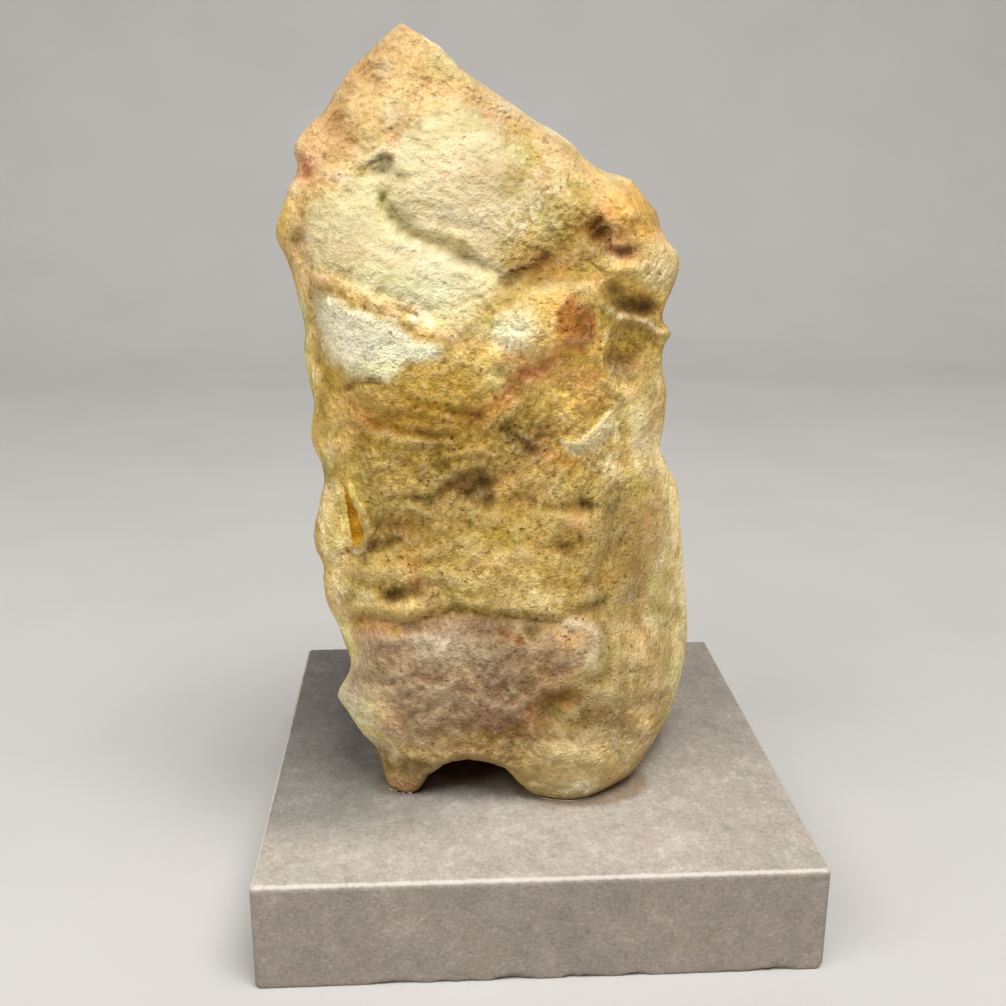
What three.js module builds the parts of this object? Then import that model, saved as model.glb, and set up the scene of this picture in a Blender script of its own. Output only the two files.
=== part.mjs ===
// Petrified wood specimen standing on a square block of honed stone.
// Millimetres, +Z up. The origin is the centre of the block's underside,
// +X is to the right and -Y is the specimen's front.
//
// The specimen is one natural piece. Its surface is the zero level of a field
// built from an outline, a relief of its front, fracture planes at its back
// and three feet, wrapped with a subdivided icosahedron.

import * as THREE from 'three';
import { mergeVertices } from 'three/addons/utils/BufferGeometryUtils.js';

// ---- driving dimensions -------------------------------------------------
const BASE_SIDE = 98;          // width and depth of the block
const BASE_THICKNESS = 20;     // height of the block
const BASE_ARRIS = 0.9;        // chamfer around the block's top
const FOOT_LEVEL = 20.35;      // flat undersides of the specimen's feet
const GLUE_GAP = 0.02;         // air left between a glue bead and its neighbours
const STONE_CENTRE = new THREE.Vector3(-6, -3, 86);
const STONE_RADII = new THREE.Vector3(34, 21, 66);
const STONE_DETAIL = 17;       // icosahedron subdivision, 20 * 18 * 18 triangles
const RELAX_ROUNDS = 60;
const EDGE_ROUNDING = 1.6;     // blend between front, side and back
const SIDE_RADIUS = 34;        // how fast the flanks turn in from the outline
const UNDERSIDE_RADIUS = 160;  // and how slowly the underside does
const SOFTENING = 4.5;         // spread of the softened outline
const RIM_REACH = 8;           // how far from the rim its small bumps fade

// The outline and the relief are drawn on the plane y = 0 and taper towards
// this point in front of the specimen.
const TAPER = new THREE.Vector3(-16.698, -220.697, 136.982);

// Outline on that plane, x and z.
const OUTLINE = [
  [-21.9, 157.9], [-20.9, 157.3], [-19.4, 156.5], [-17, 155.1], [-15.3, 154.2], [-14.4, 153.1], [-12.2, 151], [-10, 149.2],
  [-7.9, 147.9], [-4.4, 145.7], [-1.2, 143.6], [1.6, 141.7], [3.6, 140.8], [5.6, 139.6], [7.9, 138.1], [9.2, 136.7],
  [10.5, 135.3], [12.1, 134.1], [14.4, 133], [17.5, 132.3], [19, 131.7], [20.6, 129.9], [22, 127.9], [23.6, 126.4],
  [24.2, 124.8], [24.7, 122.9], [26.1, 120.8], [27.8, 119], [28.3, 117.2], [28.2, 115.2], [27.5, 112.9], [26.7, 111.1],
  [25.8, 109], [25.3, 106.6], [26.3, 105.3], [27.4, 104], [26.6, 102.4], [25.9, 101.1], [25.7, 98.4], [26.3, 95.5],
  [26.9, 93.3], [26.9, 91.1], [26.7, 88.4], [26.7, 86.2], [26.3, 84.1], [25.9, 82.3], [26.8, 79.9], [28.3, 77.1],
  [29.6, 74.8], [30.1, 72.5], [30.6, 69.1], [30.8, 65.6], [31.4, 61.2], [31.9, 56.7], [32.5, 52.2], [32.9, 47.7],
  [33.2, 43.1], [33.1, 37.9], [32.3, 33.5], [31.5, 29], [30.8, 25.4], [29, 22.3], [27.5, 19.1], [25.8, 15.9],
  [24, 12.9], [22.2, 10.8], [19.8, 9.2], [17.2, 7.6], [13.6, 6], [10, 5.2], [6.6, 5.7], [3, 6.8],
  [0.3, 8.7], [-1.5, 10.6], [-3.5, 13.4], [-7.1, 15], [-11.7, 15.8], [-14.7, 15.4], [-17.3, 14.1], [-19.7, 12.2],
  [-20.8, 10.2], [-22.3, 8.2], [-24.1, 7.5], [-26.2, 7.5], [-27.6, 8.6], [-28.4, 10.8], [-28.9, 14.1], [-29.3, 16.7],
  [-30.2, 19], [-31.3, 20.3], [-33, 22.3], [-34, 23.9], [-35.1, 26.1], [-36.2, 28], [-37.3, 29.6], [-37.8, 30.9],
  [-37.2, 32.7], [-36, 34.6], [-34.8, 36.6], [-34.6, 38.5], [-35.1, 40.8], [-35.7, 42.2], [-36.4, 44.4], [-37.5, 47.4],
  [-38.5, 49.5], [-39.1, 51.2], [-39.4, 53.3], [-39.6, 56.3], [-39.2, 58.3], [-39.8, 60.2], [-40.8, 62.1], [-41.1, 65],
  [-40.6, 67.9], [-39.8, 70.7], [-39.3, 73.5], [-38.5, 75.4], [-38.6, 77.4], [-38.9, 79.8], [-40, 81.8], [-40.6, 84],
  [-40.6, 86.9], [-40.2, 89.1], [-39.7, 90.4], [-40, 93.1], [-40.6, 96], [-41.1, 99.2], [-41.3, 101.8], [-40.9, 103.9],
  [-40.9, 106], [-41.3, 108.6], [-42.1, 110.6], [-42.1, 112.1], [-42.7, 114.7], [-43.4, 116.9], [-43.9, 118.7], [-45, 120.1],
  [-45.7, 121.8], [-45.6, 123.7], [-44.9, 125.8], [-44, 127.7], [-43.3, 129.2], [-43, 130.6], [-41.8, 131.8], [-40.9, 133.2],
  [-41.3, 134.7], [-41.9, 136.1], [-41.9, 137.6], [-41.4, 139], [-39.7, 140.2], [-38.2, 141.6], [-36.2, 143], [-35, 144.5],
  [-34.1, 146.3], [-32.8, 147.9], [-31.3, 150], [-28.8, 152.3], [-25.8, 155], [-23.2, 157.2],
];

// Depth y of the widest line along the outline: x, z, y.
const RIM = [
  [-21.9, 157.9, 0.5], [-31.3, 150, 0], [-40.2, 140, -1], [-42.1, 136.8, -2], [-45.7, 123, -3], [-42.1, 110.5, -4],
  [-41, 99.4, -4.5], [-40.3, 86, -5], [-38.6, 76.2, -5], [-41, 65.1, -6], [-39.5, 53.7, -7], [-35.8, 43, -9],
  [-37.7, 31, -11], [-33.1, 22.3, -13], [-28.8, 13.7, -15], [-26.3, 7.6, -18], [-17.2, 14.1, -20], [-11, 15.8, -22],
  [-3.5, 13.5, -22], [3.7, 6.7, -21], [10, 5.3, -22], [19.9, 9.2, -18], [27.6, 19.1, -12], [31.3, 29, -5],
  [33.3, 41.5, 1], [32, 56.6, 4], [30.6, 69.1, 4.5], [25.9, 82.3, 3], [26.5, 91.2, 2], [27.3, 104, 0.5],
  [26, 109, 1], [28.2, 117.1, 1], [24.4, 123.8, 1.5], [20.5, 130, 2], [12.2, 134, 3], [3.6, 140.8, 3],
  [-7.8, 148, 2.5], [-15.4, 154.2, 1.5],
];

// Relief of the front: x, z, y.
const FRONT = [
  [-21.9, 158.3, -1.5], [-24.9, 153.8, -3.5], [-17.1, 153.9, -2.5], [-29.4, 149.4, -4.5], [-21.6, 147.8, -7], [-12.8, 148.6, -4],
  [-34.9, 142.2, -6.5], [-27.9, 141.1, -10], [-17.4, 140.2, -11], [-6.7, 141.1, -9.5], [0.4, 140.6, -5.5], [-41.8, 136.8, -5.5],
  [-37, 134.3, -10.5], [-28.1, 133.4, -13.5], [-17.5, 131.7, -14.5], [-4.9, 132.6, -14], [5.9, 134.3, -10.5], [12.3, 132.1, -7],
  [-44.4, 126.1, -8], [-38.8, 125.6, -14], [-30.2, 124.7, -18], [-22.9, 127.3, -16], [-15.8, 122.1, -16.5], [-4.9, 123.8, -16.5],
  [6, 125.6, -15], [13.3, 128.2, -12], [20.6, 128.2, -10.5], [24.4, 123.8, -6.5], [-45, 121.2, -8.5], [-39.5, 115.9, -17],
  [-32.3, 115.8, -20.5], [-23.2, 115.8, -21.5], [-14.1, 114.9, -20], [-4.9, 116.7, -18.3], [2.4, 118.4, -16.2], [9.8, 120.2, -15.2],
  [15.3, 120.2, -13.5], [21.8, 119.3, -11], [27.5, 117.1, -5], [-42.2, 109.5, -11], [-37.1, 108.6, -18.5], [-27.1, 105.8, -22.3],
  [-17.9, 106.7, -22], [-8.6, 108.5, -21.5], [-1.2, 108.4, -23], [6.3, 110.2, -22.5], [11.9, 108.3, -20], [18.5, 108.3, -12],
  [25, 108.3, -6], [-40.9, 101.2, -12], [-36.5, 101.2, -18.5], [-27.3, 98.3, -22.8], [-16.1, 101.1, -23.2], [-4.9, 101.9, -24],
  [4.5, 101.9, -24], [12, 101.8, -21], [18.7, 101.8, -12.5], [25.3, 101.7, -5], [-39.9, 91.8, -12.5], [-35, 92.7, -18],
  [-23.8, 91.6, -23.2], [-12.4, 91.5, -23.6], [-1.1, 92.4, -22.6], [10.3, 94.2, -21.8], [17, 93.2, -18.5], [22.8, 93.1, -10.5],
  [26.5, 92.1, -4], [-40.2, 84.1, -12], [-34.4, 83, -18.3], [-24, 81.9, -22.8], [-12.5, 81.8, -22.8], [-1, 82.6, -22.3],
  [9.6, 82.5, -20.7], [16.3, 85.4, -17.5], [22.1, 84.4, -10.5], [26, 83.3, -3.5], [-39, 76.2, -11], [-34.7, 74.1, -16.5],
  [-24.2, 72, -22.3], [-12.6, 71.8, -23], [-0.9, 71.6, -23.4], [8.8, 72.5, -22], [15.6, 74.4, -17.6], [22.5, 73.3, -10],
  [29.6, 73.2, -0.5], [-40.6, 65.1, -12], [-35.1, 63, -15.5], [-29.3, 62.9, -20.5], [-18.6, 61.7, -24.5], [-4.8, 61.4, -25.5],
  [7, 61.2, -25], [14, 61.1, -22.5], [19.9, 62.1, -15.5], [25.9, 62, -8], [31.3, 61.2, 0.5], [-39.5, 53.7, -13],
  [-32.5, 52.5, -20], [-18.7, 51.2, -25.8], [-4.8, 50.9, -26.8], [7.2, 50.7, -26], [14.2, 50.5, -23.7], [21.3, 50.4, -17.5],
  [27.4, 50.3, -9.5], [32.2, 51.3, 0], [-36.8, 44.1, -14.5], [-30.8, 42.9, -22.5], [-18.9, 41.5, -27.2], [-4.8, 40.1, -28.5],
  [7.4, 39.9, -28], [17.6, 39.6, -25.8], [24.7, 39.5, -20], [30.3, 39.3, -10], [33.1, 40.4, -2], [-37.3, 31, -15],
  [-30.2, 30.8, -24], [-19.1, 30.5, -27.8], [-6.8, 29.1, -28.6], [5.5, 27.7, -27.4], [15.9, 26.3, -27.8], [24.2, 26, -23.5],
  [30, 27, -12], [-28.9, 19.5, -19.5], [-19.2, 19.2, -25.8], [-6.8, 18.9, -27.5], [5.7, 16.2, -28.6], [16.1, 15.9, -27.6],
  [24.5, 15.7, -20], [-28.7, 10.2, -18.5], [-25.2, 9, -21.2], [-20.3, 14.6, -24], [3.7, 8.1, -25], [11.1, 6.2, -26],
  [18.4, 8.8, -24],
];

// Hollows (+) and swellings (-) of the front: x, z, radius x, radius z, depth.
const DENTS = [
  [18.2, 110.2, 3.2, 2.4, 5], [19.3, 100.8, 2.5, 3.2, 3.6], [13.6, 123.8, 1.7, 1.8, 2.6], [18.4, 127.3, 3.3, 3.5, -1.6],
  [-25.8, 133.8, 1.4, 1, 2], [-13.1, 121.2, 8.2, 2.1, 1.2], [-9.3, 76.2, 2.9, 1.4, 3.4], [-0.1, 83, 3.1, 2.4, 1.6],
  [-26.2, 51.8, 2, 1.1, 3.2], [-33.5, 65.6, 1, 2.4, 3], [12.2, 70.4, 1.4, 1.2, 2.4], [11.5, 66.6, 1.8, 1.8, -1.4],
  [6.5, 28.3, 2.7, 2.5, 1.2], [7.4, 38.8, 6.1, 3.1, -0.8], [-4.9, 103.8, 7.5, 3.7, -1], [9.3, 106.9, 2.6, 2.8, -0.8],
];

// Fracture planes of the back: a point, a normal and the rounding to the rest.
const BACK = [
  [[-5, 20.5, 75], [0.07, 0.995, 0.02], 2.5],
  [[21, 16, 70], [0.66, 0.74, 0.08], 2.5],
  [[-31, 13.5, 84], [-0.62, 0.77, 0.12], 2.5],
  [[-12, 16.5, 126], [0.14, 0.88, 0.44], 2.0],
  [[12, 18, 42], [0.3, 0.94, -0.14], 2.5],
  [[-26, 15, 38], [-0.5, 0.86, -0.05], 2.5],
];

// Tips and corners that keep their points.
const TIPS = [
  [-21.9, 0.2, 157.8], [-15.4, 1.5, 154.1], [-41.6, -2, 137.5], [-42.5, -2.5, 130.5], [-45.1, -3, 122.8],
  [20.1, 2, 131.3], [27.4, 0.5, 103.9], [28.3, 1, 117], [-36.4, -11, 36.3], [-34.5, -9, 45.8],
  [-40.2, -6, 65.5], [-27.7, -15.5, 18.9], [-25.6, -19.5, 19.3], [-23, -19, 19.1], [-20.1, -20, 22.6],
  [-17, -20, 25], [-11.6, -22, 27.6], [-5.2, -22, 25.8], [-3, -22.5, 23.5], [1.1, -22, 20.1],
  [4.1, -22.5, 19.7], [7.4, -23, 19.4], [11.2, -22, 19.8], [15.2, -20, 20.2], [19.6, -17, 21.2],
  [25.3, -12, 26.1], [31.5, -3, 34.9], [33.3, 1.5, 45.2], [-8.4, 2.5, 148.1], [3.4, 3, 141],
  [11.7, 3, 134.5],
];

// Arch between the feet and the hollow behind it: centre, radii.
const ARCHES = [
  [[-10.6, -16, 18.5], [9.6, 15, 11.2]],
  [[-7, 1, 18.2], [15, 13, 9.4]],
  [[26, 3, 19], [11, 9, 9]],
  [[-36, 2, 19], [9, 12, 10]],
];

// Beads of clear glue: name, place, half length, half width, turn.
const BEADS = [
  ['glue_left_foot', [-25.4, -17.6], 4.2, 3.6, 0.5],
  ['glue_right_foot', [9.5, -18.5], 11.5, 5.6, 0.12],
  ['glue_back_foot', [-5, 16.8], 8, 2.6, 0.0],
];

// ---- helpers ------------------------------------------------------------
const smoothMax = (a, b, k) => {
  const h = Math.max(k - Math.abs(a - b), 0) / k;
  return Math.max(a, b) + h * h * k * 0.25;
};

// Thin-plate spline through [x, z, value] rows.
function thinPlate(rows, stiffness) {
  const n = rows.length;
  const m = n + 3;
  const a = [];
  const phi = (r2) => (r2 > 0 ? 0.5 * r2 * Math.log(r2) : 0);
  for (let i = 0; i < n; i++) {
    const row = new Float64Array(m + 1);
    for (let j = 0; j < n; j++) {
      const dx = rows[i][0] - rows[j][0];
      const dz = rows[i][1] - rows[j][1];
      row[j] = phi(dx * dx + dz * dz) + (i === j ? stiffness : 0);
    }
    row[n] = 1;
    row[n + 1] = rows[i][0];
    row[n + 2] = rows[i][1];
    row[m] = rows[i][2];
    a.push(row);
  }
  for (let k = 0; k < 3; k++) {
    const row = new Float64Array(m + 1);
    for (let j = 0; j < n; j++) row[j] = k === 0 ? 1 : rows[j][k - 1];
    a.push(row);
  }
  for (let c = 0; c < m; c++) {
    let p = c;
    for (let r = c + 1; r < m; r++) if (Math.abs(a[r][c]) > Math.abs(a[p][c])) p = r;
    [a[c], a[p]] = [a[p], a[c]];
    for (let r = c + 1; r < m; r++) {
      const f = a[r][c] / a[c][c];
      if (f !== 0) for (let k = c; k <= m; k++) a[r][k] -= f * a[c][k];
    }
  }
  const w = new Float64Array(m);
  for (let r = m - 1; r >= 0; r--) {
    let s = a[r][m];
    for (let k = r + 1; k < m; k++) s -= a[r][k] * w[k];
    w[r] = s / a[r][r];
  }
  return (x, z) => {
    let s = w[n] + w[n + 1] * x + w[n + 2] * z;
    for (let j = 0; j < n; j++) {
      const dx = x - rows[j][0];
      const dz = z - rows[j][1];
      s += w[j] * phi(dx * dx + dz * dz);
    }
    return s;
  };
}

// Signed distance to the outline, negative inside, and the nearest rim depth.
const rimAt = OUTLINE.map(([x, z]) => {
  let s = 0;
  let t = 0;
  for (const [rx, rz, ry] of RIM) {
    const d2 = (x - rx) ** 2 + (z - rz) ** 2;
    const w = 1 / (d2 * d2 + 1);
    s += w * ry;
    t += w;
  }
  return s / t;
});
// The outline without its small bumps, for the flanks away from the rim.
const SOFT = OUTLINE.filter((_, i) => i % 2 === 0).map(([x, z]) => {
  let s = [0, 0, 0];
  OUTLINE.forEach(([ax, az], i) => {
    const [bx, bz] = OUTLINE[(i + 1) % OUTLINE.length];
    const mx = (ax + bx) / 2;
    const mz = (az + bz) / 2;
    const w = Math.hypot(bx - ax, bz - az)
      * Math.exp(-((mx - x) ** 2 + (mz - z) ** 2) / (2 * SOFTENING * SOFTENING));
    s = [s[0] + w * mx, s[1] + w * mz, s[2] + w];
  });
  return [s[0] / s[2], s[1] / s[2]];
});
function insideLoop(loop, x, z) {
  let inside = false;
  for (let i = 0, j = loop.length - 1; i < loop.length; j = i++) {
    const [ax, az] = loop[j];
    const [bx, bz] = loop[i];
    if ((bz > z) !== (az > z) && x < (ax - bx) * (z - bz) / (az - bz) + bx) inside = !inside;
  }
  return inside;
}
const bendAt = OUTLINE.map(([, z]) => {
  const t = Math.min(1, Math.max(0, (z - 10) / 16));
  return (1 - t) / (2 * UNDERSIDE_RADIUS) + t / (2 * SIDE_RADIUS);
});
function outlineAt(x, z) {
  let soft = Infinity;
  for (let i = 0, j = SOFT.length - 1; i < SOFT.length; j = i++) {
    const ex = SOFT[i][0] - SOFT[j][0];
    const ez = SOFT[i][1] - SOFT[j][1];
    const qx = x - SOFT[j][0];
    const qz = z - SOFT[j][1];
    const h = Math.min(1, Math.max(0, (qx * ex + qz * ez) / (ex * ex + ez * ez)));
    soft = Math.min(soft, (qx - h * ex) ** 2 + (qz - h * ez) ** 2);
  }
  soft = Math.sqrt(soft) * (insideLoop(SOFT, x, z) ? -1 : 1);
  let best = Infinity;
  let inside = false;
  let rim = 0;
  let bend = 0;
  const n = OUTLINE.length;
  for (let i = 0, j = n - 1; i < n; j = i++) {
    const [ax, az] = OUTLINE[j];
    const [bx, bz] = OUTLINE[i];
    const ex = bx - ax;
    const ez = bz - az;
    const h = Math.min(1, Math.max(0, ((x - ax) * ex + (z - az) * ez) / (ex * ex + ez * ez)));
    const dx = x - ax - h * ex;
    const dz = z - az - h * ez;
    const d = dx * dx + dz * dz;
    if (d < best) {
      best = d;
      rim = rimAt[j] * (1 - h) + rimAt[i] * h;
      bend = bendAt[j] * (1 - h) + bendAt[i] * h;
    }
    if ((bz > z) !== (az > z) && x < (ax - bx) * (z - bz) / (az - bz) + bx) inside = !inside;
  }
  return [(inside ? -1 : 1) * Math.sqrt(best), rim, bend, soft];
}

const relief = thinPlate(FRONT, 2);
function frontDepth(x, z) {
  let y = relief(x, z);
  for (const [cx, cz, rx, rz, depth] of DENTS) {
    const q = ((x - cx) / rx) ** 2 + ((z - cz) / rz) ** 2;
    if (q < 9) y += depth * Math.exp(-q);
  }
  return y;
}

// Slow undulation of the back.
const swell = (x, y, z) =>
  0.9 * Math.sin(0.11 * x + 0.07 * z + 1.1) * Math.sin(0.093 * z - 0.08 * x + 0.4)
  + 0.5 * Math.sin(0.17 * z + 0.12 * y + 2.3) * Math.sin(0.21 * x - 0.11 * y + 0.7)
  + 0.25 * Math.sin(0.31 * x + 0.13 * z) * Math.sin(0.27 * z - 0.22 * x + 1.9);

function field(x, y, z) {
  const s = -TAPER.y / (y - TAPER.y);
  const px = TAPER.x + (x - TAPER.x) * s;
  const pz = TAPER.z + (z - TAPER.z) * s;
  const [edge, rim, bend, soft] = outlineAt(px, pz);
  const off = y - rim;
  const near = Math.exp(-((off / RIM_REACH) ** 2));
  let f = (edge * near + soft * (1 - near)) / s + off * off * bend;
  f = smoothMax(f, frontDepth(px, pz) - y, EDGE_ROUNDING);
  const wave = swell(x, y, z);
  for (const [p, n, k] of BACK) {
    const l = Math.hypot(...n);
    const d = ((x - p[0]) * n[0] + (y - p[1]) * n[1] + (z - p[2]) * n[2]) / l;
    f = smoothMax(f, d + wave, k);
  }
  for (const [c, r] of ARCHES) {
    const q = Math.hypot((x - c[0]) / r[0], (y - c[1]) / r[1], (z - c[2]) / r[2]);
    f = smoothMax(f, (1 - q) * Math.min(...r), 1.5);
  }
  return smoothMax(f, FOOT_LEVEL - z, 0.6);
}

// ---- specimen -----------------------------------------------------------
function wrapStone() {
  let g = new THREE.IcosahedronGeometry(1, STONE_DETAIL);
  g.deleteAttribute('normal');
  g.deleteAttribute('uv');
  g = mergeVertices(g, 1e-5);
  const pos = g.attributes.position;
  const n = pos.count;
  const c = STONE_CENTRE;
  const v = new Float64Array(3 * n);
  for (let i = 0; i < n; i++) {
    const d = new THREE.Vector3().fromBufferAttribute(pos, i).multiply(STONE_RADII).normalize();
    let lo = 0;
    let hi = 0;
    while (hi < 120 && field(c.x + d.x * hi, c.y + d.y * hi, c.z + d.z * hi) < 0) {
      lo = hi;
      hi += 1.5;
    }
    for (let k = 0; k < 24; k++) {
      const m = (lo + hi) / 2;
      if (field(c.x + d.x * m, c.y + d.y * m, c.z + d.z * m) < 0) lo = m; else hi = m;
    }
    v[3 * i] = c.x + d.x * lo;
    v[3 * i + 1] = c.y + d.y * lo;
    v[3 * i + 2] = c.z + d.z * lo;
  }
  const ring = Array.from({ length: n }, () => new Set());
  const idx = g.index.array;
  for (let t = 0; t < idx.length; t += 3) {
    for (let k = 0; k < 3; k++) {
      ring[idx[t + k]].add(idx[t + (k + 1) % 3]);
      ring[idx[t + (k + 1) % 3]].add(idx[t + k]);
    }
  }
  const rings = ring.map((s) => [...s]);
  const e = 0.05;
  const grad = new Float64Array(3 * n);
  const settle = (i, steps) => {
    for (let k = 0; k < steps; k++) {
      const x = v[3 * i];
      const y = v[3 * i + 1];
      const z = v[3 * i + 2];
      const f = field(x, y, z);
      const gx = (field(x + e, y, z) - f) / e;
      const gy = (field(x, y + e, z) - f) / e;
      const gz = (field(x, y, z + e) - f) / e;
      const g2 = Math.max(gx * gx + gy * gy + gz * gz, 0.25);
      const q = f / g2;
      const step = Math.min(1, 1.2 / (Math.abs(q) * Math.sqrt(g2) + 1e-9));
      v[3 * i] -= q * gx * step;
      v[3 * i + 1] -= q * gy * step;
      v[3 * i + 2] -= q * gz * step;
      const l = Math.sqrt(g2);
      grad[3 * i] = gx / l;
      grad[3 * i + 1] = gy / l;
      grad[3 * i + 2] = gz / l;
    }
  };
  for (let i = 0; i < n; i++) settle(i, 1);
  // The tips keep a vertex each, so the relaxation doesn't round them away.
  const pinned = new Uint8Array(n);
  for (const [tx, ty, tz] of TIPS) {
    let best = -1;
    let dist = Infinity;
    for (let i = 0; i < n; i++) {
      const d = (v[3 * i] - tx) ** 2 + (v[3 * i + 1] - ty) ** 2 + (v[3 * i + 2] - tz) ** 2;
      if (d < dist && !pinned[i]) {
        dist = d;
        best = i;
      }
    }
    v[3 * best] = tx;
    v[3 * best + 1] = ty;
    v[3 * best + 2] = tz;
    settle(best, 12);
    pinned[best] = 1;
  }
  for (let round = 0; round < RELAX_ROUNDS; round++) {
    const w = Float64Array.from(v);
    for (let i = 0; i < n; i++) {
      if (pinned[i]) continue;
      const m = rings[i].length;
      const d = [0, 0, 0];
      for (let c3 = 0; c3 < 3; c3++) {
        for (const j of rings[i]) d[c3] += v[3 * j + c3];
        d[c3] = d[c3] / m - v[3 * i + c3];
      }
      const along = d[0] * grad[3 * i] + d[1] * grad[3 * i + 1] + d[2] * grad[3 * i + 2];
      for (let c3 = 0; c3 < 3; c3++) w[3 * i + c3] += 0.6 * (d[c3] - along * grad[3 * i + c3]);
    }
    v.set(w);
    for (let i = 0; i < n; i++) if (!pinned[i]) settle(i, 1);
  }
  for (let i = 0; i < n; i++) settle(i, 6);
  for (let i = 0; i < n; i++) pos.setXYZ(i, v[3 * i], v[3 * i + 1], Math.max(v[3 * i + 2], FOOT_LEVEL));
  g.computeVertexNormals();
  return g;
}

// ---- turned and square pieces -------------------------------------------
// A closed profile turned about Z; four sides make the square block.
function turned(profile, sides) {
  let g = new THREE.LatheGeometry(profile.map(([r, z]) => new THREE.Vector2(r, z)), sides);
  g.rotateX(Math.PI / 2);
  g.deleteAttribute('normal');
  g.deleteAttribute('uv');
  g = mergeVertices(g, 1e-4);
  const idx = g.index.array;
  const keep = [];
  for (let t = 0; t < idx.length; t += 3) {
    const [a, b, c] = [idx[t], idx[t + 1], idx[t + 2]];
    if (a !== b && b !== c && c !== a) keep.push(a, b, c);
  }
  g.setIndex(keep);
  g.computeVertexNormals();
  return g;
}

function makeBlock() {
  const r = BASE_SIDE / Math.SQRT2;
  const g = turned([
    [0, 0], [r, 0], [r, BASE_THICKNESS - BASE_ARRIS],
    [r - BASE_ARRIS * Math.SQRT2, BASE_THICKNESS], [0, BASE_THICKNESS],
  ], 4);
  g.rotateZ(Math.PI / 4);
  return g;
}

// A bead of clear glue pressed flat between the block and a foot.
function makeBead(rx, ry, turn) {
  const h = FOOT_LEVEL - BASE_THICKNESS - 2 * GLUE_GAP;
  const g = turned([[0, 0], [1, 0], [1.03, h * 0.35], [0.98, h * 0.75], [0.9, h], [0, h]], 20);
  g.scale(rx, ry, 1);
  g.rotateZ(turn);
  return g;
}

function node(name, geometry, colour, roughness, at = [0, 0, 0]) {
  const mesh = new THREE.Mesh(geometry, new THREE.MeshStandardMaterial({
    color: colour, roughness, metalness: 0,
  }));
  mesh.name = name;
  mesh.position.set(...at);
  return mesh;
}

const specimen = new THREE.Group();
specimen.add(node('stone_base', makeBlock(), 0x9f958a, 0.6));
specimen.add(node('petrified_wood', wrapStone(), 0xc2a878, 0.85));
for (const [name, at, rx, ry, turn] of BEADS) {
  specimen.add(node(name, makeBead(rx, ry, turn), 0xd8d2c0, 0.08,
    [at[0], at[1], BASE_THICKNESS + GLUE_GAP]));
}

export default specimen;
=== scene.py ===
"""Petrified wood specimen on a square stone block: the looks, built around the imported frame."""
import math

import bmesh
import bpy
import mathutils
import numpy as np
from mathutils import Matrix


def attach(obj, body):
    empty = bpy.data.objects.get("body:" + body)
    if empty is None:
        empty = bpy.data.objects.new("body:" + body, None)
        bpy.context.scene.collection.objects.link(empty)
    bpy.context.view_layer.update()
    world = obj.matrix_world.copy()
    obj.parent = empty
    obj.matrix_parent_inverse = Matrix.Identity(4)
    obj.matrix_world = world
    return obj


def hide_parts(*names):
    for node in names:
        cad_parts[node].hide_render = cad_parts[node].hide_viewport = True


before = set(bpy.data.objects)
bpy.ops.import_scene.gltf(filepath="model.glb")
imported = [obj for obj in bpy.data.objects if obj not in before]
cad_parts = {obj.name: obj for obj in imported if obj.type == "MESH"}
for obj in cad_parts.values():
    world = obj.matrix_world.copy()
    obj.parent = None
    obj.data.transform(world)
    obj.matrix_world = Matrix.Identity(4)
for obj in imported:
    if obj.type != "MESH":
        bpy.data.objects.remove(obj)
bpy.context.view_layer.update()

MM = 0.001

# ---------------------------------------------------------------------------
# The eye. Lengths are millimetres in the row frame; u and v count pixels of a
# 1006 x 1006 picture seen from here, u to the right and v downwards.
# ---------------------------------------------------------------------------
EYE = np.array([-16.698, -220.697, 136.982])
AIM_RIGHT = np.array([0.99844653, -0.05568205, 0.00200875])
AIM_UP = np.array([0.01398604, 0.28535823, 0.95831888])
AIM_FWD = np.array([0.05393437, 0.95680206, -0.28569371])
FOCAL = 1186.204
MID = 503.0


def to_px(p):
    d = p - EYE
    w = d @ AIM_FWD
    return MID + FOCAL * (d @ AIM_RIGHT) / w, MID - FOCAL * (d @ AIM_UP) / w


def on_plane(u, v):
    """Where the line of sight of a pixel meets the plane y = 0: x and z."""
    d = (AIM_FWD[None] + AIM_RIGHT[None] * ((np.ravel(u) - MID) / FOCAL)[:, None]
         - AIM_UP[None] * ((np.ravel(v) - MID) / FOCAL)[:, None])
    t = -EYE[1] / d[:, 1]
    q = EYE[None] + d * t[:, None]
    return q[:, 0].reshape(np.shape(u)), q[:, 2].reshape(np.shape(u))


# ---------------------------------------------------------------------------
# Noise
# ---------------------------------------------------------------------------
_rng = np.random.RandomState(20571)
_GRAD = _rng.normal(size=(256, 3))
_GRAD /= np.linalg.norm(_GRAD, axis=1, keepdims=True)
_GRAD = _GRAD.astype(np.float32)
_CELL = _rng.uniform(0.08, 0.92, size=(1024, 3)).astype(np.float32)


def _hash(ix, iy, iz, seed):
    h = (ix.astype(np.uint32) * np.uint32(374761393)
         + iy.astype(np.uint32) * np.uint32(668265263)
         + iz.astype(np.uint32) * np.uint32(2246822519)
         + np.uint32((seed * 2654435761) & 0xFFFFFFFF))
    h = (h ^ (h >> np.uint32(13))) * np.uint32(1274126177)
    return h ^ (h >> np.uint32(16))


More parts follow.
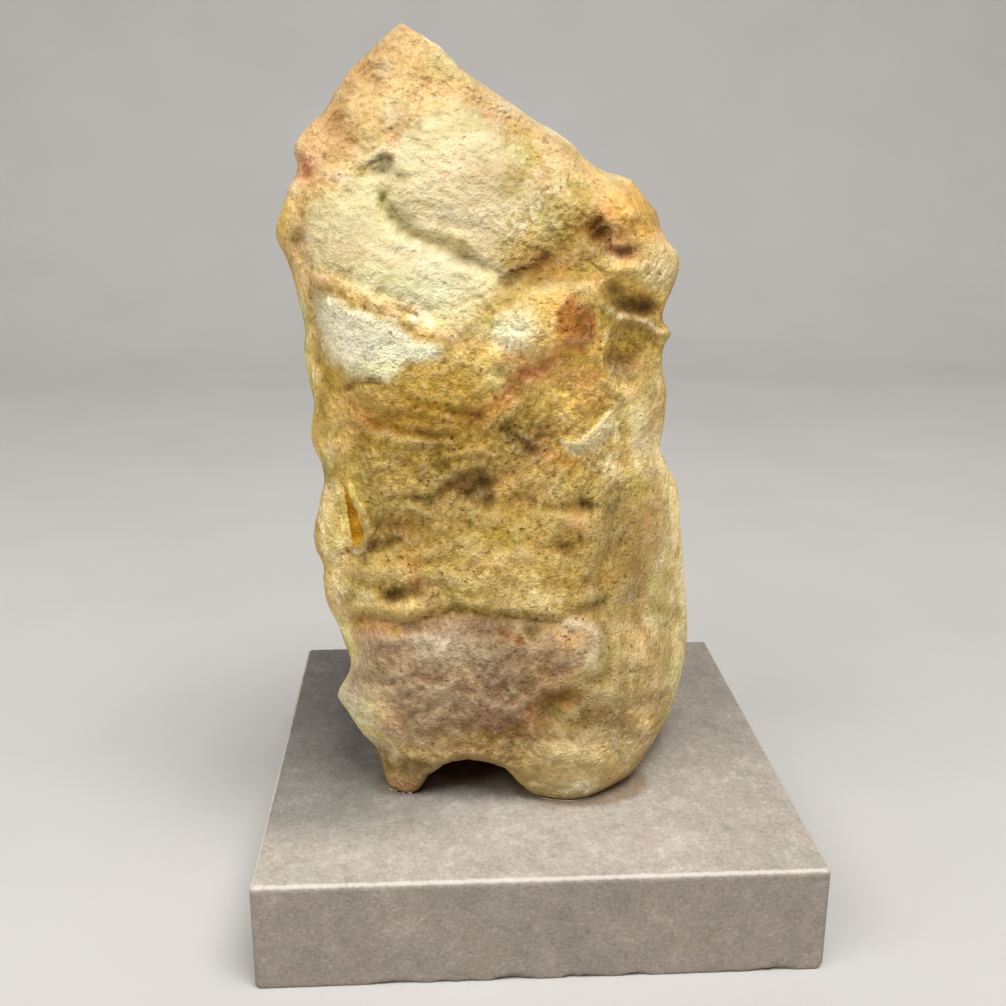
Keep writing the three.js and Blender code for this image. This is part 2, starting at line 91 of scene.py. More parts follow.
def perlin(p, seed=0):
    """Gradient noise, about -1 to 1, at the rows of p."""
    p = np.asarray(p, np.float32)
    i = np.floor(p).astype(np.int64)
    f = p - i
    w = f * f * f * (f * (f * 6 - 15) + 10)
    out = np.zeros(len(p), np.float32)
    for cx in (0, 1):
        wx = w[:, 0] if cx else 1 - w[:, 0]
        for cy in (0, 1):
            wy = w[:, 1] if cy else 1 - w[:, 1]
            for cz in (0, 1):
                wz = w[:, 2] if cz else 1 - w[:, 2]
                g = _GRAD[_hash(i[:, 0] + cx, i[:, 1] + cy, i[:, 2] + cz, seed) & np.uint32(255)]
                d = g[:, 0] * (f[:, 0] - cx) + g[:, 1] * (f[:, 1] - cy) + g[:, 2] * (f[:, 2] - cz)
                out += wx * wy * wz * d
    return out * 1.6


def fbm(p, octaves=4, seed=0, gain=0.5):
    p = np.asarray(p, np.float32)
    out = np.zeros(len(p), np.float32)
    amp, total = 1.0, 0.0
    for k in range(octaves):
        out += amp * perlin(p * (2.03 ** k) + 17.3 * k, seed + k)
        total += amp
        amp *= gain
    return out / total * 1.35


def ridged(p, octaves=3, seed=0, gain=0.5):
    p = np.asarray(p, np.float32)
    out = np.zeros(len(p), np.float32)
    amp, total = 1.0, 0.0
    for k in range(octaves):
        out += amp * (1 - np.abs(perlin(p * (2.03 ** k) + 9.1 * k, seed + k)))
        total += amp
        amp *= gain
    return out / total


def cells(p, seed=0):
    """Distance to the nearest and second-nearest scattered point, and that point's number."""
    p = np.asarray(p, np.float32)
    i = np.floor(p).astype(np.int64)
    f = p - i
    f1 = np.full(len(p), 9.0, np.float32)
    f2 = np.full(len(p), 9.0, np.float32)
    who = np.zeros(len(p), np.uint32)
    for cx in (-1, 0, 1):
        for cy in (-1, 0, 1):
            for cz in (-1, 0, 1):
                h = _hash(i[:, 0] + cx, i[:, 1] + cy, i[:, 2] + cz, seed)
                o = _CELL[h & np.uint32(1023)]
                d = ((o[:, 0] + cx - f[:, 0]) ** 2 + (o[:, 1] + cy - f[:, 1]) ** 2
                     + (o[:, 2] + cz - f[:, 2]) ** 2)
                near = d < f1
                f2 = np.where(near, f1, np.minimum(f2, d))
                f1 = np.where(near, d, f1)
                who = np.where(near, h, who)
    return np.sqrt(f1), np.sqrt(f2), (who >> np.uint32(10)) % np.uint32(997) / 997.0


def smooth(x, lo, hi):
    t = np.clip((x - lo) / (hi - lo), 0, 1)
    return t * t * (3 - 2 * t)


def smooth_max(a, b, k):
    h = np.maximum(k - np.abs(a - b), 0) / k
    return np.maximum(a, b) + h * h * k * 0.25


# ---------------------------------------------------------------------------
# The specimen's broad shape, the same as the solid's. The outline and the
# relief are drawn on the plane y = 0 and taper towards the eye.
# ---------------------------------------------------------------------------
OUTLINE = np.array([
    (-21.9, 157.9), (-20.9, 157.3), (-19.4, 156.5), (-17, 155.1), (-15.3, 154.2), (-14.4, 153.1), (-12.2, 151), (-10, 149.2),
    (-7.9, 147.9), (-4.4, 145.7), (-1.2, 143.6), (1.6, 141.7), (3.6, 140.8), (5.6, 139.6), (7.9, 138.1), (9.2, 136.7),
    (10.5, 135.3), (12.1, 134.1), (14.4, 133), (17.5, 132.3), (19, 131.7), (20.6, 129.9), (22, 127.9), (23.6, 126.4),
    (24.2, 124.8), (24.7, 122.9), (26.1, 120.8), (27.8, 119), (28.3, 117.2), (28.2, 115.2), (27.5, 112.9), (26.7, 111.1),
    (25.8, 109), (25.3, 106.6), (26.3, 105.3), (27.4, 104), (26.6, 102.4), (25.9, 101.1), (25.7, 98.4), (26.3, 95.5),
    (26.9, 93.3), (26.9, 91.1), (26.7, 88.4), (26.7, 86.2), (26.3, 84.1), (25.9, 82.3), (26.8, 79.9), (28.3, 77.1),
    (29.6, 74.8), (30.1, 72.5), (30.6, 69.1), (30.8, 65.6), (31.4, 61.2), (31.9, 56.7), (32.5, 52.2), (32.9, 47.7),
    (33.2, 43.1), (33.1, 37.9), (32.3, 33.5), (31.5, 29), (30.8, 25.4), (29, 22.3), (27.5, 19.1), (25.8, 15.9),
    (24, 12.9), (22.2, 10.8), (19.8, 9.2), (17.2, 7.6), (13.6, 6), (10, 5.2), (6.6, 5.7), (3, 6.8),
    (0.3, 8.7), (-1.5, 10.6), (-3.5, 13.4), (-7.1, 15), (-11.7, 15.8), (-14.7, 15.4), (-17.3, 14.1), (-19.7, 12.2),
    (-20.8, 10.2), (-22.3, 8.2), (-24.1, 7.5), (-26.2, 7.5), (-27.6, 8.6), (-28.4, 10.8), (-28.9, 14.1), (-29.3, 16.7),
    (-30.2, 19), (-31.3, 20.3), (-33, 22.3), (-34, 23.9), (-35.1, 26.1), (-36.2, 28), (-37.3, 29.6), (-37.8, 30.9),
    (-37.2, 32.7), (-36, 34.6), (-34.8, 36.6), (-34.6, 38.5), (-35.1, 40.8), (-35.7, 42.2), (-36.4, 44.4), (-37.5, 47.4),
    (-38.5, 49.5), (-39.1, 51.2), (-39.4, 53.3), (-39.6, 56.3), (-39.2, 58.3), (-39.8, 60.2), (-40.8, 62.1), (-41.1, 65),
    (-40.6, 67.9), (-39.8, 70.7), (-39.3, 73.5), (-38.5, 75.4), (-38.6, 77.4), (-38.9, 79.8), (-40, 81.8), (-40.6, 84),
    (-40.6, 86.9), (-40.2, 89.1), (-39.7, 90.4), (-40, 93.1), (-40.6, 96), (-41.1, 99.2), (-41.3, 101.8), (-40.9, 103.9),
    (-40.9, 106), (-41.3, 108.6), (-42.1, 110.6), (-42.1, 112.1), (-42.7, 114.7), (-43.4, 116.9), (-43.9, 118.7), (-45, 120.1),
    (-45.7, 121.8), (-45.6, 123.7), (-44.9, 125.8), (-44, 127.7), (-43.3, 129.2), (-43, 130.6), (-41.8, 131.8), (-40.9, 133.2),
    (-41.3, 134.7), (-41.9, 136.1), (-41.9, 137.6), (-41.4, 139), (-39.7, 140.2), (-38.2, 141.6), (-36.2, 143), (-35, 144.5),
    (-34.1, 146.3), (-32.8, 147.9), (-31.3, 150), (-28.8, 152.3), (-25.8, 155), (-23.2, 157.2),
])
RIM = np.array([
    (-21.9, 157.9, 0.5), (-31.3, 150, 0), (-40.2, 140, -1), (-42.1, 136.8, -2), (-45.7, 123, -3), (-42.1, 110.5, -4),
    (-41, 99.4, -4.5), (-40.3, 86, -5), (-38.6, 76.2, -5), (-41, 65.1, -6), (-39.5, 53.7, -7), (-35.8, 43, -9),
    (-37.7, 31, -11), (-33.1, 22.3, -13), (-28.8, 13.7, -15), (-26.3, 7.6, -18), (-17.2, 14.1, -20), (-11, 15.8, -22),
    (-3.5, 13.5, -22), (3.7, 6.7, -21), (10, 5.3, -22), (19.9, 9.2, -18), (27.6, 19.1, -12), (31.3, 29, -5),
    (33.3, 41.5, 1), (32, 56.6, 4), (30.6, 69.1, 4.5), (25.9, 82.3, 3), (26.5, 91.2, 2), (27.3, 104, 0.5),
    (26, 109, 1), (28.2, 117.1, 1), (24.4, 123.8, 1.5), (20.5, 130, 2), (12.2, 134, 3), (3.6, 140.8, 3),
    (-7.8, 148, 2.5), (-15.4, 154.2, 1.5),
])
FRONT = np.array([
    (-21.9, 158.3, -1.5), (-24.9, 153.8, -3.5), (-17.1, 153.9, -2.5), (-29.4, 149.4, -4.5), (-21.6, 147.8, -7), (-12.8, 148.6, -4),
    (-34.9, 142.2, -6.5), (-27.9, 141.1, -10), (-17.4, 140.2, -11), (-6.7, 141.1, -9.5), (0.4, 140.6, -5.5), (-41.8, 136.8, -5.5),
    (-37, 134.3, -10.5), (-28.1, 133.4, -13.5), (-17.5, 131.7, -14.5), (-4.9, 132.6, -14), (5.9, 134.3, -10.5), (12.3, 132.1, -7),
    (-44.4, 126.1, -8), (-38.8, 125.6, -14), (-30.2, 124.7, -18), (-22.9, 127.3, -16), (-15.8, 122.1, -16.5), (-4.9, 123.8, -16.5),
    (6, 125.6, -15), (13.3, 128.2, -12), (20.6, 128.2, -10.5), (24.4, 123.8, -6.5), (-45, 121.2, -8.5), (-39.5, 115.9, -17),
    (-32.3, 115.8, -20.5), (-23.2, 115.8, -21.5), (-14.1, 114.9, -20), (-4.9, 116.7, -18.3), (2.4, 118.4, -16.2), (9.8, 120.2, -15.2),
    (15.3, 120.2, -13.5), (21.8, 119.3, -11), (27.5, 117.1, -5), (-42.2, 109.5, -11), (-37.1, 108.6, -18.5), (-27.1, 105.8, -22.3),
    (-17.9, 106.7, -22), (-8.6, 108.5, -21.5), (-1.2, 108.4, -23), (6.3, 110.2, -22.5), (11.9, 108.3, -20), (18.5, 108.3, -12),
    (25, 108.3, -6), (-40.9, 101.2, -12), (-36.5, 101.2, -18.5), (-27.3, 98.3, -22.8), (-16.1, 101.1, -23.2), (-4.9, 101.9, -24),
    (4.5, 101.9, -24), (12, 101.8, -21), (18.7, 101.8, -12.5), (25.3, 101.7, -5), (-39.9, 91.8, -12.5), (-35, 92.7, -18),
    (-23.8, 91.6, -23.2), (-12.4, 91.5, -23.6), (-1.1, 92.4, -22.6), (10.3, 94.2, -21.8), (17, 93.2, -18.5), (22.8, 93.1, -10.5),
    (26.5, 92.1, -4), (-40.2, 84.1, -12), (-34.4, 83, -18.3), (-24, 81.9, -22.8), (-12.5, 81.8, -22.8), (-1, 82.6, -22.3),
    (9.6, 82.5, -20.7), (16.3, 85.4, -17.5), (22.1, 84.4, -10.5), (26, 83.3, -3.5), (-39, 76.2, -11), (-34.7, 74.1, -16.5),
    (-24.2, 72, -22.3), (-12.6, 71.8, -23), (-0.9, 71.6, -23.4), (8.8, 72.5, -22), (15.6, 74.4, -17.6), (22.5, 73.3, -10),
    (29.6, 73.2, -0.5), (-40.6, 65.1, -12), (-35.1, 63, -15.5), (-29.3, 62.9, -20.5), (-18.6, 61.7, -24.5), (-4.8, 61.4, -25.5),
    (7, 61.2, -25), (14, 61.1, -22.5), (19.9, 62.1, -15.5), (25.9, 62, -8), (31.3, 61.2, 0.5), (-39.5, 53.7, -13),
    (-32.5, 52.5, -20), (-18.7, 51.2, -25.8), (-4.8, 50.9, -26.8), (7.2, 50.7, -26), (14.2, 50.5, -23.7), (21.3, 50.4, -17.5),
    (27.4, 50.3, -9.5), (32.2, 51.3, 0), (-36.8, 44.1, -14.5), (-30.8, 42.9, -22.5), (-18.9, 41.5, -27.2), (-4.8, 40.1, -28.5),
    (7.4, 39.9, -28), (17.6, 39.6, -25.8), (24.7, 39.5, -20), (30.3, 39.3, -10), (33.1, 40.4, -2), (-37.3, 31, -15),
    (-30.2, 30.8, -24), (-19.1, 30.5, -27.8), (-6.8, 29.1, -28.6), (5.5, 27.7, -27.4), (15.9, 26.3, -27.8), (24.2, 26, -23.5),
    (30, 27, -12), (-28.9, 19.5, -19.5), (-19.2, 19.2, -25.8), (-6.8, 18.9, -27.5), (5.7, 16.2, -28.6), (16.1, 15.9, -27.6),
    (24.5, 15.7, -20), (-28.7, 10.2, -18.5), (-25.2, 9, -21.2), (-20.3, 14.6, -24), (3.7, 8.1, -25), (11.1, 6.2, -26),
    (18.4, 8.8, -24),
])

SIDE_RADIUS, UNDERSIDE_RADIUS, SOFTENING, RIM_REACH = 34.0, 160.0, 4.5, 8.0
EDGE_ROUNDING = 1.6
FOOT_LEVEL = 20.12
BACK = [
    ((-5, 20.5, 75), (0.07, 0.995, 0.02), 2.5),
    ((21, 16, 70), (0.66, 0.74, 0.08), 2.5),
    ((-31, 13.5, 84), (-0.62, 0.77, 0.12), 2.5),
    ((-12, 16.5, 126), (0.14, 0.88, 0.44), 2.0),
    ((12, 18, 42), (0.3, 0.94, -0.14), 2.5),
    ((-26, 15, 38), (-0.5, 0.86, -0.05), 2.5),
]
ARCHES = [
    ((-10.6, -16, 18.5), (9.6, 15, 11.2)),
    ((-7, 1, 18.2), (15, 13, 9.4)),
    ((26, 3, 19), (11, 9, 9)),
    ((-36, 2, 19), (9, 12, 10)),
]

# The canvas: one cell per pixel of the view from the eye, over the specimen.
U0, V0, NU, NV = 236, 4, 489, 833
U, V = np.meshgrid(np.arange(NU, dtype=np.float32) + U0, np.arange(NV, dtype=np.float32) + V0)


def loop_distance(x, z, loop):
    """Signed distance to a closed loop (negative inside) and the position along it."""
    best = np.full(len(x), 1e9)
    at = np.zeros(len(x))
    inside = np.zeros(len(x), bool)
    n = len(loop)
    for i in range(n):
        ax, az = loop[i - 1][:2]
        bx, bz = loop[i][:2]
        ex, ez = bx - ax, bz - az
        h = np.clip(((x - ax) * ex + (z - az) * ez) / (ex * ex + ez * ez), 0, 1)
        d = (x - ax - h * ex) ** 2 + (z - az - h * ez) ** 2
        near = d < best
        best = np.where(near, d, best)
        at = np.where(near, (i - 1) + h, at)
        if az != bz:
            inside ^= ((bz > z) != (az > z)) & (x < (ax - bx) * (z - bz) / (az - bz) + bx)
    return np.where(inside, -1, 1) * np.sqrt(best), at


def thin_plate(rows, stiffness):
    """Thin-plate spline through rows of x, z, value."""
    n = len(rows)
    d2 = ((rows[:, None, :2] - rows[None, :, :2]) ** 2).sum(2)
    phi = np.where(d2 > 0, 0.5 * d2 * np.log(np.maximum(d2, 1e-12)), 0)
    a = np.zeros((n + 3, n + 3))
    a[:n, :n] = phi + stiffness * np.eye(n)
    a[:n, n] = 1
    a[:n, n + 1:] = rows[:, :2]
    a[n:, :n] = a[:n, n:].T
    w = np.linalg.solve(a, np.concatenate([rows[:, 2], np.zeros(3)]))

    def at(x, z):
        out = w[n] + w[n + 1] * x + w[n + 2] * z
        for j in range(n):
            r2 = (x - rows[j, 0]) ** 2 + (z - rows[j, 1]) ** 2
            out = out + w[j] * 0.5 * r2 * np.log(np.maximum(r2, 1e-9))
        return out
    return at


def coarse(fn, step):
    """fn over the canvas on a coarser grid, brought back to one cell per pixel."""
    nu, nv = (NU - 1) // step + 2, (NV - 1) // step + 2
    cu, cv = np.meshgrid(np.arange(nu) * step + U0, np.arange(nv) * step + V0)
    x, z = on_plane(cu.astype(float), cv.astype(float))
    g = fn(x.ravel(), z.ravel()).reshape(nv, nu)
    fu, fv = (U - U0) / step, (V - V0) / step
    iu, iv = fu.astype(int), fv.astype(int)
    fu, fv = fu - iu, fv - iv
    return ((g[iv, iu] * (1 - fu) + g[iv, iu + 1] * fu) * (1 - fv)
            + (g[iv + 1, iu] * (1 - fu) + g[iv + 1, iu + 1] * fu) * fv)


def soften(loop, spread):
    p = np.array(loop)
    nxt = np.roll(p, -1, 0)
    mid = (p + nxt) / 2
    length = np.linalg.norm(nxt - p, axis=1)
    out = []
    for q in p[::2]:
        w = length * np.exp(-((mid - q) ** 2).sum(1) / (2 * spread * spread))
        out.append((w[:, None] * mid).sum(0) / w.sum())
    return np.array(out)


_d4 = ((OUTLINE[:, None] - RIM[None, :, :2]) ** 2).sum(2)
_w = 1 / (_d4 * _d4 + 1)
RIM_AT = (_w * RIM[None, :, 2]).sum(1) / _w.sum(1)
_t = np.clip((OUTLINE[:, 1] - 10) / 16, 0, 1)
BEND_AT = (1 - _t) / (2 * UNDERSIDE_RADIUS) + _t / (2 * SIDE_RADIUS)
SOFT_LOOP = soften(OUTLINE, SOFTENING)


def rim_maps():
    x, z = on_plane(U[::2, ::2].astype(float), V[::2, ::2].astype(float))
    d, at = loop_distance(x.ravel(), z.ravel(), OUTLINE)
    i = np.floor(at).astype(int)
    h = at - i
    j = (i + 1) % len(OUTLINE)
    i = i % len(OUTLINE)
    rim = RIM_AT[i] * (1 - h) + RIM_AT[j] * h
    bend = BEND_AT[i] * (1 - h) + BEND_AT[j] * h
    return [m.reshape(x.shape) for m in (d, rim, bend)]


def up2(g):
    """A map of every second cell, brought back to the canvas."""
    iv, iu = np.minimum(np.arange(NV) // 2, g.shape[0] - 2), np.minimum(np.arange(NU) // 2, g.shape[1] - 2)
    fv = (np.arange(NV) / 2 - iv)[:, None]
    fu = (np.arange(NU) / 2 - iu)[None]
    a, b = g[iv][:, iu], g[iv][:, iu + 1]
    c, d = g[iv + 1][:, iu], g[iv + 1][:, iu + 1]
    return (a * (1 - fu) + b * fu) * (1 - fv) + (c * (1 - fu) + d * fu) * fv


_edge2, _rim2, _bend2 = rim_maps()
EDGE, RIM_MAP, BEND_MAP = up2(_edge2), up2(_rim2), up2(_bend2)
SOFT = coarse(lambda x, z: loop_distance(x, z, SOFT_LOOP)[0], 3)
RELIEF = coarse(thin_plate(FRONT, 2.0), 3)

# Wandering of drawn shapes, so that no outline is a clean curve.
_uv = np.stack([U.ravel(), V.ravel(), np.zeros(U.size)], 1).astype(np.float32)


def on_canvas(fn, scale, octaves=1, seed=0, stretch=(1, 1), turn=0.0):
    c, s = math.cos(math.radians(turn)), math.sin(math.radians(turn))
    a = (_uv[:, 0] * c + _uv[:, 1] * s) / (scale * stretch[0])
    b = (-_uv[:, 0] * s + _uv[:, 1] * c) / (scale * stretch[1])
    p = np.stack([a, b, np.full(len(a), 0.37 + seed * 1.7)], 1)
    return (fn(p, octaves, seed) if fn is not cells else fn(p, seed))


def canvas_noise(scale, octaves=3, seed=0, stretch=(1, 1), turn=0.0, fn=fbm):
    return on_canvas(fn, scale, octaves, seed, stretch, turn).reshape(NV, NU)


WARP_U = 3.2 * canvas_noise(24, 2, 51) + 1.5 * canvas_noise(8, 2, 52)
WARP_V = 3.2 * canvas_noise(24, 2, 53) + 1.5 * canvas_noise(8, 2, 54)


def blob(u, v, ru, rv=None, turn=0.0, wob=1.0, power=2.0):
    """A soft spot, 1 at its middle."""
    rv = ru if rv is None else rv
    reach = 3.2 * max(ru, rv) + 6
    out = np.zeros((NV, NU), np.float32)
    a, b = max(0, int(v - reach) - V0), max(0, min(NV, int(v + reach) - V0))
    c, d = max(0, int(u - reach) - U0), max(0, min(NU, int(u + reach) - U0))
    if a >= b or c >= d:
        return out
    x = U[a:b, c:d] + wob * WARP_U[a:b, c:d] - u
    y = V[a:b, c:d] + wob * WARP_V[a:b, c:d] - v
    co, si = math.cos(math.radians(turn)), math.sin(math.radians(turn))
    q = ((x * co + y * si) / ru) ** 2 + ((-x * si + y * co) / rv) ** 2
    out[a:b, c:d] = np.exp(-q ** (power / 2))
    return out


def line_distance(pts, reach, wob=1.0):
    """Distance to a polyline, the signed side of it (positive below or left of
    the direction of travel) and the width factor of the nearest point."""
    p = np.array([(q[0], q[1], q[2] if len(q) > 2 else 1.0) for q in pts], float)
    a = max(0, int(p[:, 1].min() - reach) - V0)
    b = max(a + 1, min(NV, int(p[:, 1].max() + reach) - V0 + 1))
    c = max(0, int(p[:, 0].min() - reach) - U0)
    d = max(c + 1, min(NU, int(p[:, 0].max() + reach) - U0 + 1))
    x = U[a:b, c:d] + wob * WARP_U[a:b, c:d]
    y = V[a:b, c:d] + wob * WARP_V[a:b, c:d]
    best = np.full(x.shape, 1e9)
    side = np.ones(x.shape)
    wide = np.ones(x.shape)
    for k in range(len(p) - 1):
        ex, ey = p[k + 1, 0] - p[k, 0], p[k + 1, 1] - p[k, 1]
        h = np.clip(((x - p[k, 0]) * ex + (y - p[k, 1]) * ey) / (ex * ex + ey * ey + 1e-9), 0, 1)
        dx, dy = x - p[k, 0] - h * ex, y - p[k, 1] - h * ey
        q = dx * dx + dy * dy
        near = q < best
        best = np.where(near, q, best)
        side = np.where(near, np.sign(ex * dy - ey * dx + 1e-9), side)
        wide = np.where(near, p[k, 2] * (1 - h) + p[k + 1, 2] * h, wide)
    return (slice(a, b), slice(c, d)), np.sqrt(best), side, wide


def line(pts, width, wob=1.0, power=2.0):
    """A soft stroke, 1 along its middle; a third number in a point scales the width there."""
    win, d, _, wide = line_distance(pts, 3.2 * width * max([q[2] for q in pts if len(q) > 2] + [1]) + 8, wob)
    out = np.zeros((NV, NU), np.float32)
    out[win] = np.exp(-(d / (width * np.maximum(wide, 0.05))) ** power)
    return out


def ledge(pts, above, below, wob=1.0, step=5.0):
    """A step along a line: a falling tail on its upper side (above, px) and on its
    lower side (below, px), the step itself spread over twice `step` px."""
    win, d, side, _ = line_distance(pts, 3 * max(above, below) + 8, wob)
    up = np.zeros((NV, NU), np.float32)
    down = np.zeros((NV, NU), np.float32)
    t = smooth(d * side, -step, step)
    up[win] = (1 - t) * np.exp(-d / above)
    down[win] = t * np.exp(-d / below)
    return up, down


def area(pts, feather, wob=1.0):
    """1 inside a drawn outline, falling to 0 across the feather."""
    p = np.array(pts, float)
    reach = feather + 8
    a = max(0, int(p[:, 1].min() - reach) - V0)
    b = max(a + 1, min(NV, int(p[:, 1].max() + reach) - V0 + 1))
    c = max(0, int(p[:, 0].min() - reach) - U0)
    d = max(c + 1, min(NU, int(p[:, 0].max() + reach) - U0 + 1))
    x = (U[a:b, c:d] + wob * WARP_U[a:b, c:d]).astype(float)
    y = (V[a:b, c:d] + wob * WARP_V[a:b, c:d]).astype(float)
    sd, _ = loop_distance(x.ravel(), y.ravel(), p)
    out = np.zeros((NV, NU), np.float32)
    out[a:b, c:d] = (1 - smooth(sd, -feather, feather)).reshape(x.shape)
    return out

# ---------------------------------------------------------------------------
# The front's hollows, ledges, flakes and cracks, in mm; + goes into the stone.
# ---------------------------------------------------------------------------
D = np.zeros((NV, NU), np.float32)
_brk = 0.55 + 0.9 * np.clip(0.5 + canvas_noise(13, 3, 61), 0, 1.3)      # strokes swell and die away


def within(u0, u1, v0=None, v1=None, soft=14):
    """1 inside a span of columns (and rows), fading at its ends."""
    out = smooth(U, u0 - soft / 2, u0 + soft / 2) * (1 - smooth(U, u1 - soft / 2, u1 + soft / 2))
    if v0 is not None:
        out = out * smooth(V, v0 - soft / 2, v0 + soft / 2) * (1 - smooth(V, v1 - soft / 2, v1 + soft / 2))
    return out


# -- tan tip and the notch on its left
D += 0.5 * blob(376, 82, 11, 17) - 0.4 * blob(386, 64, 13, 12) - 0.5 * blob(420, 72, 20, 14, 40)
D += 0.8 * blob(351, 141, 9, 6, 10) + 0.6 * blob(327, 154, 7, 6) + 0.6 * blob(338, 121, 10, 11)
D -= 0.9 * blob(301, 148, 11, 13) + 0.6 * blob(318, 128, 14, 8, -35) + 0.5 * blob(352, 112, 14, 9, -35)
D += 1.3 * blob(306, 173, 9, 8) - 0.6 * blob(291, 187, 6, 5)
D += 0.6 * blob(396, 106, 4, 5) - 0.5 * blob(389, 117, 8, 7) + 0.5 * blob(421, 129, 7, 6) + 0.3 * blob(413, 141, 6, 5)
up, down = ledge([(318, 198), (332, 188), (346, 181), (362, 177), (377, 177)], 12, 16)
D += 0.7 * up - 0.45 * down
D += 0.55 * line([(430, 92), (462, 94), (492, 108), (520, 126), (552, 150)], 7) - 0.5 * line([(446, 70), (480, 94), (520, 122), (570, 156)], 9)
# -- grey-green cavity and the spots beside it
D += 1.0 * blob(382, 164, 11, 8, -15, 0.9, 2.4) + 0.5 * blob(388, 160, 5, 6, 0, 0.7) + 0.4 * line([(366, 168), (376, 160), (388, 156), (392, 164), (386, 172), (374, 171)], 3.6, 0.8)
D += 0.7 * blob(402, 178, 7, 5, 20) + 0.6 * blob(384, 198, 5, 6, 30) - 0.7 * blob(364, 160, 12, 8)
# -- trough: a long slope turned down, then the lower bulge's brim
up, down = ledge([(379, 190), (383, 206), (389, 221), (399, 234), (414, 243), (430, 250), (446, 256), (466, 266), (484, 275), (500, 283), (512, 290)], 23, 32, 1.2, 8)
_reach = smooth(U + 0.6 * V, 470, 540) * (1 - 0.75 * smooth(U, 470, 512))
D += (1.9 * up - 1.1 * down) * _reach
D += 0.35 * line([(384, 200), (393, 217, 1.3), (405, 230, 1.3), (421, 237), (444, 246, 0.6)], 5.5, 1.0) * _brk
D += 0.5 * line([(420, 214), (452, 226), (492, 234), (526, 232)], 11)
# -- left shoulder knob, the groove behind it and the groove down the left side
D -= 1.0 * blob(287, 222, 14, 24) - 0.7 * blob(299, 238, 7, 15, -12)
D += 0.8 * line([(297, 240, 1.2), (303, 256), (311, 276), (316, 300), (317, 330), (317, 352), (323, 370), (331, 384), (341, 392, 0.6)], 6.5) * _brk
D -= 0.5 * line([(296, 262), (302, 290), (307, 330), (309, 365), (313, 395)], 6)
# -- the vein: a shallow band between the bulge and the white patch
D -= 0.35 * line([(306, 270), (333, 281), (352, 289, 1.3), (373, 299), (398, 311), (421, 322), (444, 332), (468, 345), (500, 356)], 7, 1.2)
D += 0.30 * line([(320, 290), (345, 300), (390, 316), (430, 336)], 6, 1.2) + 0.25 * line([(330, 268), (366, 284), (402, 300), (440, 320)], 5, 1.2)
D += 0.5 * line([(397, 309, 0.5), (408, 313, 1.2), (418, 315, 0.5)], 3.6, 0.5) + 0.4 * blob(382, 291, 4, 3.5) + 0.3 * blob(430, 310, 5, 4)
# -- white patch: gently domed
D -= 0.7 * area([(317, 290), (334, 299), (358, 306), (390, 319), (421, 336), (443, 349), (432, 358), (405, 366), (390, 379), (352, 380), (333, 366), (324, 346), (320, 316)], 13)
D += 0.8 * line([(345, 388, 0.8), (352, 386, 1.2), (361, 384), (370, 382), (380, 383, 0.5)], 3.0, 0.7) * _brk + 0.5 * blob(357, 372, 6, 5)
D += 0.35 * blob(388, 344, 5, 5) + 0.35 * blob(365, 358, 4, 4)
# -- ochre band: a swelling with folds along its lower brim
D -= 0.8 * area([(346, 390), (367, 383), (395, 373), (433, 362), (462, 350), (500, 353), (518, 362), (503, 382), (488, 400), (468, 408), (440, 406), (410, 408), (385, 404), (362, 399)], 13)
D += 0.5 * line([(362, 416, 0.6), (379, 423), (392, 426), (408, 430, 1.3), (422, 434), (438, 437), (455, 436, 0.5)], 4.2, 1.2) * _brk
D += 0.5 * line([(415, 409, 0.6), (438, 409), (450, 410), (465, 413), (482, 418, 0.6)], 4.0, 1.2) * _brk
D += 0.4 * line([(345, 400, 0.5), (365, 410), (396, 417), (425, 420), (446, 423, 0.5)], 4.2, 1.3) * _brk
D -= 0.35 * line([(372, 434), (396, 440), (430, 444), (460, 442)], 5, 1.2)
# -- the valley above the hump and the pit at its end
up, down = ledge([(500, 288), (513, 281), (527, 274), (541, 267), (554, 260), (564, 251), (576, 242), (590, 233)], 20, 20, 1.4, 9)
D += 1.35 * up - 0.7 * down
D += 0.5 * blob(521, 274, 10, 7, -20) + 0.5 * blob(541, 266, 11, 7, -25) + 0.3 * blob(568, 248, 12, 8, -25)
D += 1.9 * blob(600, 232, 12, 14, 10, 0.9, 2.4) + 0.8 * blob(599, 237, 7, 8, 0, 0.6)
D -= 0.9 * line([(592, 256), (604, 265), (622, 269), (642, 266)], 7) + 1.6 * blob(634, 203, 20, 19) - 0.5 * blob(645, 226, 10, 8)
D += 0.8 * blob(624, 257, 12, 5, 12) + 0.5 * line([(608, 250), (622, 253), (640, 250)], 4)
D += 0.5 * line([(596, 184), (604, 192), (606, 205)], 5)
# -- hump with its ridge, red spot and the red fold below
D -= 1.3 * area([(496, 318), (512, 300), (534, 290), (560, 281), (592, 284), (604, 300), (602, 330), (588, 350), (560, 350), (530, 356), (505, 346)], 13)
D -= 0.5 * line([(524, 298), (541, 289), (556, 284), (572, 282), (592, 288)], 6) + 0.4 * blob(517, 322, 16, 12)
D += 0.8 * blob(577, 322, 13, 17) + 0.3 * line([(558, 342), (563, 330), (561, 312)], 4)
up, down = ledge([(580, 344), (563, 347), (548, 358), (530, 369), (514, 381), (500, 395), (488, 407), (474, 418)], 22, 16, 1.2, 6)
D += 0.5 * up * smooth(V, 340, 356) - 0.3 * down
D += 0.25 * line([(562, 350, 0.7), (548, 361), (529, 371), (516, 380), (502, 394), (488, 408), (476, 417, 0.7)], 4.5, 1.6) * _brk
# -- pale lobe at the right rim with its small holes
D -= 1.0 * blob(658, 262, 15, 17)
for u, v, r in ((642, 262, 2.6), (648, 274, 2.8), (659, 274, 2.5), (666, 251, 2.0), (655, 284, 2.0)):
    D += 0.9 * blob(u, v, r, r, 0, 0.3)
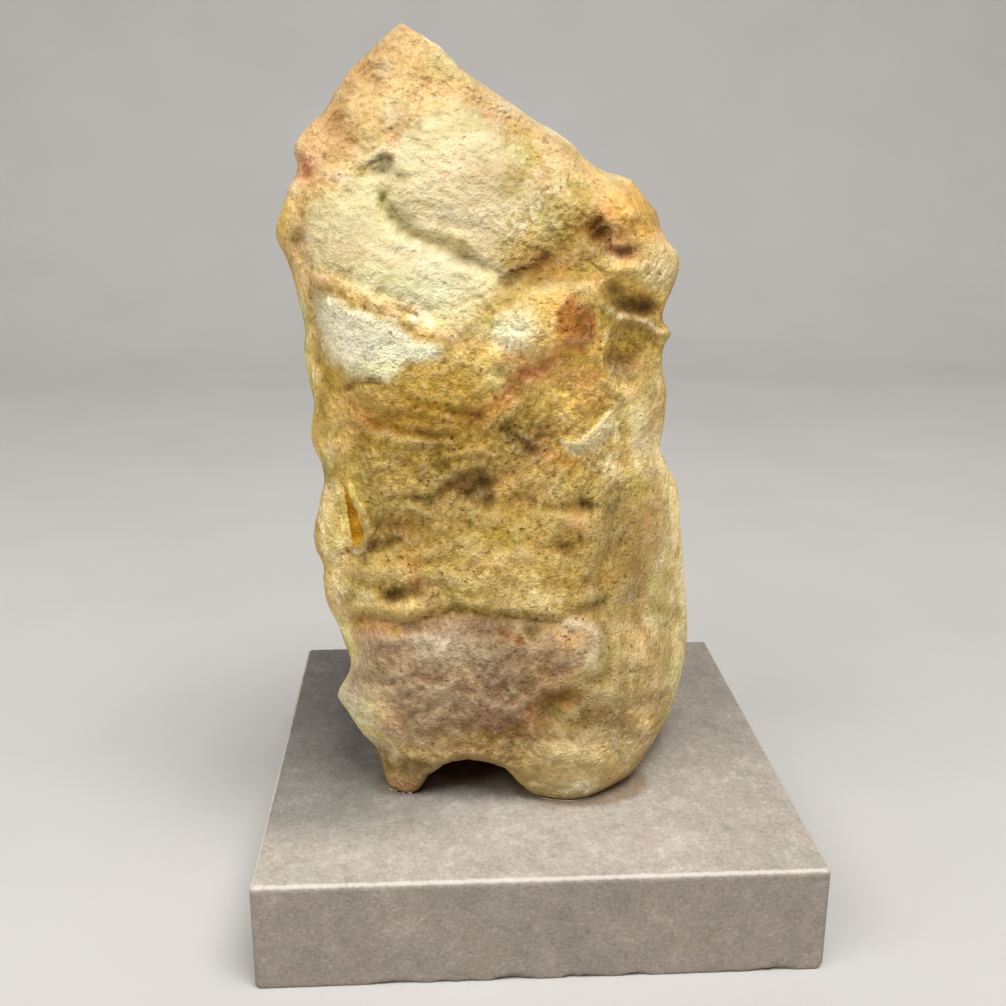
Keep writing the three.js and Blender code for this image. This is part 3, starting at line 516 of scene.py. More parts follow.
# -- deep hollow below it, its thin brim, the second hollow and the ragged upright edge
D += 1.9 * area([(604, 292), (612, 283), (630, 282), (646, 289), (657, 298), (659, 307), (651, 315), (634, 317), (618, 314), (606, 308)], 7, 1.0)
D += 1.0 * blob(632, 306, 16, 7, 8, 0.9) + 0.5 * blob(646, 309, 9, 6)
D -= 0.8 * line([(601, 301, 0.7), (607, 308), (615, 316), (628, 319), (643, 322), (658, 331), (670, 333, 0.8)], 3.4, 0.6)
D += 1.3 * area([(614, 326), (636, 325), (653, 334), (654, 346), (645, 359), (634, 367), (620, 368), (609, 360), (608, 346), (610, 332)], 8, 1.0)
D += 1.2 * blob(617, 358, 11, 7, -8, 0.8) + 0.3 * blob(626, 338, 9, 6)
D -= 0.7 * line([(616, 322), (609, 336), (606, 352), (602, 368, 1.2), (606, 382), (616, 394), (626, 398)], 4.2, 0.8)
D -= 0.7 * blob(642, 382, 14, 18) - 0.5 * blob(618, 378, 8, 6)
D += 0.4 * line([(628, 344), (636, 352), (644, 354)], 3)
# -- flake of white crust and the step down to the smooth right side
D -= 0.8 * area([(619, 404), (616, 428), (605, 440), (592, 448), (581, 459), (566, 451), (557, 439), (574, 441), (588, 434), (598, 424), (608, 412)], 4, 0.8)
D += 1.0 * line([(616, 398, 0.5), (622, 418), (626, 440), (629, 462), (628, 484), (622, 506), (615, 530), (611, 556), (609, 582), (606, 600, 0.7)], 13, 1.0)
D -= 0.7 * line([(604, 470), (606, 490), (598, 512), (592, 540), (590, 570)], 9, 1.0) + 0.9 * line([(650, 420), (655, 460), (663, 500), (668, 550), (670, 598)], 12)
D -= 0.5 * blob(644, 448, 12, 26)
D += 0.5 * blob(632, 402, 5, 4) - 0.4 * blob(626, 391, 7, 5)
D += 0.5 * line([(560, 442), (572, 449), (586, 452)], 3.4) + 0.5 * blob(563, 462, 14, 6)
# -- dimples of the yellow middle
D += 0.8 * blob(512, 435, 13, 8, 10, 1.2) + 0.8 * blob(530, 450, 9, 10, 15, 1.2) + 0.4 * blob(545, 431, 11, 9)
D += 0.4 * line([(500, 428), (515, 425), (529, 431), (542, 438), (556, 438)], 3, 1.2) * _brk
# -- dark cavity with its trail
D += 1.15 * area([(450, 495), (463, 477), (474, 471), (488, 471), (496, 484), (494, 502), (485, 509), (476, 503), (465, 501)], 9, 1.6)
D += 0.5 * line([(465, 476), (476, 471), (490, 473)], 4.0, 1.4) * _brk + 0.8 * blob(483, 483, 6, 6, 0, 1) + 0.6 * blob(486, 500, 5, 5)
D += 0.5 * line([(460, 484, 1.1), (449, 488), (440, 495), (429, 502, 1.2), (414, 498, 0.6)], 6.5, 1.8) * _brk + 0.5 * blob(443, 471, 5, 4)
D -= 0.5 * line([(462, 454), (478, 451), (494, 456)], 5, 1.2) + 0.4 * blob(455, 470, 6, 6)
D += 0.8 * _brk * line([(476, 486), (470, 496), (474, 504)], 3.4, 1.3)
# -- grey-green streak, its pores, the cavity and the red bump
D += 0.35 * area([(579, 464), (573, 480), (557, 493), (546, 504), (540, 498), (547, 484), (561, 473)], 6)
for u, v, r in ((600, 474, 2.6), (611, 470, 2.4), (611, 480, 2.2), (611, 493, 2.2), (554, 476, 2.6), (603, 489, 2.0), (594, 466, 2), (606, 461, 2)):
    D += 0.6 * blob(u, v, r, r, 0, 0.4)
D += 1.6 * blob(588, 507, 8, 6, 35, 0.9) + 0.6 * line([(582, 506), (571, 508), (559, 506), (547, 508, 0.6)], 4.2, 1.1) * _brk
D -= 1.3 * blob(584, 526, 11, 9, 20, 0.8, 2.4) + 0.5 * blob(565, 521, 12, 8)
D += 0.8 * blob(565, 547, 13, 8, 20) + 0.4 * blob(576, 540, 9, 5, -25)
# -- slit on the left, its lips, and the pebbly bulge beside it
SLIT = [(341, 481), (345, 496), (348, 512), (350, 525), (352, 538), (355.5, 548), (361, 543), (364.5, 533), (361, 523), (358.5, 513), (353, 502), (347, 490)]
D += 1.3 * area(SLIT, 2.2, 0.35)
D -= 0.40 * line([(347, 484), (357, 502), (365, 517), (369, 533), (363, 550)], 4, 0.5)
D += 0.5 * line([(337, 470), (341, 490), (344, 512), (347, 535), (350, 556)], 4.5, 0.5)
D -= 0.9 * blob(328, 535, 14, 26) + 0.5 * blob(322, 500, 8, 14)
D += 0.7 * line([(313, 562), (327, 565), (338, 557), (348, 551, 0.6)], 4) * _brk
D += 0.9 * line([(354, 553, 0.8), (364, 552, 1.3), (372, 549, 1.2), (385, 546), (398, 541, 0.7)], 6, 1.1) * _brk + 0.5 * blob(365, 564, 5, 5)
D += 0.9 * line([(378, 529), (397, 525), (420, 524)], 9) - 0.6 * line([(366, 573), (392, 578), (432, 573), (458, 580)], 9)
D -= 0.5 * blob(386, 500, 16, 14) + 0.5 * blob(440, 548, 22, 14) + 0.5 * blob(500, 560, 22, 14) - 0.5 * blob(470, 528, 20, 8, 10)
D += 0.4 * blob(528, 506, 14, 16) - 0.4 * blob(520, 582, 26, 10)
D += 0.4 * blob(352, 448, 8, 18) - 0.5 * blob(372, 464, 12, 14) + 0.4 * blob(410, 466, 14, 10)
# -- dark hole and the lit brim below
D += 1.9 * blob(393, 598, 10, 6, -4, 0.8, 2.6) + 0.6 * line([(370, 590), (384, 591), (402, 592), (425, 589)], 5, 1.2) * _brk
D -= 0.45 * line([(378, 608), (396, 610), (418, 607)], 4)
# -- ledge that parts the yellow from the mauve
SEAM = [(330, 608), (340, 612), (352, 616), (372, 618), (394, 622), (410, 622), (420, 616), (430, 612), (445, 609), (463, 608), (488, 613), (507, 616), (530, 617.5), (556, 616.5), (572, 613), (590, 607), (600, 604), (611, 612), (620, 617), (634, 615), (652, 612), (668, 609), (690, 604)]
SEAM_REACH = smooth(U, 344, 366) * (1 - 0.85 * smooth(U, 590, 622))
up, down = ledge(SEAM, 13, 15, 1.4, 4)
D += (-0.45 * up + 0.95 * down) * SEAM_REACH * (0.6 + 0.5 * _brk)
D += 0.5 * line(SEAM, 5.0, 1.6) * _brk * SEAM_REACH + 0.7 * blob(599, 607, 14, 7, -20) + 0.3 * line([(606, 612), (634, 616), (664, 610)], 8, 1.2)
D += 0.5 * line([(355, 626), (375, 630), (400, 632), (430, 627)], 5, 1.3) * _brk - 0.45 * line([(360, 636), (390, 640), (425, 636)], 6, 1.2)
# -- mauve zone
D += 0.45 * blob(365, 678, 16, 7) + 0.4 * blob(430, 650, 8, 6) + 0.4 * line([(366, 681), (380, 684), (415, 680), (440, 682)], 5, 1.3) * _brk
D += 0.5 * line([(402, 722), (420, 712), (436, 706)], 5, 1.2) * _brk + 0.6 * blob(525, 683, 8, 6, -30) + 0.4 * blob(504, 684, 6, 5)
D += 0.45 * line([(500, 634), (512, 638), (522, 642)], 5) + 0.6 * blob(532, 633, 8, 5, 25)
D += 0.4 * blob(470, 690, 10, 8) + 0.35 * blob(462, 709, 8, 6) - 0.6 * blob(486, 662, 20, 14) - 0.5 * blob(440, 652, 22, 14)
D -= 0.5 * line([(354, 664), (347, 680), (341, 695)], 5) + 0.5 * blob(372, 706, 18, 12, 20)
D += 0.4 * blob(470, 724, 22, 8) - 0.4 * blob(440, 738, 24, 8)
# -- lit edge from the left corner down to the left foot; the foot lies behind it
up, down = ledge([(338, 698), (342, 706), (352, 717), (362, 730), (373, 739), (386, 747), (396, 755), (408, 758)], 10, 26, 0.5)
D += -0.6 * up + 1.7 * down
D -= 0.35 * line([(394, 758), (396, 768), (395.5, 780), (397, 792)], 5.0, 0.4)
D += 0.25 * line([(408, 764), (410, 778), (412, 788)], 8)
# -- lobe: dimple, pale wrinkled ridge, streaks
D += 1.5 * line([(545, 712, 1.0), (555, 704, 1.3), (564, 699, 1.1), (578, 699, 0.6)], 9) + 0.4 * blob(562, 700, 6, 5)
D -= 0.8 * line([(572, 621), (588, 627), (598, 638), (599, 652), (592, 668)], 7) + 0.5 * line([(556, 622), (575, 625), (600, 627)], 6)
D += 0.7 * line([(606, 628), (610, 645), (612, 662), (604, 680)], 7) + 0.3 * blob(633, 654, 4, 4) + 0.4 * blob(585, 728, 9, 6, 30)
D += 0.3 * line([(609, 740), (617, 752), (625, 766)], 3.4, 0.6) - 0.3 * line([(613, 738), (621, 750), (629, 763)], 3.4, 0.6)
D += 0.5 * line([(645, 625), (660, 640), (668, 668), (660, 700)], 9) - 0.5 * blob(646, 652, 14, 22)
D -= 0.7 * blob(585, 760, 34, 20) + 0.4 * line([(596, 690), (630, 700), (652, 690)], 9) - 0.5 * line([(540, 728), (566, 722), (600, 716)], 9)
# -- brow of the arch
D -= 0.5 * line([(423, 776), (431, 765), (444, 757), (462, 753), (486, 753), (500, 762), (514, 776)], 6)

# -- strength of the coarse grain over the front
CREAM_FIELD = area([(302, 206), (345, 184), (388, 160), (404, 132), (428, 112), (450, 106), (480, 110), (506, 126), (530, 150), (546, 180), (540, 212), (520, 240), (506, 266), (494, 296), (476, 318), (455, 326), (420, 312), (372, 291), (335, 275), (312, 268), (300, 245)], 17, 2.0)
CREAM_FIELD = CREAM_FIELD * (1 - 0.55 * smooth(U + 0.15 * V + 10 * canvas_noise(40, 3, 91), 500, 570))
WHITE_FIELD = area([(317, 292), (334, 301), (358, 311), (390, 324), (418, 338), (440, 349), (436, 358), (414, 364), (396, 376), (374, 381), (352, 378), (334, 368), (323, 350), (318, 318)], 12, 2.6)
SMOOTH_SIDE = area([(628, 398), (662, 395), (666, 430), (668, 470), (690, 500), (690, 600), (655, 605), (640, 560), (640, 480), (628, 440)], 12)
ROUGH = 1 - 0.55 * CREAM_FIELD - 0.5 * WHITE_FIELD * (1 - CREAM_FIELD) - 0.5 * SMOOTH_SIDE
ROUGH += 0.15 * area([(340, 410), (600, 420), (612, 470), (596, 600), (345, 604), (345, 520)], 22)

_streak = canvas_noise(5.5, 3, 71, (3.4, 1.0), 33)
_wide = canvas_noise(34, 2, 70)
_lump = canvas_noise(17, 3, 72)
_sand = canvas_noise(7.5, 3, 73)
_rid = canvas_noise(12, 3, 74, fn=ridged)
D += 0.20 * _streak * np.clip(CREAM_FIELD + WHITE_FIELD * 0.8, 0, 1) + 0.60 * _wide * ROUGH
D += 0.30 * _lump * ROUGH + 0.24 * _sand * ROUGH - 0.32 * (_rid - 0.72) * ROUGH
# the arris between the front and the flank
D += 0.4 * line([(621, 404), (622, 440), (620, 478), (613, 518), (605, 556), (599, 588)], 4.5, 1.4) * _brk
# narrow crooked grooves
_rut = canvas_noise(10, 3, 78, fn=ridged)
D += 0.42 * smooth(_rut, 0.80, 0.97) * ROUGH
# small pits, thickest in the yellow middle
_f1, _f2, _who = on_canvas(cells, 10.5, seed=75)
_f1, _who = _f1.reshape(NV, NU), _who.reshape(NV, NU)
_pit = np.exp(-(_f1 / 0.24) ** 2) * (_who > 0.45)
PITTED = np.clip(area([(345, 425), (600, 420), (612, 470), (600, 600), (350, 600), (352, 520)], 25) + 0.2, 0, 1)
D += 0.2 * _pit * PITTED * (1 - 0.6 * CREAM_FIELD)
_f1b, _, _whob = on_canvas(cells, 5.6, seed=76)
_pit2 = np.exp(-(_f1b.reshape(NV, NU) / 0.3) ** 2) * (_whob.reshape(NV, NU) > 0.5)
D += 0.09 * _pit2 * PITTED

FRONT_Y = (RELIEF + D).astype(np.float32)

# ---------------------------------------------------------------------------
# The specimen's surface
# ---------------------------------------------------------------------------
MAPS = np.stack([EDGE, SOFT, RIM_MAP, BEND_MAP, RELIEF], -1).astype(np.float32)


def sample(maps, u, v):
    fu = np.clip(u - U0, 0, NU - 1.001)
    fv = np.clip(v - V0, 0, NV - 1.001)
    iu, iv = fu.astype(int), fv.astype(int)
    fu, fv = (fu - iu)[:, None], (fv - iv)[:, None]
    if maps.ndim == 2:
        maps = maps[..., None]
    a = maps[iv, iu] * (1 - fu) + maps[iv, iu + 1] * fu
    b = maps[iv + 1, iu] * (1 - fu) + maps[iv + 1, iu + 1] * fu
    return a * (1 - fv) + b * fv


def swell(p):
    x, y, z = p.T
    return (0.9 * np.sin(0.11 * x + 0.07 * z + 1.1) * np.sin(0.093 * z - 0.08 * x + 0.4)
            + 0.5 * np.sin(0.17 * z + 0.12 * y + 2.3) * np.sin(0.21 * x - 0.11 * y + 0.7)
            + 0.25 * np.sin(0.31 * x + 0.13 * z) * np.sin(0.27 * z - 0.22 * x + 1.9))


def field(p):
    u, v = to_px(p)
    m = sample(MAPS, u, v)
    y = p[:, 1]
    s = -EYE[1] / (y - EYE[1])
    off = y - m[:, 2]
    near = np.exp(-(off / RIM_REACH) ** 2)
    f = (m[:, 0] * near + m[:, 1] * (1 - near)) / s + off * off * m[:, 3]
    f = smooth_max(f, m[:, 4] - y, EDGE_ROUNDING)
    wave = swell(p)
    for q, n, k in BACK:
        n = np.array(n) / np.linalg.norm(n)
        f = smooth_max(f, (p - np.array(q)) @ n + wave, k)
    for c, r in ARCHES:
        q = np.sqrt((((p - np.array(c)) / np.array(r)) ** 2).sum(1))
        f = smooth_max(f, (1 - q) * min(r), 1.5)
    return smooth_max(f, FOOT_LEVEL - p[:, 2], 0.6)


def gradient(p, f, e=0.05):
    g = np.empty_like(p)
    for k in range(3):
        q = p.copy()
        q[:, k] += e
        g[:, k] = (field(q) - f) / e
    return g


def settle(p, steps):
    """Moves points onto the surface and returns them with its unit normals."""
    for _ in range(steps):
        f = field(p)
        g = gradient(p, f)
        g2 = np.maximum((g * g).sum(1), 0.25)
        q = f / g2
        step = np.minimum(1, 1.2 / (np.abs(q) * np.sqrt(g2) + 1e-9))
        p = p - g * (q * step)[:, None]
    return p, g / np.sqrt(g2)[:, None]


def edges_of(tris):
    e = np.sort(np.concatenate([tris[:, [0, 1]], tris[:, [1, 2]], tris[:, [2, 0]]]), axis=1)
    key = e[:, 0].astype(np.int64) * (tris.max() + 1) + e[:, 1]
    _, first, inverse = np.unique(key, return_index=True, return_inverse=True)
    return e[first], inverse.reshape(3, -1).T


def neighbour_mean(p, edges):
    out = np.empty_like(p)
    n = len(p)
    deg = np.bincount(edges.ravel(), minlength=n)
    for k in range(3):
        out[:, k] = (np.bincount(edges[:, 0], p[edges[:, 1], k], n)
                     + np.bincount(edges[:, 1], p[edges[:, 0], k], n)) / deg
    return out


def refine(p, tris, marked):
    """Splits marked triangles in four and their neighbours to match."""
    edges, of_tri = edges_of(tris)
    while True:
        cut = np.zeros(len(edges), bool)
        cut[of_tri[marked].ravel()] = True
        n_cut = cut[of_tri].sum(1)
        grow = (n_cut >= 2) & ~marked
        if not grow.any():
            break
        marked = marked | grow
    mid = np.full(len(edges), -1)
    mid[cut] = len(p) + np.arange(cut.sum())
    p = np.concatenate([p, p[edges[cut]].mean(1)])
    m = mid[of_tri]
    a, b, c = tris[marked].T
    ab, bc, ca = m[marked].T
    out = [np.stack(t, 1) for t in ((a, ab, ca), (ab, b, bc), (ca, bc, c), (ab, bc, ca))]
    rest = tris[~marked]
    mr = m[~marked]
    one = (mr >= 0).sum(1) == 1
    out.append(rest[~one])
    rest, mr = rest[one], mr[one]
    k = mr.argmax(1)
    i = np.arange(len(rest))
    a, b, c = rest[i, k], rest[i, (k + 1) % 3], rest[i, (k + 2) % 3]
    x = mr[i, k]
    out += [np.stack((a, x, c), 1), np.stack((x, b, c), 1)]
    return p, np.concatenate(out)


def vertex_normals(p, tris):
    n = np.cross(p[tris[:, 1]] - p[tris[:, 0]], p[tris[:, 2]] - p[tris[:, 0]])
    out = np.zeros_like(p)
    for k in range(3):
        for j in range(3):
            out[:, j] += np.bincount(tris[:, k], n[:, j], len(p))
    return out / (np.linalg.norm(out, axis=1, keepdims=True) + 1e-12)


TIPS = [
    (402, 23.5, 0.2), (440, 47, 1.5), (291.5, 146, -2), (288, 187, -2.5), (275, 232, -3), (636, 182, 2),
    (671, 333, 0.5), (678.5, 262, 1), (339, 695, -11), (348, 645, -9), (315, 543, -6), (386, 786, -15.5),
    (396, 794.5, -19.5), (410, 794, -19), (425, 780, -20), (441, 768, -20), (470, 760, -22), (504, 768, -22),
    (516, 780, -22.5), (537, 794, -22), (553, 797, -22.5), (571, 800, -23), (590, 795, -22), (610, 786, -20),
    (630, 773, -17), (656, 737, -12), (680, 676, -3), (686.5, 620, 1.5), (480, 84, 2.5), (545, 126, 3), (590, 164, 3),
    (311, 121.6, -1.5), (333, 93.6, -0.5), (363, 57, 0), (640.6, 190.4, 2), (656, 210, 1.5), (658.8, 445, 3),
    (325, 484, -5), (321, 559, -6.5), (666, 389, 2), (665, 306, 1), (677, 251.5, 1),
]


def sight_point(u, v, y):
    x, z = on_plane(np.array([float(u)]), np.array([float(v)]))
    s = (y - EYE[1]) / (0 - EYE[1])
    return np.array([EYE[0] + (x[0] - EYE[0]) * s, y, EYE[2] + (z[0] - EYE[2]) * s])


def wrap():
    bm = bmesh.new()
    bmesh.ops.create_icosphere(bm, subdivisions=7, radius=1.0)
    d = np.array([v.co for v in bm.verts], float)
    tris = np.array([[v.index for v in f.verts] for f in bm.faces])
    bm.free()
    centre = np.array([-6.0, -3.0, 86.0])
    d = d * np.array([34.0, 21.0, 66.0])
    d /= np.linalg.norm(d, axis=1, keepdims=True)
    lo = np.zeros(len(d))
    hi = np.zeros(len(d))
    live = np.ones(len(d), bool)
    while live.any() and hi.max() < 120:
        lo[live] = hi[live]
        hi[live] += 1.5
        live[live] = field(centre + d[live] * hi[live, None]) < 0
    for _ in range(14):
        m = (lo + hi) / 2
        neg = field(centre + d * m[:, None]) < 0
        lo, hi = np.where(neg, m, lo), np.where(neg, hi, m)
    p = centre + d * lo[:, None]
    p, n = settle(p, 1)
    pinned = np.zeros(len(p), bool)
    for u, v, y in TIPS:
        t = sight_point(u, v, y)
        dist = ((p - t) ** 2).sum(1) + 1e6 * pinned
        i = int(dist.argmin())
        p[i] = t
        pinned[i] = True
    p[pinned], n[pinned] = settle(p[pinned], 12)
    edges, _ = edges_of(tris)

    def relax(p, n, edges, rounds, rate=0.6):
        for _ in range(rounds):
            step = neighbour_mean(p, edges) - p
            step -= n * (step * n).sum(1, keepdims=True)
            step[pinned] = 0
            p, n = settle(p + rate * step, 1)
        return p, n

    p, n = relax(p, n, edges, 45)
    for _ in range(1):
        u, v = to_px(p)
        facing = ((EYE - p) * n).sum(1) / np.linalg.norm(EYE - p, axis=1)
        want = (facing > 0.08) & (p[:, 2] > FOOT_LEVEL + 0.2)
        marked = want[tris].sum(1) >= 2
        m0 = len(p)
        p, tris = refine(p, tris, marked)
        pinned = np.concatenate([pinned, np.zeros(len(p) - m0, bool)])
        p, n = settle(p, 2)
        edges, _ = edges_of(tris)
        p, n = relax(p, n, edges, 10, 0.5)
    p, n = settle(p, 3)
    return p, tris, n


P, TRIS, N = wrap()

# ---------------------------------------------------------------------------
# Fine relief: drawn features along the line of sight, grain along the normal
# ---------------------------------------------------------------------------
def detail(p, n):
    u, v = to_px(p)
    relief = sample(RELIEF, u, v)[:, 0]
    rim = sample(RIM_MAP, u, v)[:, 0]
    front = np.exp(-((p[:, 1] - relief) / 1.7) ** 2)
    depth = sample(D, u, v)[:, 0] * front
    p = EYE + (p - EYE) * ((p[:, 1] + depth - EYE[1]) / (p[:, 1] - EYE[1]))[:, None]

    behind = smooth(p[:, 1] - rim, 0.5, 6.5)
    seen = front * (1 - behind)
    # flanks and back: broken facets, ripples along the grain, pits
    q = p * np.array([1, 1, 0.62])
    rock = (1.5 * fbm(q / 15, 3, 11) + 0.55 * (ridged(q / 7.5, 3, 12) - 0.72) * -2.2
            + 0.28 * fbm(p / 2.6, 3, 13))
    f1, f2, who = cells((p + 1.6 * np.stack([perlin(p / 6, 14), perlin(p / 6, 15), perlin(p / 6, 16)], 1)) / np.array([9.0, 9.0, 13.0]), 17)
    rock += 0.95 * (who - 0.5) * smooth(f2 - f1, 0.03, 0.16) - 0.55 * np.exp(-((f2 - f1) / 0.05) ** 2)
    c1, _, cw = cells(p / 5.2, 18)
    rock -= 1.3 * np.exp(-(c1 / 0.24) ** 2) * (cw > 0.62)
    c1, _, cw = cells(p / 2.4, 19)
    rock -= 0.4 * np.exp(-(c1 / 0.26) ** 2) * (cw > 0.6)
    # front: sand and small lumps between the drawn features
    rough = sample(ROUGH, u, v)[:, 0]
    grain = 0.17 * fbm(p / 1.7, 2, 21) + 0.20 * fbm(p / 3.8, 2, 22) - 0.22 * (ridged(p / 2.8, 2, 23) - 0.72)
    low = smooth(p[:, 2], 20.2, 23.0)
    lift = behind * rock * 0.85 + (1 - behind) * grain * rough
    # in front of the rim, outward lift is cut to a quarter, to keep edges near the drawn outline
    lift = np.where(lift > 0, lift * (0.25 + 0.75 * smooth(behind, 0.2, 1)), lift)
    p = p + n * (lift * low)[:, None]
    p[:, 2] = np.clip(p[:, 2], FOOT_LEVEL, 157.86)
    return p, seen, behind


P, SEEN, BEHIND = detail(P, N)
N = vertex_normals(P, TRIS)
EDGES, _ = edges_of(TRIS)

# hollowness: how far a point lies under (+) or over (-) the surface around it
_s1 = P.copy()
for _ in range(10):
    _s1 = _s1 + 0.8 * (neighbour_mean(_s1, EDGES) - _s1)
_s2 = _s1.copy()
for _ in range(45):
    _s2 = _s2 + 0.8 * (neighbour_mean(_s2, EDGES) - _s2)
FINE = ((_s1 - P) * N).sum(1)
WIDE = ((_s2 - _s1) * N).sum(1)

# ---------------------------------------------------------------------------
# Where each mineral shows on the front. Every mask is drawn from outlines,
# strokes and spots, 0 to 1; the materials break up their borders.
# ---------------------------------------------------------------------------
M = {}


def most(*maps):
    out = maps[0]
    for m in maps[1:]:
        out = np.maximum(out, m)
    return out


def plus(*maps):
    out = maps[0]
    for m in maps[1:]:
        out = out + m
    return np.clip(out, 0, 1)


M["tan"] = most(
    area([(612, 176), (590, 184), (566, 172), (548, 160), (524, 140), (492, 118), (452, 108), (424, 112), (404, 128), (386, 150),
          (362, 168), (345, 182), (320, 194), (302, 206), (290, 250), (236, 262), (236, 4), (700, 4), (700, 176)], 16, 1.8),
    0.9 * area([(590, 182), (640, 168), (672, 210), (660, 244), (625, 252), (600, 240)], 11, 1.5),
    0.9 * area([(262, 190), (298, 196), (308, 226), (302, 258), (280, 266), (258, 236)], 11, 1.5),
    0.6 * line([(296, 260), (303, 300), (310, 345), (316, 385), (314, 420)], 9),
    0.9 * line([(304, 271), (336, 283), (366, 297), (398, 311), (421, 321), (444, 332), (465, 343)], 8, 1.3),
    0.5 * area([(520, 120), (592, 170), (590, 210), (556, 232), (528, 214), (540, 180)], 16, 1.6))
M["cream"] = np.clip(CREAM_FIELD, 0, 1)
M["white"] = most(
    WHITE_FIELD,
    0.72 * area([(491, 328), (501, 314), (519, 307), (534, 313), (538, 330), (528, 345), (510, 350), (494, 344)], 13, 1.2),
    0.45 * blob(384, 66, 14, 12), 0.55 * blob(391, 115, 8, 8), 0.6 * blob(354, 178, 10, 5), 0.5 * blob(292, 187, 7, 5), 0.4 * blob(430, 290, 34, 20, 25))
M["ochre"] = most(
    0.9 * area([(344, 392), (367, 386), (395, 378), (428, 370), (452, 366), (474, 372), (484, 390), (476, 410), (452, 414), (425, 413), (400, 414), (378, 408), (356, 402)], 12, 2.0),
    0.4 * area([(433, 361), (448, 352), (480, 352), (502, 353), (520, 362), (506, 382), (480, 392), (450, 384)], 12, 2.0),
    0.55 * area([(536, 296), (562, 283), (595, 286), (602, 306), (596, 345), (570, 362), (548, 364), (550, 330)], 12, 1.5),
    0.5 * area([(320, 400), (345, 396), (352, 420), (350, 470), (345, 520), (330, 500), (318, 440)], 12, 1.5),
    0.5 * area([(370, 440), (420, 446), (450, 460), (420, 480), (380, 476), (356, 460)], 14, 1.5))
M["mauve"] = most(
    area([(350, 624), (372, 620), (394, 625), (420, 620), (445, 614), (470, 614), (507, 621), (530, 622), (566, 620), (588, 624), (600, 642),
          (598, 660), (585, 672), (562, 682), (545, 700), (534, 714), (516, 722), (496, 728), (468, 734), (440, 740), (412, 742), (388, 738),
          (366, 724), (350, 708), (340, 694), (348, 672), (356, 655), (352, 636)], 10, 1.8),
    0.5 * area([(560, 616), (598, 618), (612, 640), (606, 662), (586, 668), (575, 650)], 10, 1.5))
M["lobe"] = most(
    area([(604, 622), (690, 612), (700, 650), (690, 720), (660, 770), (600, 812), (540, 808), (505, 776), (480, 748), (510, 730), (540, 708),
          (572, 682), (600, 664), (612, 640)], 14, 1.8),
    area([(352, 738), (398, 744), (440, 746), (490, 738), (500, 764), (444, 772), (424, 806), (370, 806)], 9))
# pale patches, partly painted highlight along lit lips and the lit edge down to the left foot
M["pale"] = most(
    0.95 * area([(620, 403), (617, 429), (605, 441), (592, 449), (581, 460), (566, 452), (556, 439), (574, 440), (588, 433), (598, 423), (608, 411)], 4, 0.8),
    0.8 * area([(630, 398), (660, 395), (672, 440), (668, 476), (642, 480), (630, 460), (626, 425)], 12, 1.5),
    0.95 * area([(602, 250), (640, 240), (676, 238), (690, 262), (674, 290), (650, 290), (634, 272), (604, 266)], 8, 1.4),
    0.6 * area([(612, 362), (658, 340), (664, 400), (628, 404), (612, 384)], 9, 1.4),
    0.75 * line([(668, 440), (678, 500), (683, 560), (686, 612)], 11),
    0.6 * area([(556, 742), (600, 726), (640, 722), (648, 752), (600, 786), (556, 780)], 15, 1.5),
    0.65 * line([(342, 700), (352, 714), (362, 728), (373, 738), (386, 745), (396, 752), (420, 752), (446, 746)], 8),
    0.6 * line([(574, 620), (592, 630), (600, 645), (596, 662)], 7),
    0.6 * area([(588, 454), (614, 448), (628, 470), (616, 488), (594, 482)], 9, 1.5),
    0.7 * line([(524, 300), (540, 291), (560, 284), (592, 289)], 11), 0.55 * area([(500, 312), (530, 294), (560, 290), (556, 330), (548, 352), (512, 356), (494, 336)], 14, 1.5),
    0.6 * area([(316, 480), (338, 484), (346, 520), (346, 560), (330, 600), (320, 560)], 12, 1.5), 0.5 * line([(330, 590), (400, 606), (470, 600), (560, 602)], 9, 1.6), 0.55 * blob(430, 588, 30, 10, 10), 0.5 * blob(556, 586, 24, 10), 0.5 * blob(500, 560, 26, 14), 0.5 * blob(525, 582, 36, 14), 0.4 * blob(470, 530, 26, 10), 0.4 * blob(390, 500, 20, 18), 0.35 * blob(430, 452, 40, 10),
    0.45 * blob(330, 540, 14, 24), 0.4 * line([(480, 342), (500, 350), (524, 350)], 8), 0.5 * line([(606, 392), (632, 396), (640, 420)], 8))
M["green"] = most(
    0.9 * line([(385, 192), (390, 208), (402, 224), (420, 234), (446, 244), (474, 252)], 9, 1.2),
    0.5 * line([(402, 200), (430, 216), (470, 234), (506, 244)], 16, 1.4),
    0.5 * area([(430, 102), (470, 106), (486, 122), (470, 140), (430, 136)], 13, 1.5),
    0.5 * area([(312, 498), (342, 505), (350, 545), (338, 566), (314, 560)], 12),
    0.75 * area([(578, 466), (572, 480), (556, 492), (545, 504), (540, 498), (548, 485), (560, 474)], 6),
    0.7 * blob(457, 112, 5, 3.5), 0.7 * blob(468, 115, 5, 3.5), 0.85 * blob(400, 178, 10, 5, 20), 0.5 * blob(544, 431, 12, 9),
    0.5 * line([(515, 272), (540, 262), (560, 250), (580, 240)], 11), 0.4 * line([(556, 437), (562, 443)], 4),
    0.45 * blob(316, 214, 12, 20), 0.4 * blob(440, 470, 30, 12), 0.7 * blob(383, 162, 14, 9), 0.12 * blob(560, 212, 26, 16))
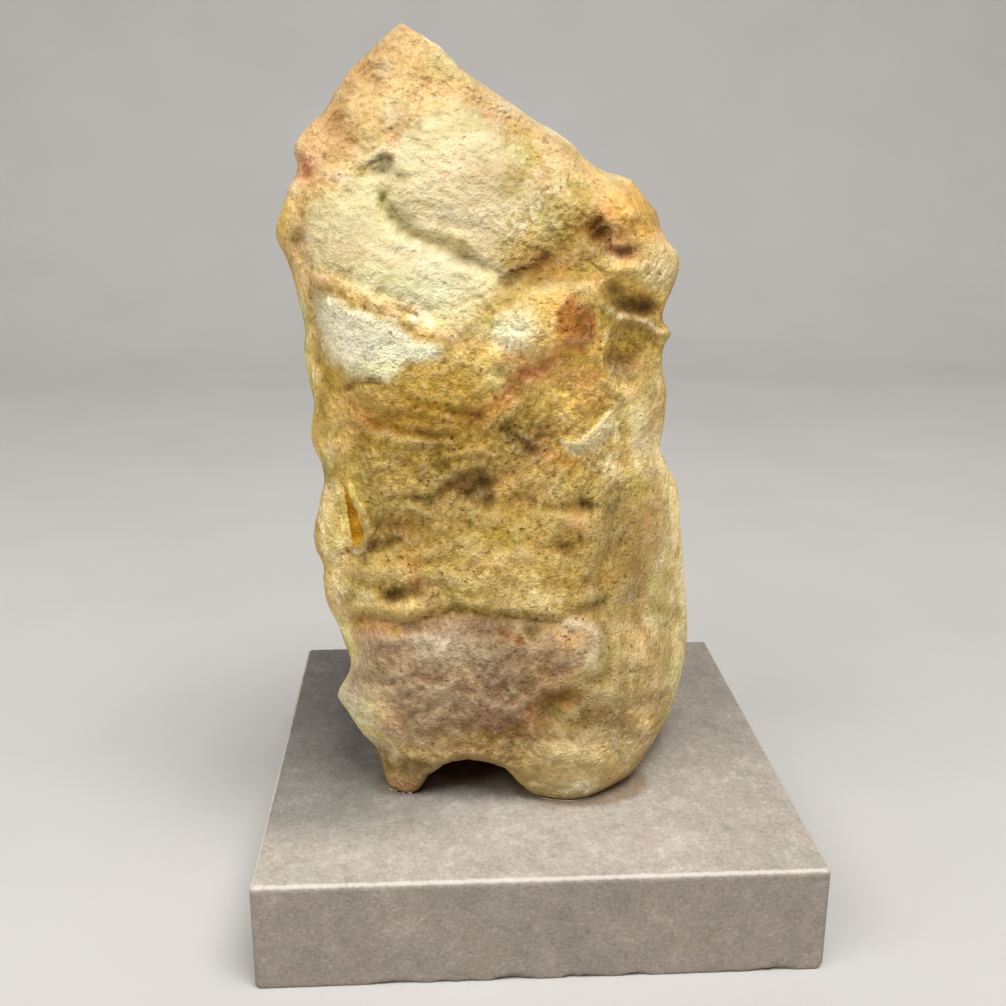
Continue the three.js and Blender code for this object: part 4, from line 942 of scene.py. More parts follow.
M["orange"] = most(
    0.36 * line([(304, 271), (320, 276), (336, 283, 1.2), (352, 291, 1.3), (366, 297, 1.2), (382, 304, 1.1), (398, 311), (421, 321), (444, 332), (462, 342)], 5.4, 1.3),
    0.45 * line([(460, 340), (476, 349), (500, 357), (524, 359), (546, 350)], 7, 1.3), 0.6 * line([(556, 352), (546, 360), (529, 370), (516, 380), (501, 394), (489, 405), (474, 418)], 10, 1.6), 0.5 * blob(577, 323, 26, 30),
    0.9 * area([(606, 192), (632, 182), (656, 200), (662, 230), (642, 244), (616, 238), (602, 216)], 10, 1.4),
    0.6 * blob(284, 216, 14, 20), 0.9 * blob(586, 526, 11, 8, 20), 0.65 * line([(545, 455), (566, 461), (584, 458)], 8, 1.2),
    0.7 * line([(358, 623), (378, 628), (400, 630)], 6, 1.3), 0.7 * line([(395, 765), (396, 786)], 5),
    0.6 * line([(440, 50), (500, 95), (550, 130), (600, 170)], 15), 0.6 * blob(640, 634, 18, 10), 0.6 * blob(650, 662, 9, 9), 0.6 * line([(604, 742), (612, 774)], 9),
    0.5 * line([(545, 628), (572, 640), (590, 634)], 8), 0.5 * blob(345, 70, 22, 22, -40), 0.5 * blob(560, 300, 26, 12), 0.2 * blob(430, 425, 30, 9))
M["pink"] = most(
    0.95 * blob(303, 151, 17, 22, 10), 1.0 * blob(302, 174, 11, 13), 0.4 * blob(378, 86, 16, 16), 0.55 * blob(330, 112, 16, 13, -40),
    0.75 * blob(491, 114, 13, 9, 20), 0.5 * blob(383, 117, 9, 7), 0.45 * line([(306, 273), (336, 284), (366, 298), (398, 312), (444, 334)], 6, 1.4), 0.8 * blob(627, 391, 7, 5),
    0.75 * blob(648, 515, 8, 15), 0.45 * blob(568, 638, 20, 12, 20), 0.6 * blob(647, 647, 12, 9), 0.6 * line([(500, 636), (522, 640)], 9),
    0.4 * blob(600, 216, 7, 9), 0.5 * line([(450, 60), (500, 98), (540, 126)], 10), 0.15 * blob(420, 425, 24, 8), 0.15 * blob(480, 166, 30, 22),
    0.6 * blob(545, 366, 30, 12, -30), 0.35 * blob(356, 400, 20, 8))
M["red"] = most(
    1.1 * blob(577, 324, 21, 27, 0, 1.6, 3), 0.45 * blob(584, 334, 11, 16, 0, 1.6), 0.35 * blob(572, 308, 12, 10), 0.32 * line([(552, 356, 0.8), (540, 364), (529, 371), (516, 380), (501, 394), (489, 405), (478, 415, 0.6)], 4.2, 1.8),
    0.2 * line([(512, 362), (522, 358), (538, 356)], 5, 1.2), 0.25 * blob(402, 421, 14, 5), 0.6 * line([(500, 633), (512, 637), (522, 642)], 6, 1.2),
    0.6 * blob(600, 217, 6, 7), 0.45 * line([(336, 604), (346, 612), (360, 618)], 6), 0.6 * blob(305, 172, 7, 9), 0.35 * blob(640, 214, 14, 12),
    0.4 * line([(596, 356), (592, 372), (580, 384)], 6, 1.3))
# brown stains, partly painted shade in the valley, the pit, the right hollows, the seam groove and behind the left foot
M["brown"] = most(
    1.0 * blob(600, 232, 15, 16, 0, 1.4, 2.6), 0.45 * line([(508, 276), (526, 268), (541, 262), (554, 254), (564, 246), (578, 236), (590, 230)], 15, 1.8), 0.85 * blob(521, 270, 13, 9, -15, 1.8), 0.95 * blob(541, 262, 15, 9, -25, 1.8), 0.5 * blob(570, 276, 28, 9, -8, 1.8), 0.7 * blob(626, 252, 22, 7, 8, 1.5), 0.35 * blob(486, 256, 22, 9, 22, 2.0), 0.5 * blob(624, 362, 20, 10, 0, 1.6), 0.4 * blob(500, 288, 14, 10), 0.35 * blob(574, 264, 22, 10, -10),
    0.6 * blob(350, 140, 10, 7, 10), 0.6 * blob(326, 155, 8, 6), 0.5 * blob(338, 120, 10, 10), 0.6 * blob(421, 129, 8, 6), 0.6 * blob(545, 139, 10, 6, 30),
    0.6 * area([(606, 296), (616, 290), (632, 290), (646, 296), (658, 303), (658, 311), (648, 318), (620, 314), (604, 305)], 8, 1.6),
    0.45 * area([(609, 334), (622, 330), (640, 338), (646, 350), (641, 364), (622, 370), (609, 364), (607, 346)], 9, 1.6),
    0.6 * blob(297, 234, 9, 16, -10), 0.55 * blob(513, 435, 17, 11, 10), 0.6 * blob(531, 450, 12, 12), 0.45 * blob(545, 431, 12, 9),
    0.85 * area([(452, 492), (463, 478), (474, 470), (489, 470), (496, 484), (493, 502), (485, 508), (474, 502), (462, 498)], 8, 1.3),
    0.6 * line([(460, 484), (450, 488), (440, 494), (429, 503), (412, 499)], 9, 1.4), 0.45 * blob(398, 525, 24, 8, -6),
    0.6 * line([(358, 552), (372, 550), (397, 542)], 9, 1.2), 0.7 * blob(588, 508, 11, 9, 35), 0.5 * line([(585, 506), (571, 507), (547, 507)], 6, 1.2),
    0.6 * blob(565, 547, 15, 10, 20), 0.65 * blob(393, 598, 15, 10), 0.4 * line([(300, 258), (309, 290), (315, 320), (317, 360), (326, 382), (341, 392)], 6),
    0.5 * line(SEAM, 6, 1.6) * SEAM_REACH, 0.65 * blob(556, 704, 19, 13, -20), 0.5 * blob(525, 684, 10, 7, -30), 0.45 * blob(532, 633, 10, 6), 0.35 * blob(500, 650, 20, 18),
    0.4 * line([(372, 422), (408, 430), (440, 437)], 7, 1.4), 0.4 * line([(420, 408), (450, 410), (484, 418)], 6, 1.4),
    0.5 * blob(600, 607, 15, 7, -20), 0.25 * line([(624, 440), (627, 480), (622, 510), (614, 540), (610, 570), (606, 602)], 13, 1.3),
    0.45 * line([(424, 764), (424, 780), (412, 792)], 9), 0.45 * line([(636, 626), (656, 646), (668, 676), (664, 710)], 11), 0.25 * blob(490, 470, 60, 24),
    0.3 * blob(420, 540, 30, 16), 0.25 * blob(540, 530, 24, 18), 0.35 * line([(608, 386), (618, 410), (622, 430)], 8))
# dark cracks and cavity floors, partly painted shade in the holes, pits, hollows and along the right arris
M["dark"] = most(
    0.45 * line([(366, 166), (374, 160), (383, 156), (391, 158), (392, 166), (386, 172), (374, 170)], 3.4, 0.8), 0.3 * blob(388, 164, 4, 5), 0.35 * blob(401, 178, 7, 4, 20), 0.3 * line([(440, 199), (443, 203), (450, 203)], 3.4), 0.2 * blob(520, 271, 8, 5, -20, 1.5), 0.2 * blob(540, 262, 9, 5, -30, 1.5),
    0.55 * blob(384, 199, 4.5, 6), 0.35 * line([(388, 206), (396, 220), (406, 230)], 4.5, 1.5),
    0.75 * blob(600, 233, 10, 10, 0, 1.4), 0.35 * area([(616, 304), (624, 301), (636, 302), (650, 306), (640, 312), (622, 311)], 6), 0.3 * blob(648, 308, 7, 4),
    0.45 * blob(617, 361, 10, 5, -5), 0.35 * line([(612, 335), (612, 350), (609, 362)], 3.6),
    0.5 * line([(465, 475), (473, 470), (482, 469), (491, 472)], 3.6, 1.4), 0.4 * blob(483, 484, 8, 7), 0.5 * blob(487, 502, 5, 5), 0.4 * blob(472, 489, 6, 5),
    0.4 * line([(452, 487), (440, 495), (429, 503)], 5, 1.6), 0.45 * blob(443, 471, 4, 3.4), 0.45 * blob(414, 499, 6, 4),
    0.85 * blob(589, 508, 6.5, 5, 40), 0.45 * line([(583, 506), (571, 507), (559, 505.6)], 3), 0.5 * blob(565, 553, 6, 4), 0.45 * blob(562, 544, 5, 4),
    0.8 * blob(393, 598, 8.5, 5), 0.75 * line([(347, 388), (353, 386)], 3.4), 0.6 * line([(357, 385), (364, 382.5), (374, 381)], 3),
    0.5 * line([(402, 308), (417, 315)], 3), 0.5 * blob(564, 700, 6, 4), 0.4 * blob(549, 708, 7, 5), 0.45 * blob(525, 683, 5, 4), 0.4 * blob(504, 684, 4, 3),
    0.45 * blob(532, 633.5, 5, 3), 0.5 * line([(362, 550), (370, 549), (378, 546)], 3.6), 0.5 * blob(363, 554, 4, 3.5), 0.5 * blob(365, 564, 3.4, 3.2),
    0.5 * blob(396, 106, 3, 3), 0.5 * blob(349, 140, 5, 3.5), 0.5 * blob(327, 155, 4.4, 3.2), 0.4 * blob(421, 129, 4, 3.4), 0.45 * blob(545, 139, 5, 3.2),
    0.4 * blob(512, 436, 7, 4), 0.4 * line([(524, 446), (532, 450), (536, 458)], 4, 1.3),
    0.3 * line([(621, 404), (622, 440), (620, 478), (613, 518), (605, 556), (599, 588)], 2.8, 1.6))
for _u, _v in ((577, 164), (522, 182), (506, 196), (482, 189), (441, 202), (340, 259), (373, 276), (382, 291), (642, 262), (648, 273.6), (659, 273.6),
               (600, 474), (611, 470), (611, 480), (611, 493), (554, 476), (365, 358), (388, 344), (357, 372), (430, 310), (666, 251)):
    M["dark"] = np.maximum(M["dark"], 0.55 * blob(_u, _v, 2.7, 2.4, 0, 0.4))
# crust, partly painted highlight along the upper right rim, the lit lip above the mauve and the lit edge down to the
# left foot
M["crust"] = most(
    0.9 * area([(618, 407), (615, 429), (604, 440), (591, 447), (580, 459), (567, 451), (558, 440), (575, 442), (588, 435), (597, 424), (608, 413)], 5, 1.2),
    0.5 * line([(602, 301), (608, 308), (616, 316), (628, 318), (643, 322), (658, 331), (669, 333), (664, 342)], 3.6, 1.0),
    0.22 * line([(616, 322), (608, 336), (606, 352), (602, 368), (607, 382), (616, 394)], 5, 1.4),
    0.6 * line([(424, 34), (450, 53), (490, 82), (540, 118), (580, 148), (602, 166)], 6),
    0.5 * line([(354, 666), (346, 680), (339, 694)], 4.6), 0.35 * line([(366, 536), (367, 520), (358, 502)], 3.4), 0.6 * line([(352, 552), (360, 552), (367, 547)], 3.4),
    0.4 * line([(563, 620), (574, 624), (598, 626)], 4.4, 1.2), 0.5 * blob(647, 618, 11, 4), 0.5 * blob(362, 177, 17, 5, -10), 0.35 * line([(384, 608), (402, 610)], 4.4),
    0.3 * line([(430, 441), (396, 438), (374, 432)], 4.4, 1.2), 0.45 * line([(388, 226), (400, 236), (418, 246), (440, 257), (459, 268), (480, 280)], 6, 1.2),
    0.8 * line([(341, 701), (352, 716), (362, 730), (373, 739), (386, 746), (396, 754)], 4.6, 1.2), 0.5 * blob(588, 521, 6, 4), 0.35 * line([(400, 413), (420, 412)], 3.8),
    0.35 * line([(609, 741), (617, 753), (624, 765)], 3.8), 0.4 * blob(610, 460, 12, 9), 0.35 * line([(606, 258), (624, 262), (644, 259)], 5, 1.2))
M["grey"] = most(
    0.8 * area([(416, 640), (445, 632), (466, 642), (470, 658), (455, 670), (425, 668), (412, 652)], 10, 1.4), 0.5 * blob(654, 705, 14, 11), 0.5 * blob(614, 374, 7, 8),
    0.5 * blob(486, 662, 24, 14), 0.5 * blob(382, 163, 15, 11), 0.4 * blob(440, 700, 30, 18), 0.4 * blob(474, 480, 16, 14))
M["amber"] = area([(341.5, 481), (345, 496), (348, 512), (350, 525), (352, 538), (355.5, 548), (360, 543), (363.5, 533), (360, 524), (357.5, 513), (352, 503), (347, 491)], 1.8, 0.35)
M["foot"] = area([(372, 752), (396, 762), (430, 766), (440, 774), (424, 806), (376, 806)], 7)
# the sandy grain
M["sand"] = np.clip(1 - 0.35 * M["tan"] - 0.6 * CREAM_FIELD - 0.5 * SMOOTH_SIDE - 0.3 * M["mauve"] - 0.25 * M["lobe"], 0.1, 1)



def haze(m, r):
    """Blurs a map: three passes of a box r px each way."""
    for _ in range(3):
        for axis in (0, 1):
            pad = [(0, 0), (0, 0)]
            pad[axis] = (r + 1, r)
            c = np.cumsum(np.pad(m, pad, mode="edge"), axis=axis, dtype=np.float64)
            m = ((c[2 * r + 1:] - c[:-2 * r - 1]) if axis == 0 else (c[:, 2 * r + 1:] - c[:, :-2 * r - 1])) / (2 * r + 1)
    return m.astype(np.float32)


for _name, _r in (("tan", 6), ("cream", 5), ("white", 2), ("ochre", 4), ("mauve", 6), ("lobe", 8), ("pale", 4), ("green", 4),
                  ("orange", 2), ("pink", 3), ("brown", 2), ("grey", 3), ("foot", 2)):
    M[_name] = haze(np.clip(M[_name], 0, 1).astype(np.float32), _r)
# cracks and crust strokes come and go along their length
M["dark"] = M["dark"] * np.clip(0.75 + 1.1 * canvas_noise(7, 3, 92), 0.25, 1.25)
M["crust"] = M["crust"] * np.clip(0.85 + 0.9 * canvas_noise(9, 3, 93), 0.3, 1.3)

# broad casts laid over the minerals: a pink blush, an olive cast that is partly painted shade, painted shade and
# painted light
M["blush"] = plus(
    0.6 * area([(440, 160), (500, 150), (545, 170), (566, 205), (540, 232), (490, 226), (452, 206), (430, 186)], 22, 2.0),
    0.6 * blob(333, 247, 16, 14), 0.6 * line([(398, 30), (372, 56), (346, 88), (336, 118), (316, 132)], 13), 0.7 * blob(305, 165, 14, 20),
    0.6 * blob(328, 497, 9, 13), 0.7 * blob(419, 566, 12, 20), 0.5 * blob(412, 450, 18, 10), 0.5 * blob(420, 426, 24, 7), 0.5 * blob(565, 645, 30, 22),
    0.55 * area([(345, 664), (372, 690), (402, 712), (396, 742), (366, 724), (338, 694)], 12), 0.8 * blob(648, 515, 8, 12), 0.5 * blob(640, 540, 12, 44),
    0.6 * blob(622, 250, 16, 9, 20), 0.55 * line([(498, 364), (524, 360), (544, 352)], 8), 0.6 * blob(384, 768, 6, 16), 0.8 * blob(506, 765, 18, 11, 25),
    0.5 * blob(655, 716, 12, 24, 20), 0.6 * blob(497, 382, 14, 12, -30), 0.4 * blob(468, 250, 20, 10), 0.5 * blob(380, 628, 24, 7), 0.5 * blob(626, 392, 9, 7),
    0.4 * line([(520, 130), (560, 156), (590, 176)], 12), 0.4 * blob(560, 320, 12, 22), 0.4 * blob(520, 460, 14, 12), 0.4 * blob(620, 556, 14, 40))
# olive cast, partly painted shade in the trough and shaded dips
M["olive"] = plus(
    0.9 * line([(388, 200), (396, 218), (412, 230), (436, 242), (462, 252)], 15, 1.6), 0.5 * area([(320, 240), (380, 230), (440, 262), (490, 290), (470, 316), (420, 305), (360, 280), (316, 262)], 20, 1.8),
    0.6 * area([(360, 430), (440, 440), (480, 455), (450, 500), (400, 520), (360, 500)], 24, 2.0), 0.2 * blob(576, 218, 24, 18), 0.6 * blob(618, 690, 30, 20), 0.5 * blob(560, 704, 26, 16),
    0.7 * blob(450, 598, 34, 8, 5), 0.6 * blob(386, 166, 20, 14), 0.5 * blob(470, 118, 20, 12, 15), 0.5 * blob(520, 190, 20, 14), 0.5 * blob(330, 545, 12, 22),
    0.6 * blob(632, 340, 20, 24), 0.6 * blob(608, 288, 10, 10), 0.5 * blob(500, 735, 44, 14), 0.4 * blob(500, 540, 40, 16), 0.4 * blob(606, 470, 24, 16), 0.5 * blob(524, 438, 20, 14),
    0.4 * blob(412, 396, 34, 12), 0.4 * blob(360, 590, 26, 12))
# painted shade: darker over shaded slopes, hollows, grooves, the shaded right flank and round the left foot
M["painted_shade"] = plus(
    0.5 * blob(376, 80, 10, 18), 0.45 * blob(334, 124, 12, 16), 0.5 * line([(404, 224), (424, 234), (450, 246), (474, 258)], 9, 1.2), 0.5 * blob(568, 224, 26, 16),
    0.3 * area([(500, 230), (560, 220), (590, 250), (560, 280), (510, 292), (490, 270)], 20), 0.45 * line([(300, 240), (308, 268), (316, 300)], 6),
    0.6 * area([(604, 290), (656, 294), (660, 312), (640, 318), (606, 304)], 8), 0.4 * area([(612, 326), (654, 332), (650, 360), (620, 366), (608, 350)], 8),
    0.4 * line([(350, 420), (390, 430), (430, 438), (470, 434), (500, 430)], 9, 1.4), 0.45 * blob(462, 484, 40, 18, -12), 0.35 * blob(402, 494, 20, 10), 0.45 * blob(516, 440, 20, 14),
    0.35 * line([(360, 520), (400, 526), (430, 520)], 14), 0.4 * blob(374, 550, 16, 9, -15), 0.4 * blob(566, 548, 18, 11, 20), 0.5 * area([(612, 480), (650, 490), (652, 600), (606, 606), (600, 560)], 16, 1.6),
    0.45 * blob(392, 597, 20, 10), 0.3 * blob(580, 608, 40, 8, -8), 0.55 * blob(560, 700, 26, 14, -15), 0.4 * blob(500, 736, 50, 14), 0.35 * blob(640, 700, 20, 16),
    0.35 * blob(500, 690, 26, 20), 0.3 * blob(470, 714, 26, 12), 0.5 * area([(376, 752), (400, 762), (440, 764), (436, 800), (378, 800)], 8), 0.35 * blob(490, 662, 14, 20), 0.4 * blob(345, 386, 12, 6),
    0.4 * blob(415, 402, 26, 9))
# painted light: paler over lit brims, lips and lobes and along the upper right rim
M["painted_light"] = plus(
    0.5 * blob(402, 44, 14, 14), 0.5 * line([(430, 44), (480, 84), (540, 122), (590, 160)], 8), 0.4 * blob(452, 118, 18, 14), 0.5 * blob(392, 112, 8, 10), 0.4 * blob(360, 172, 16, 9),
    0.5 * blob(352, 320, 22, 12, 20), 0.4 * blob(440, 285, 40, 20, 25), 0.5 * line([(400, 236), (430, 250), (470, 268), (500, 288)], 8, 1.3), 0.6 * blob(560, 290, 34, 9, -8), 0.5 * blob(510, 325, 24, 16),
    0.5 * blob(498, 376, 16, 10, -35), 0.55 * area([(604, 256), (650, 240), (676, 250), (668, 284), (630, 270)], 10), 0.4 * blob(640, 410, 20, 26), 0.5 * area([(656, 470), (684, 500), (688, 620), (668, 620), (660, 540)], 9),
    0.4 * blob(490, 556, 34, 16), 0.5 * line([(430, 584), (480, 580), (520, 588)], 9), 0.4 * blob(640, 640, 22, 20), 0.5 * line([(572, 622), (590, 632), (594, 660)], 9), 0.5 * blob(440, 652, 28, 14),
    0.4 * blob(366, 706, 22, 20), 0.55 * blob(575, 752, 30, 18, -10), 0.35 * blob(580, 786, 26, 8), 0.4 * blob(412, 742, 24, 9), 0.4 * blob(570, 522, 14, 8), 0.4 * blob(598, 464, 26, 10), 0.4 * blob(456, 360, 22, 9),
    0.35 * blob(390, 575, 20, 8), 0.35 * blob(390, 466, 20, 12), 0.4 * blob(330, 446, 14, 20), 0.4 * blob(546, 596, 24, 10))
for _name in ("blush", "olive", "painted_shade", "painted_light"):
    M[_name] = haze(M[_name].astype(np.float32), 3)


def cast(spots, strokes):
    """A drift laid over the drawn zones, below and above 0: spots are
    (u, v, ru, rv, turn, value), strokes (width, value, points)."""
    out = np.zeros((NV, NU), np.float32)
    for u, v, ru, rv, turn, value in spots:
        out += value * blob(u, v, ru, rv, turn, 1.8)
    for width, value, pts in strokes:
        out += value * line(pts, width, 1.8)
    return out


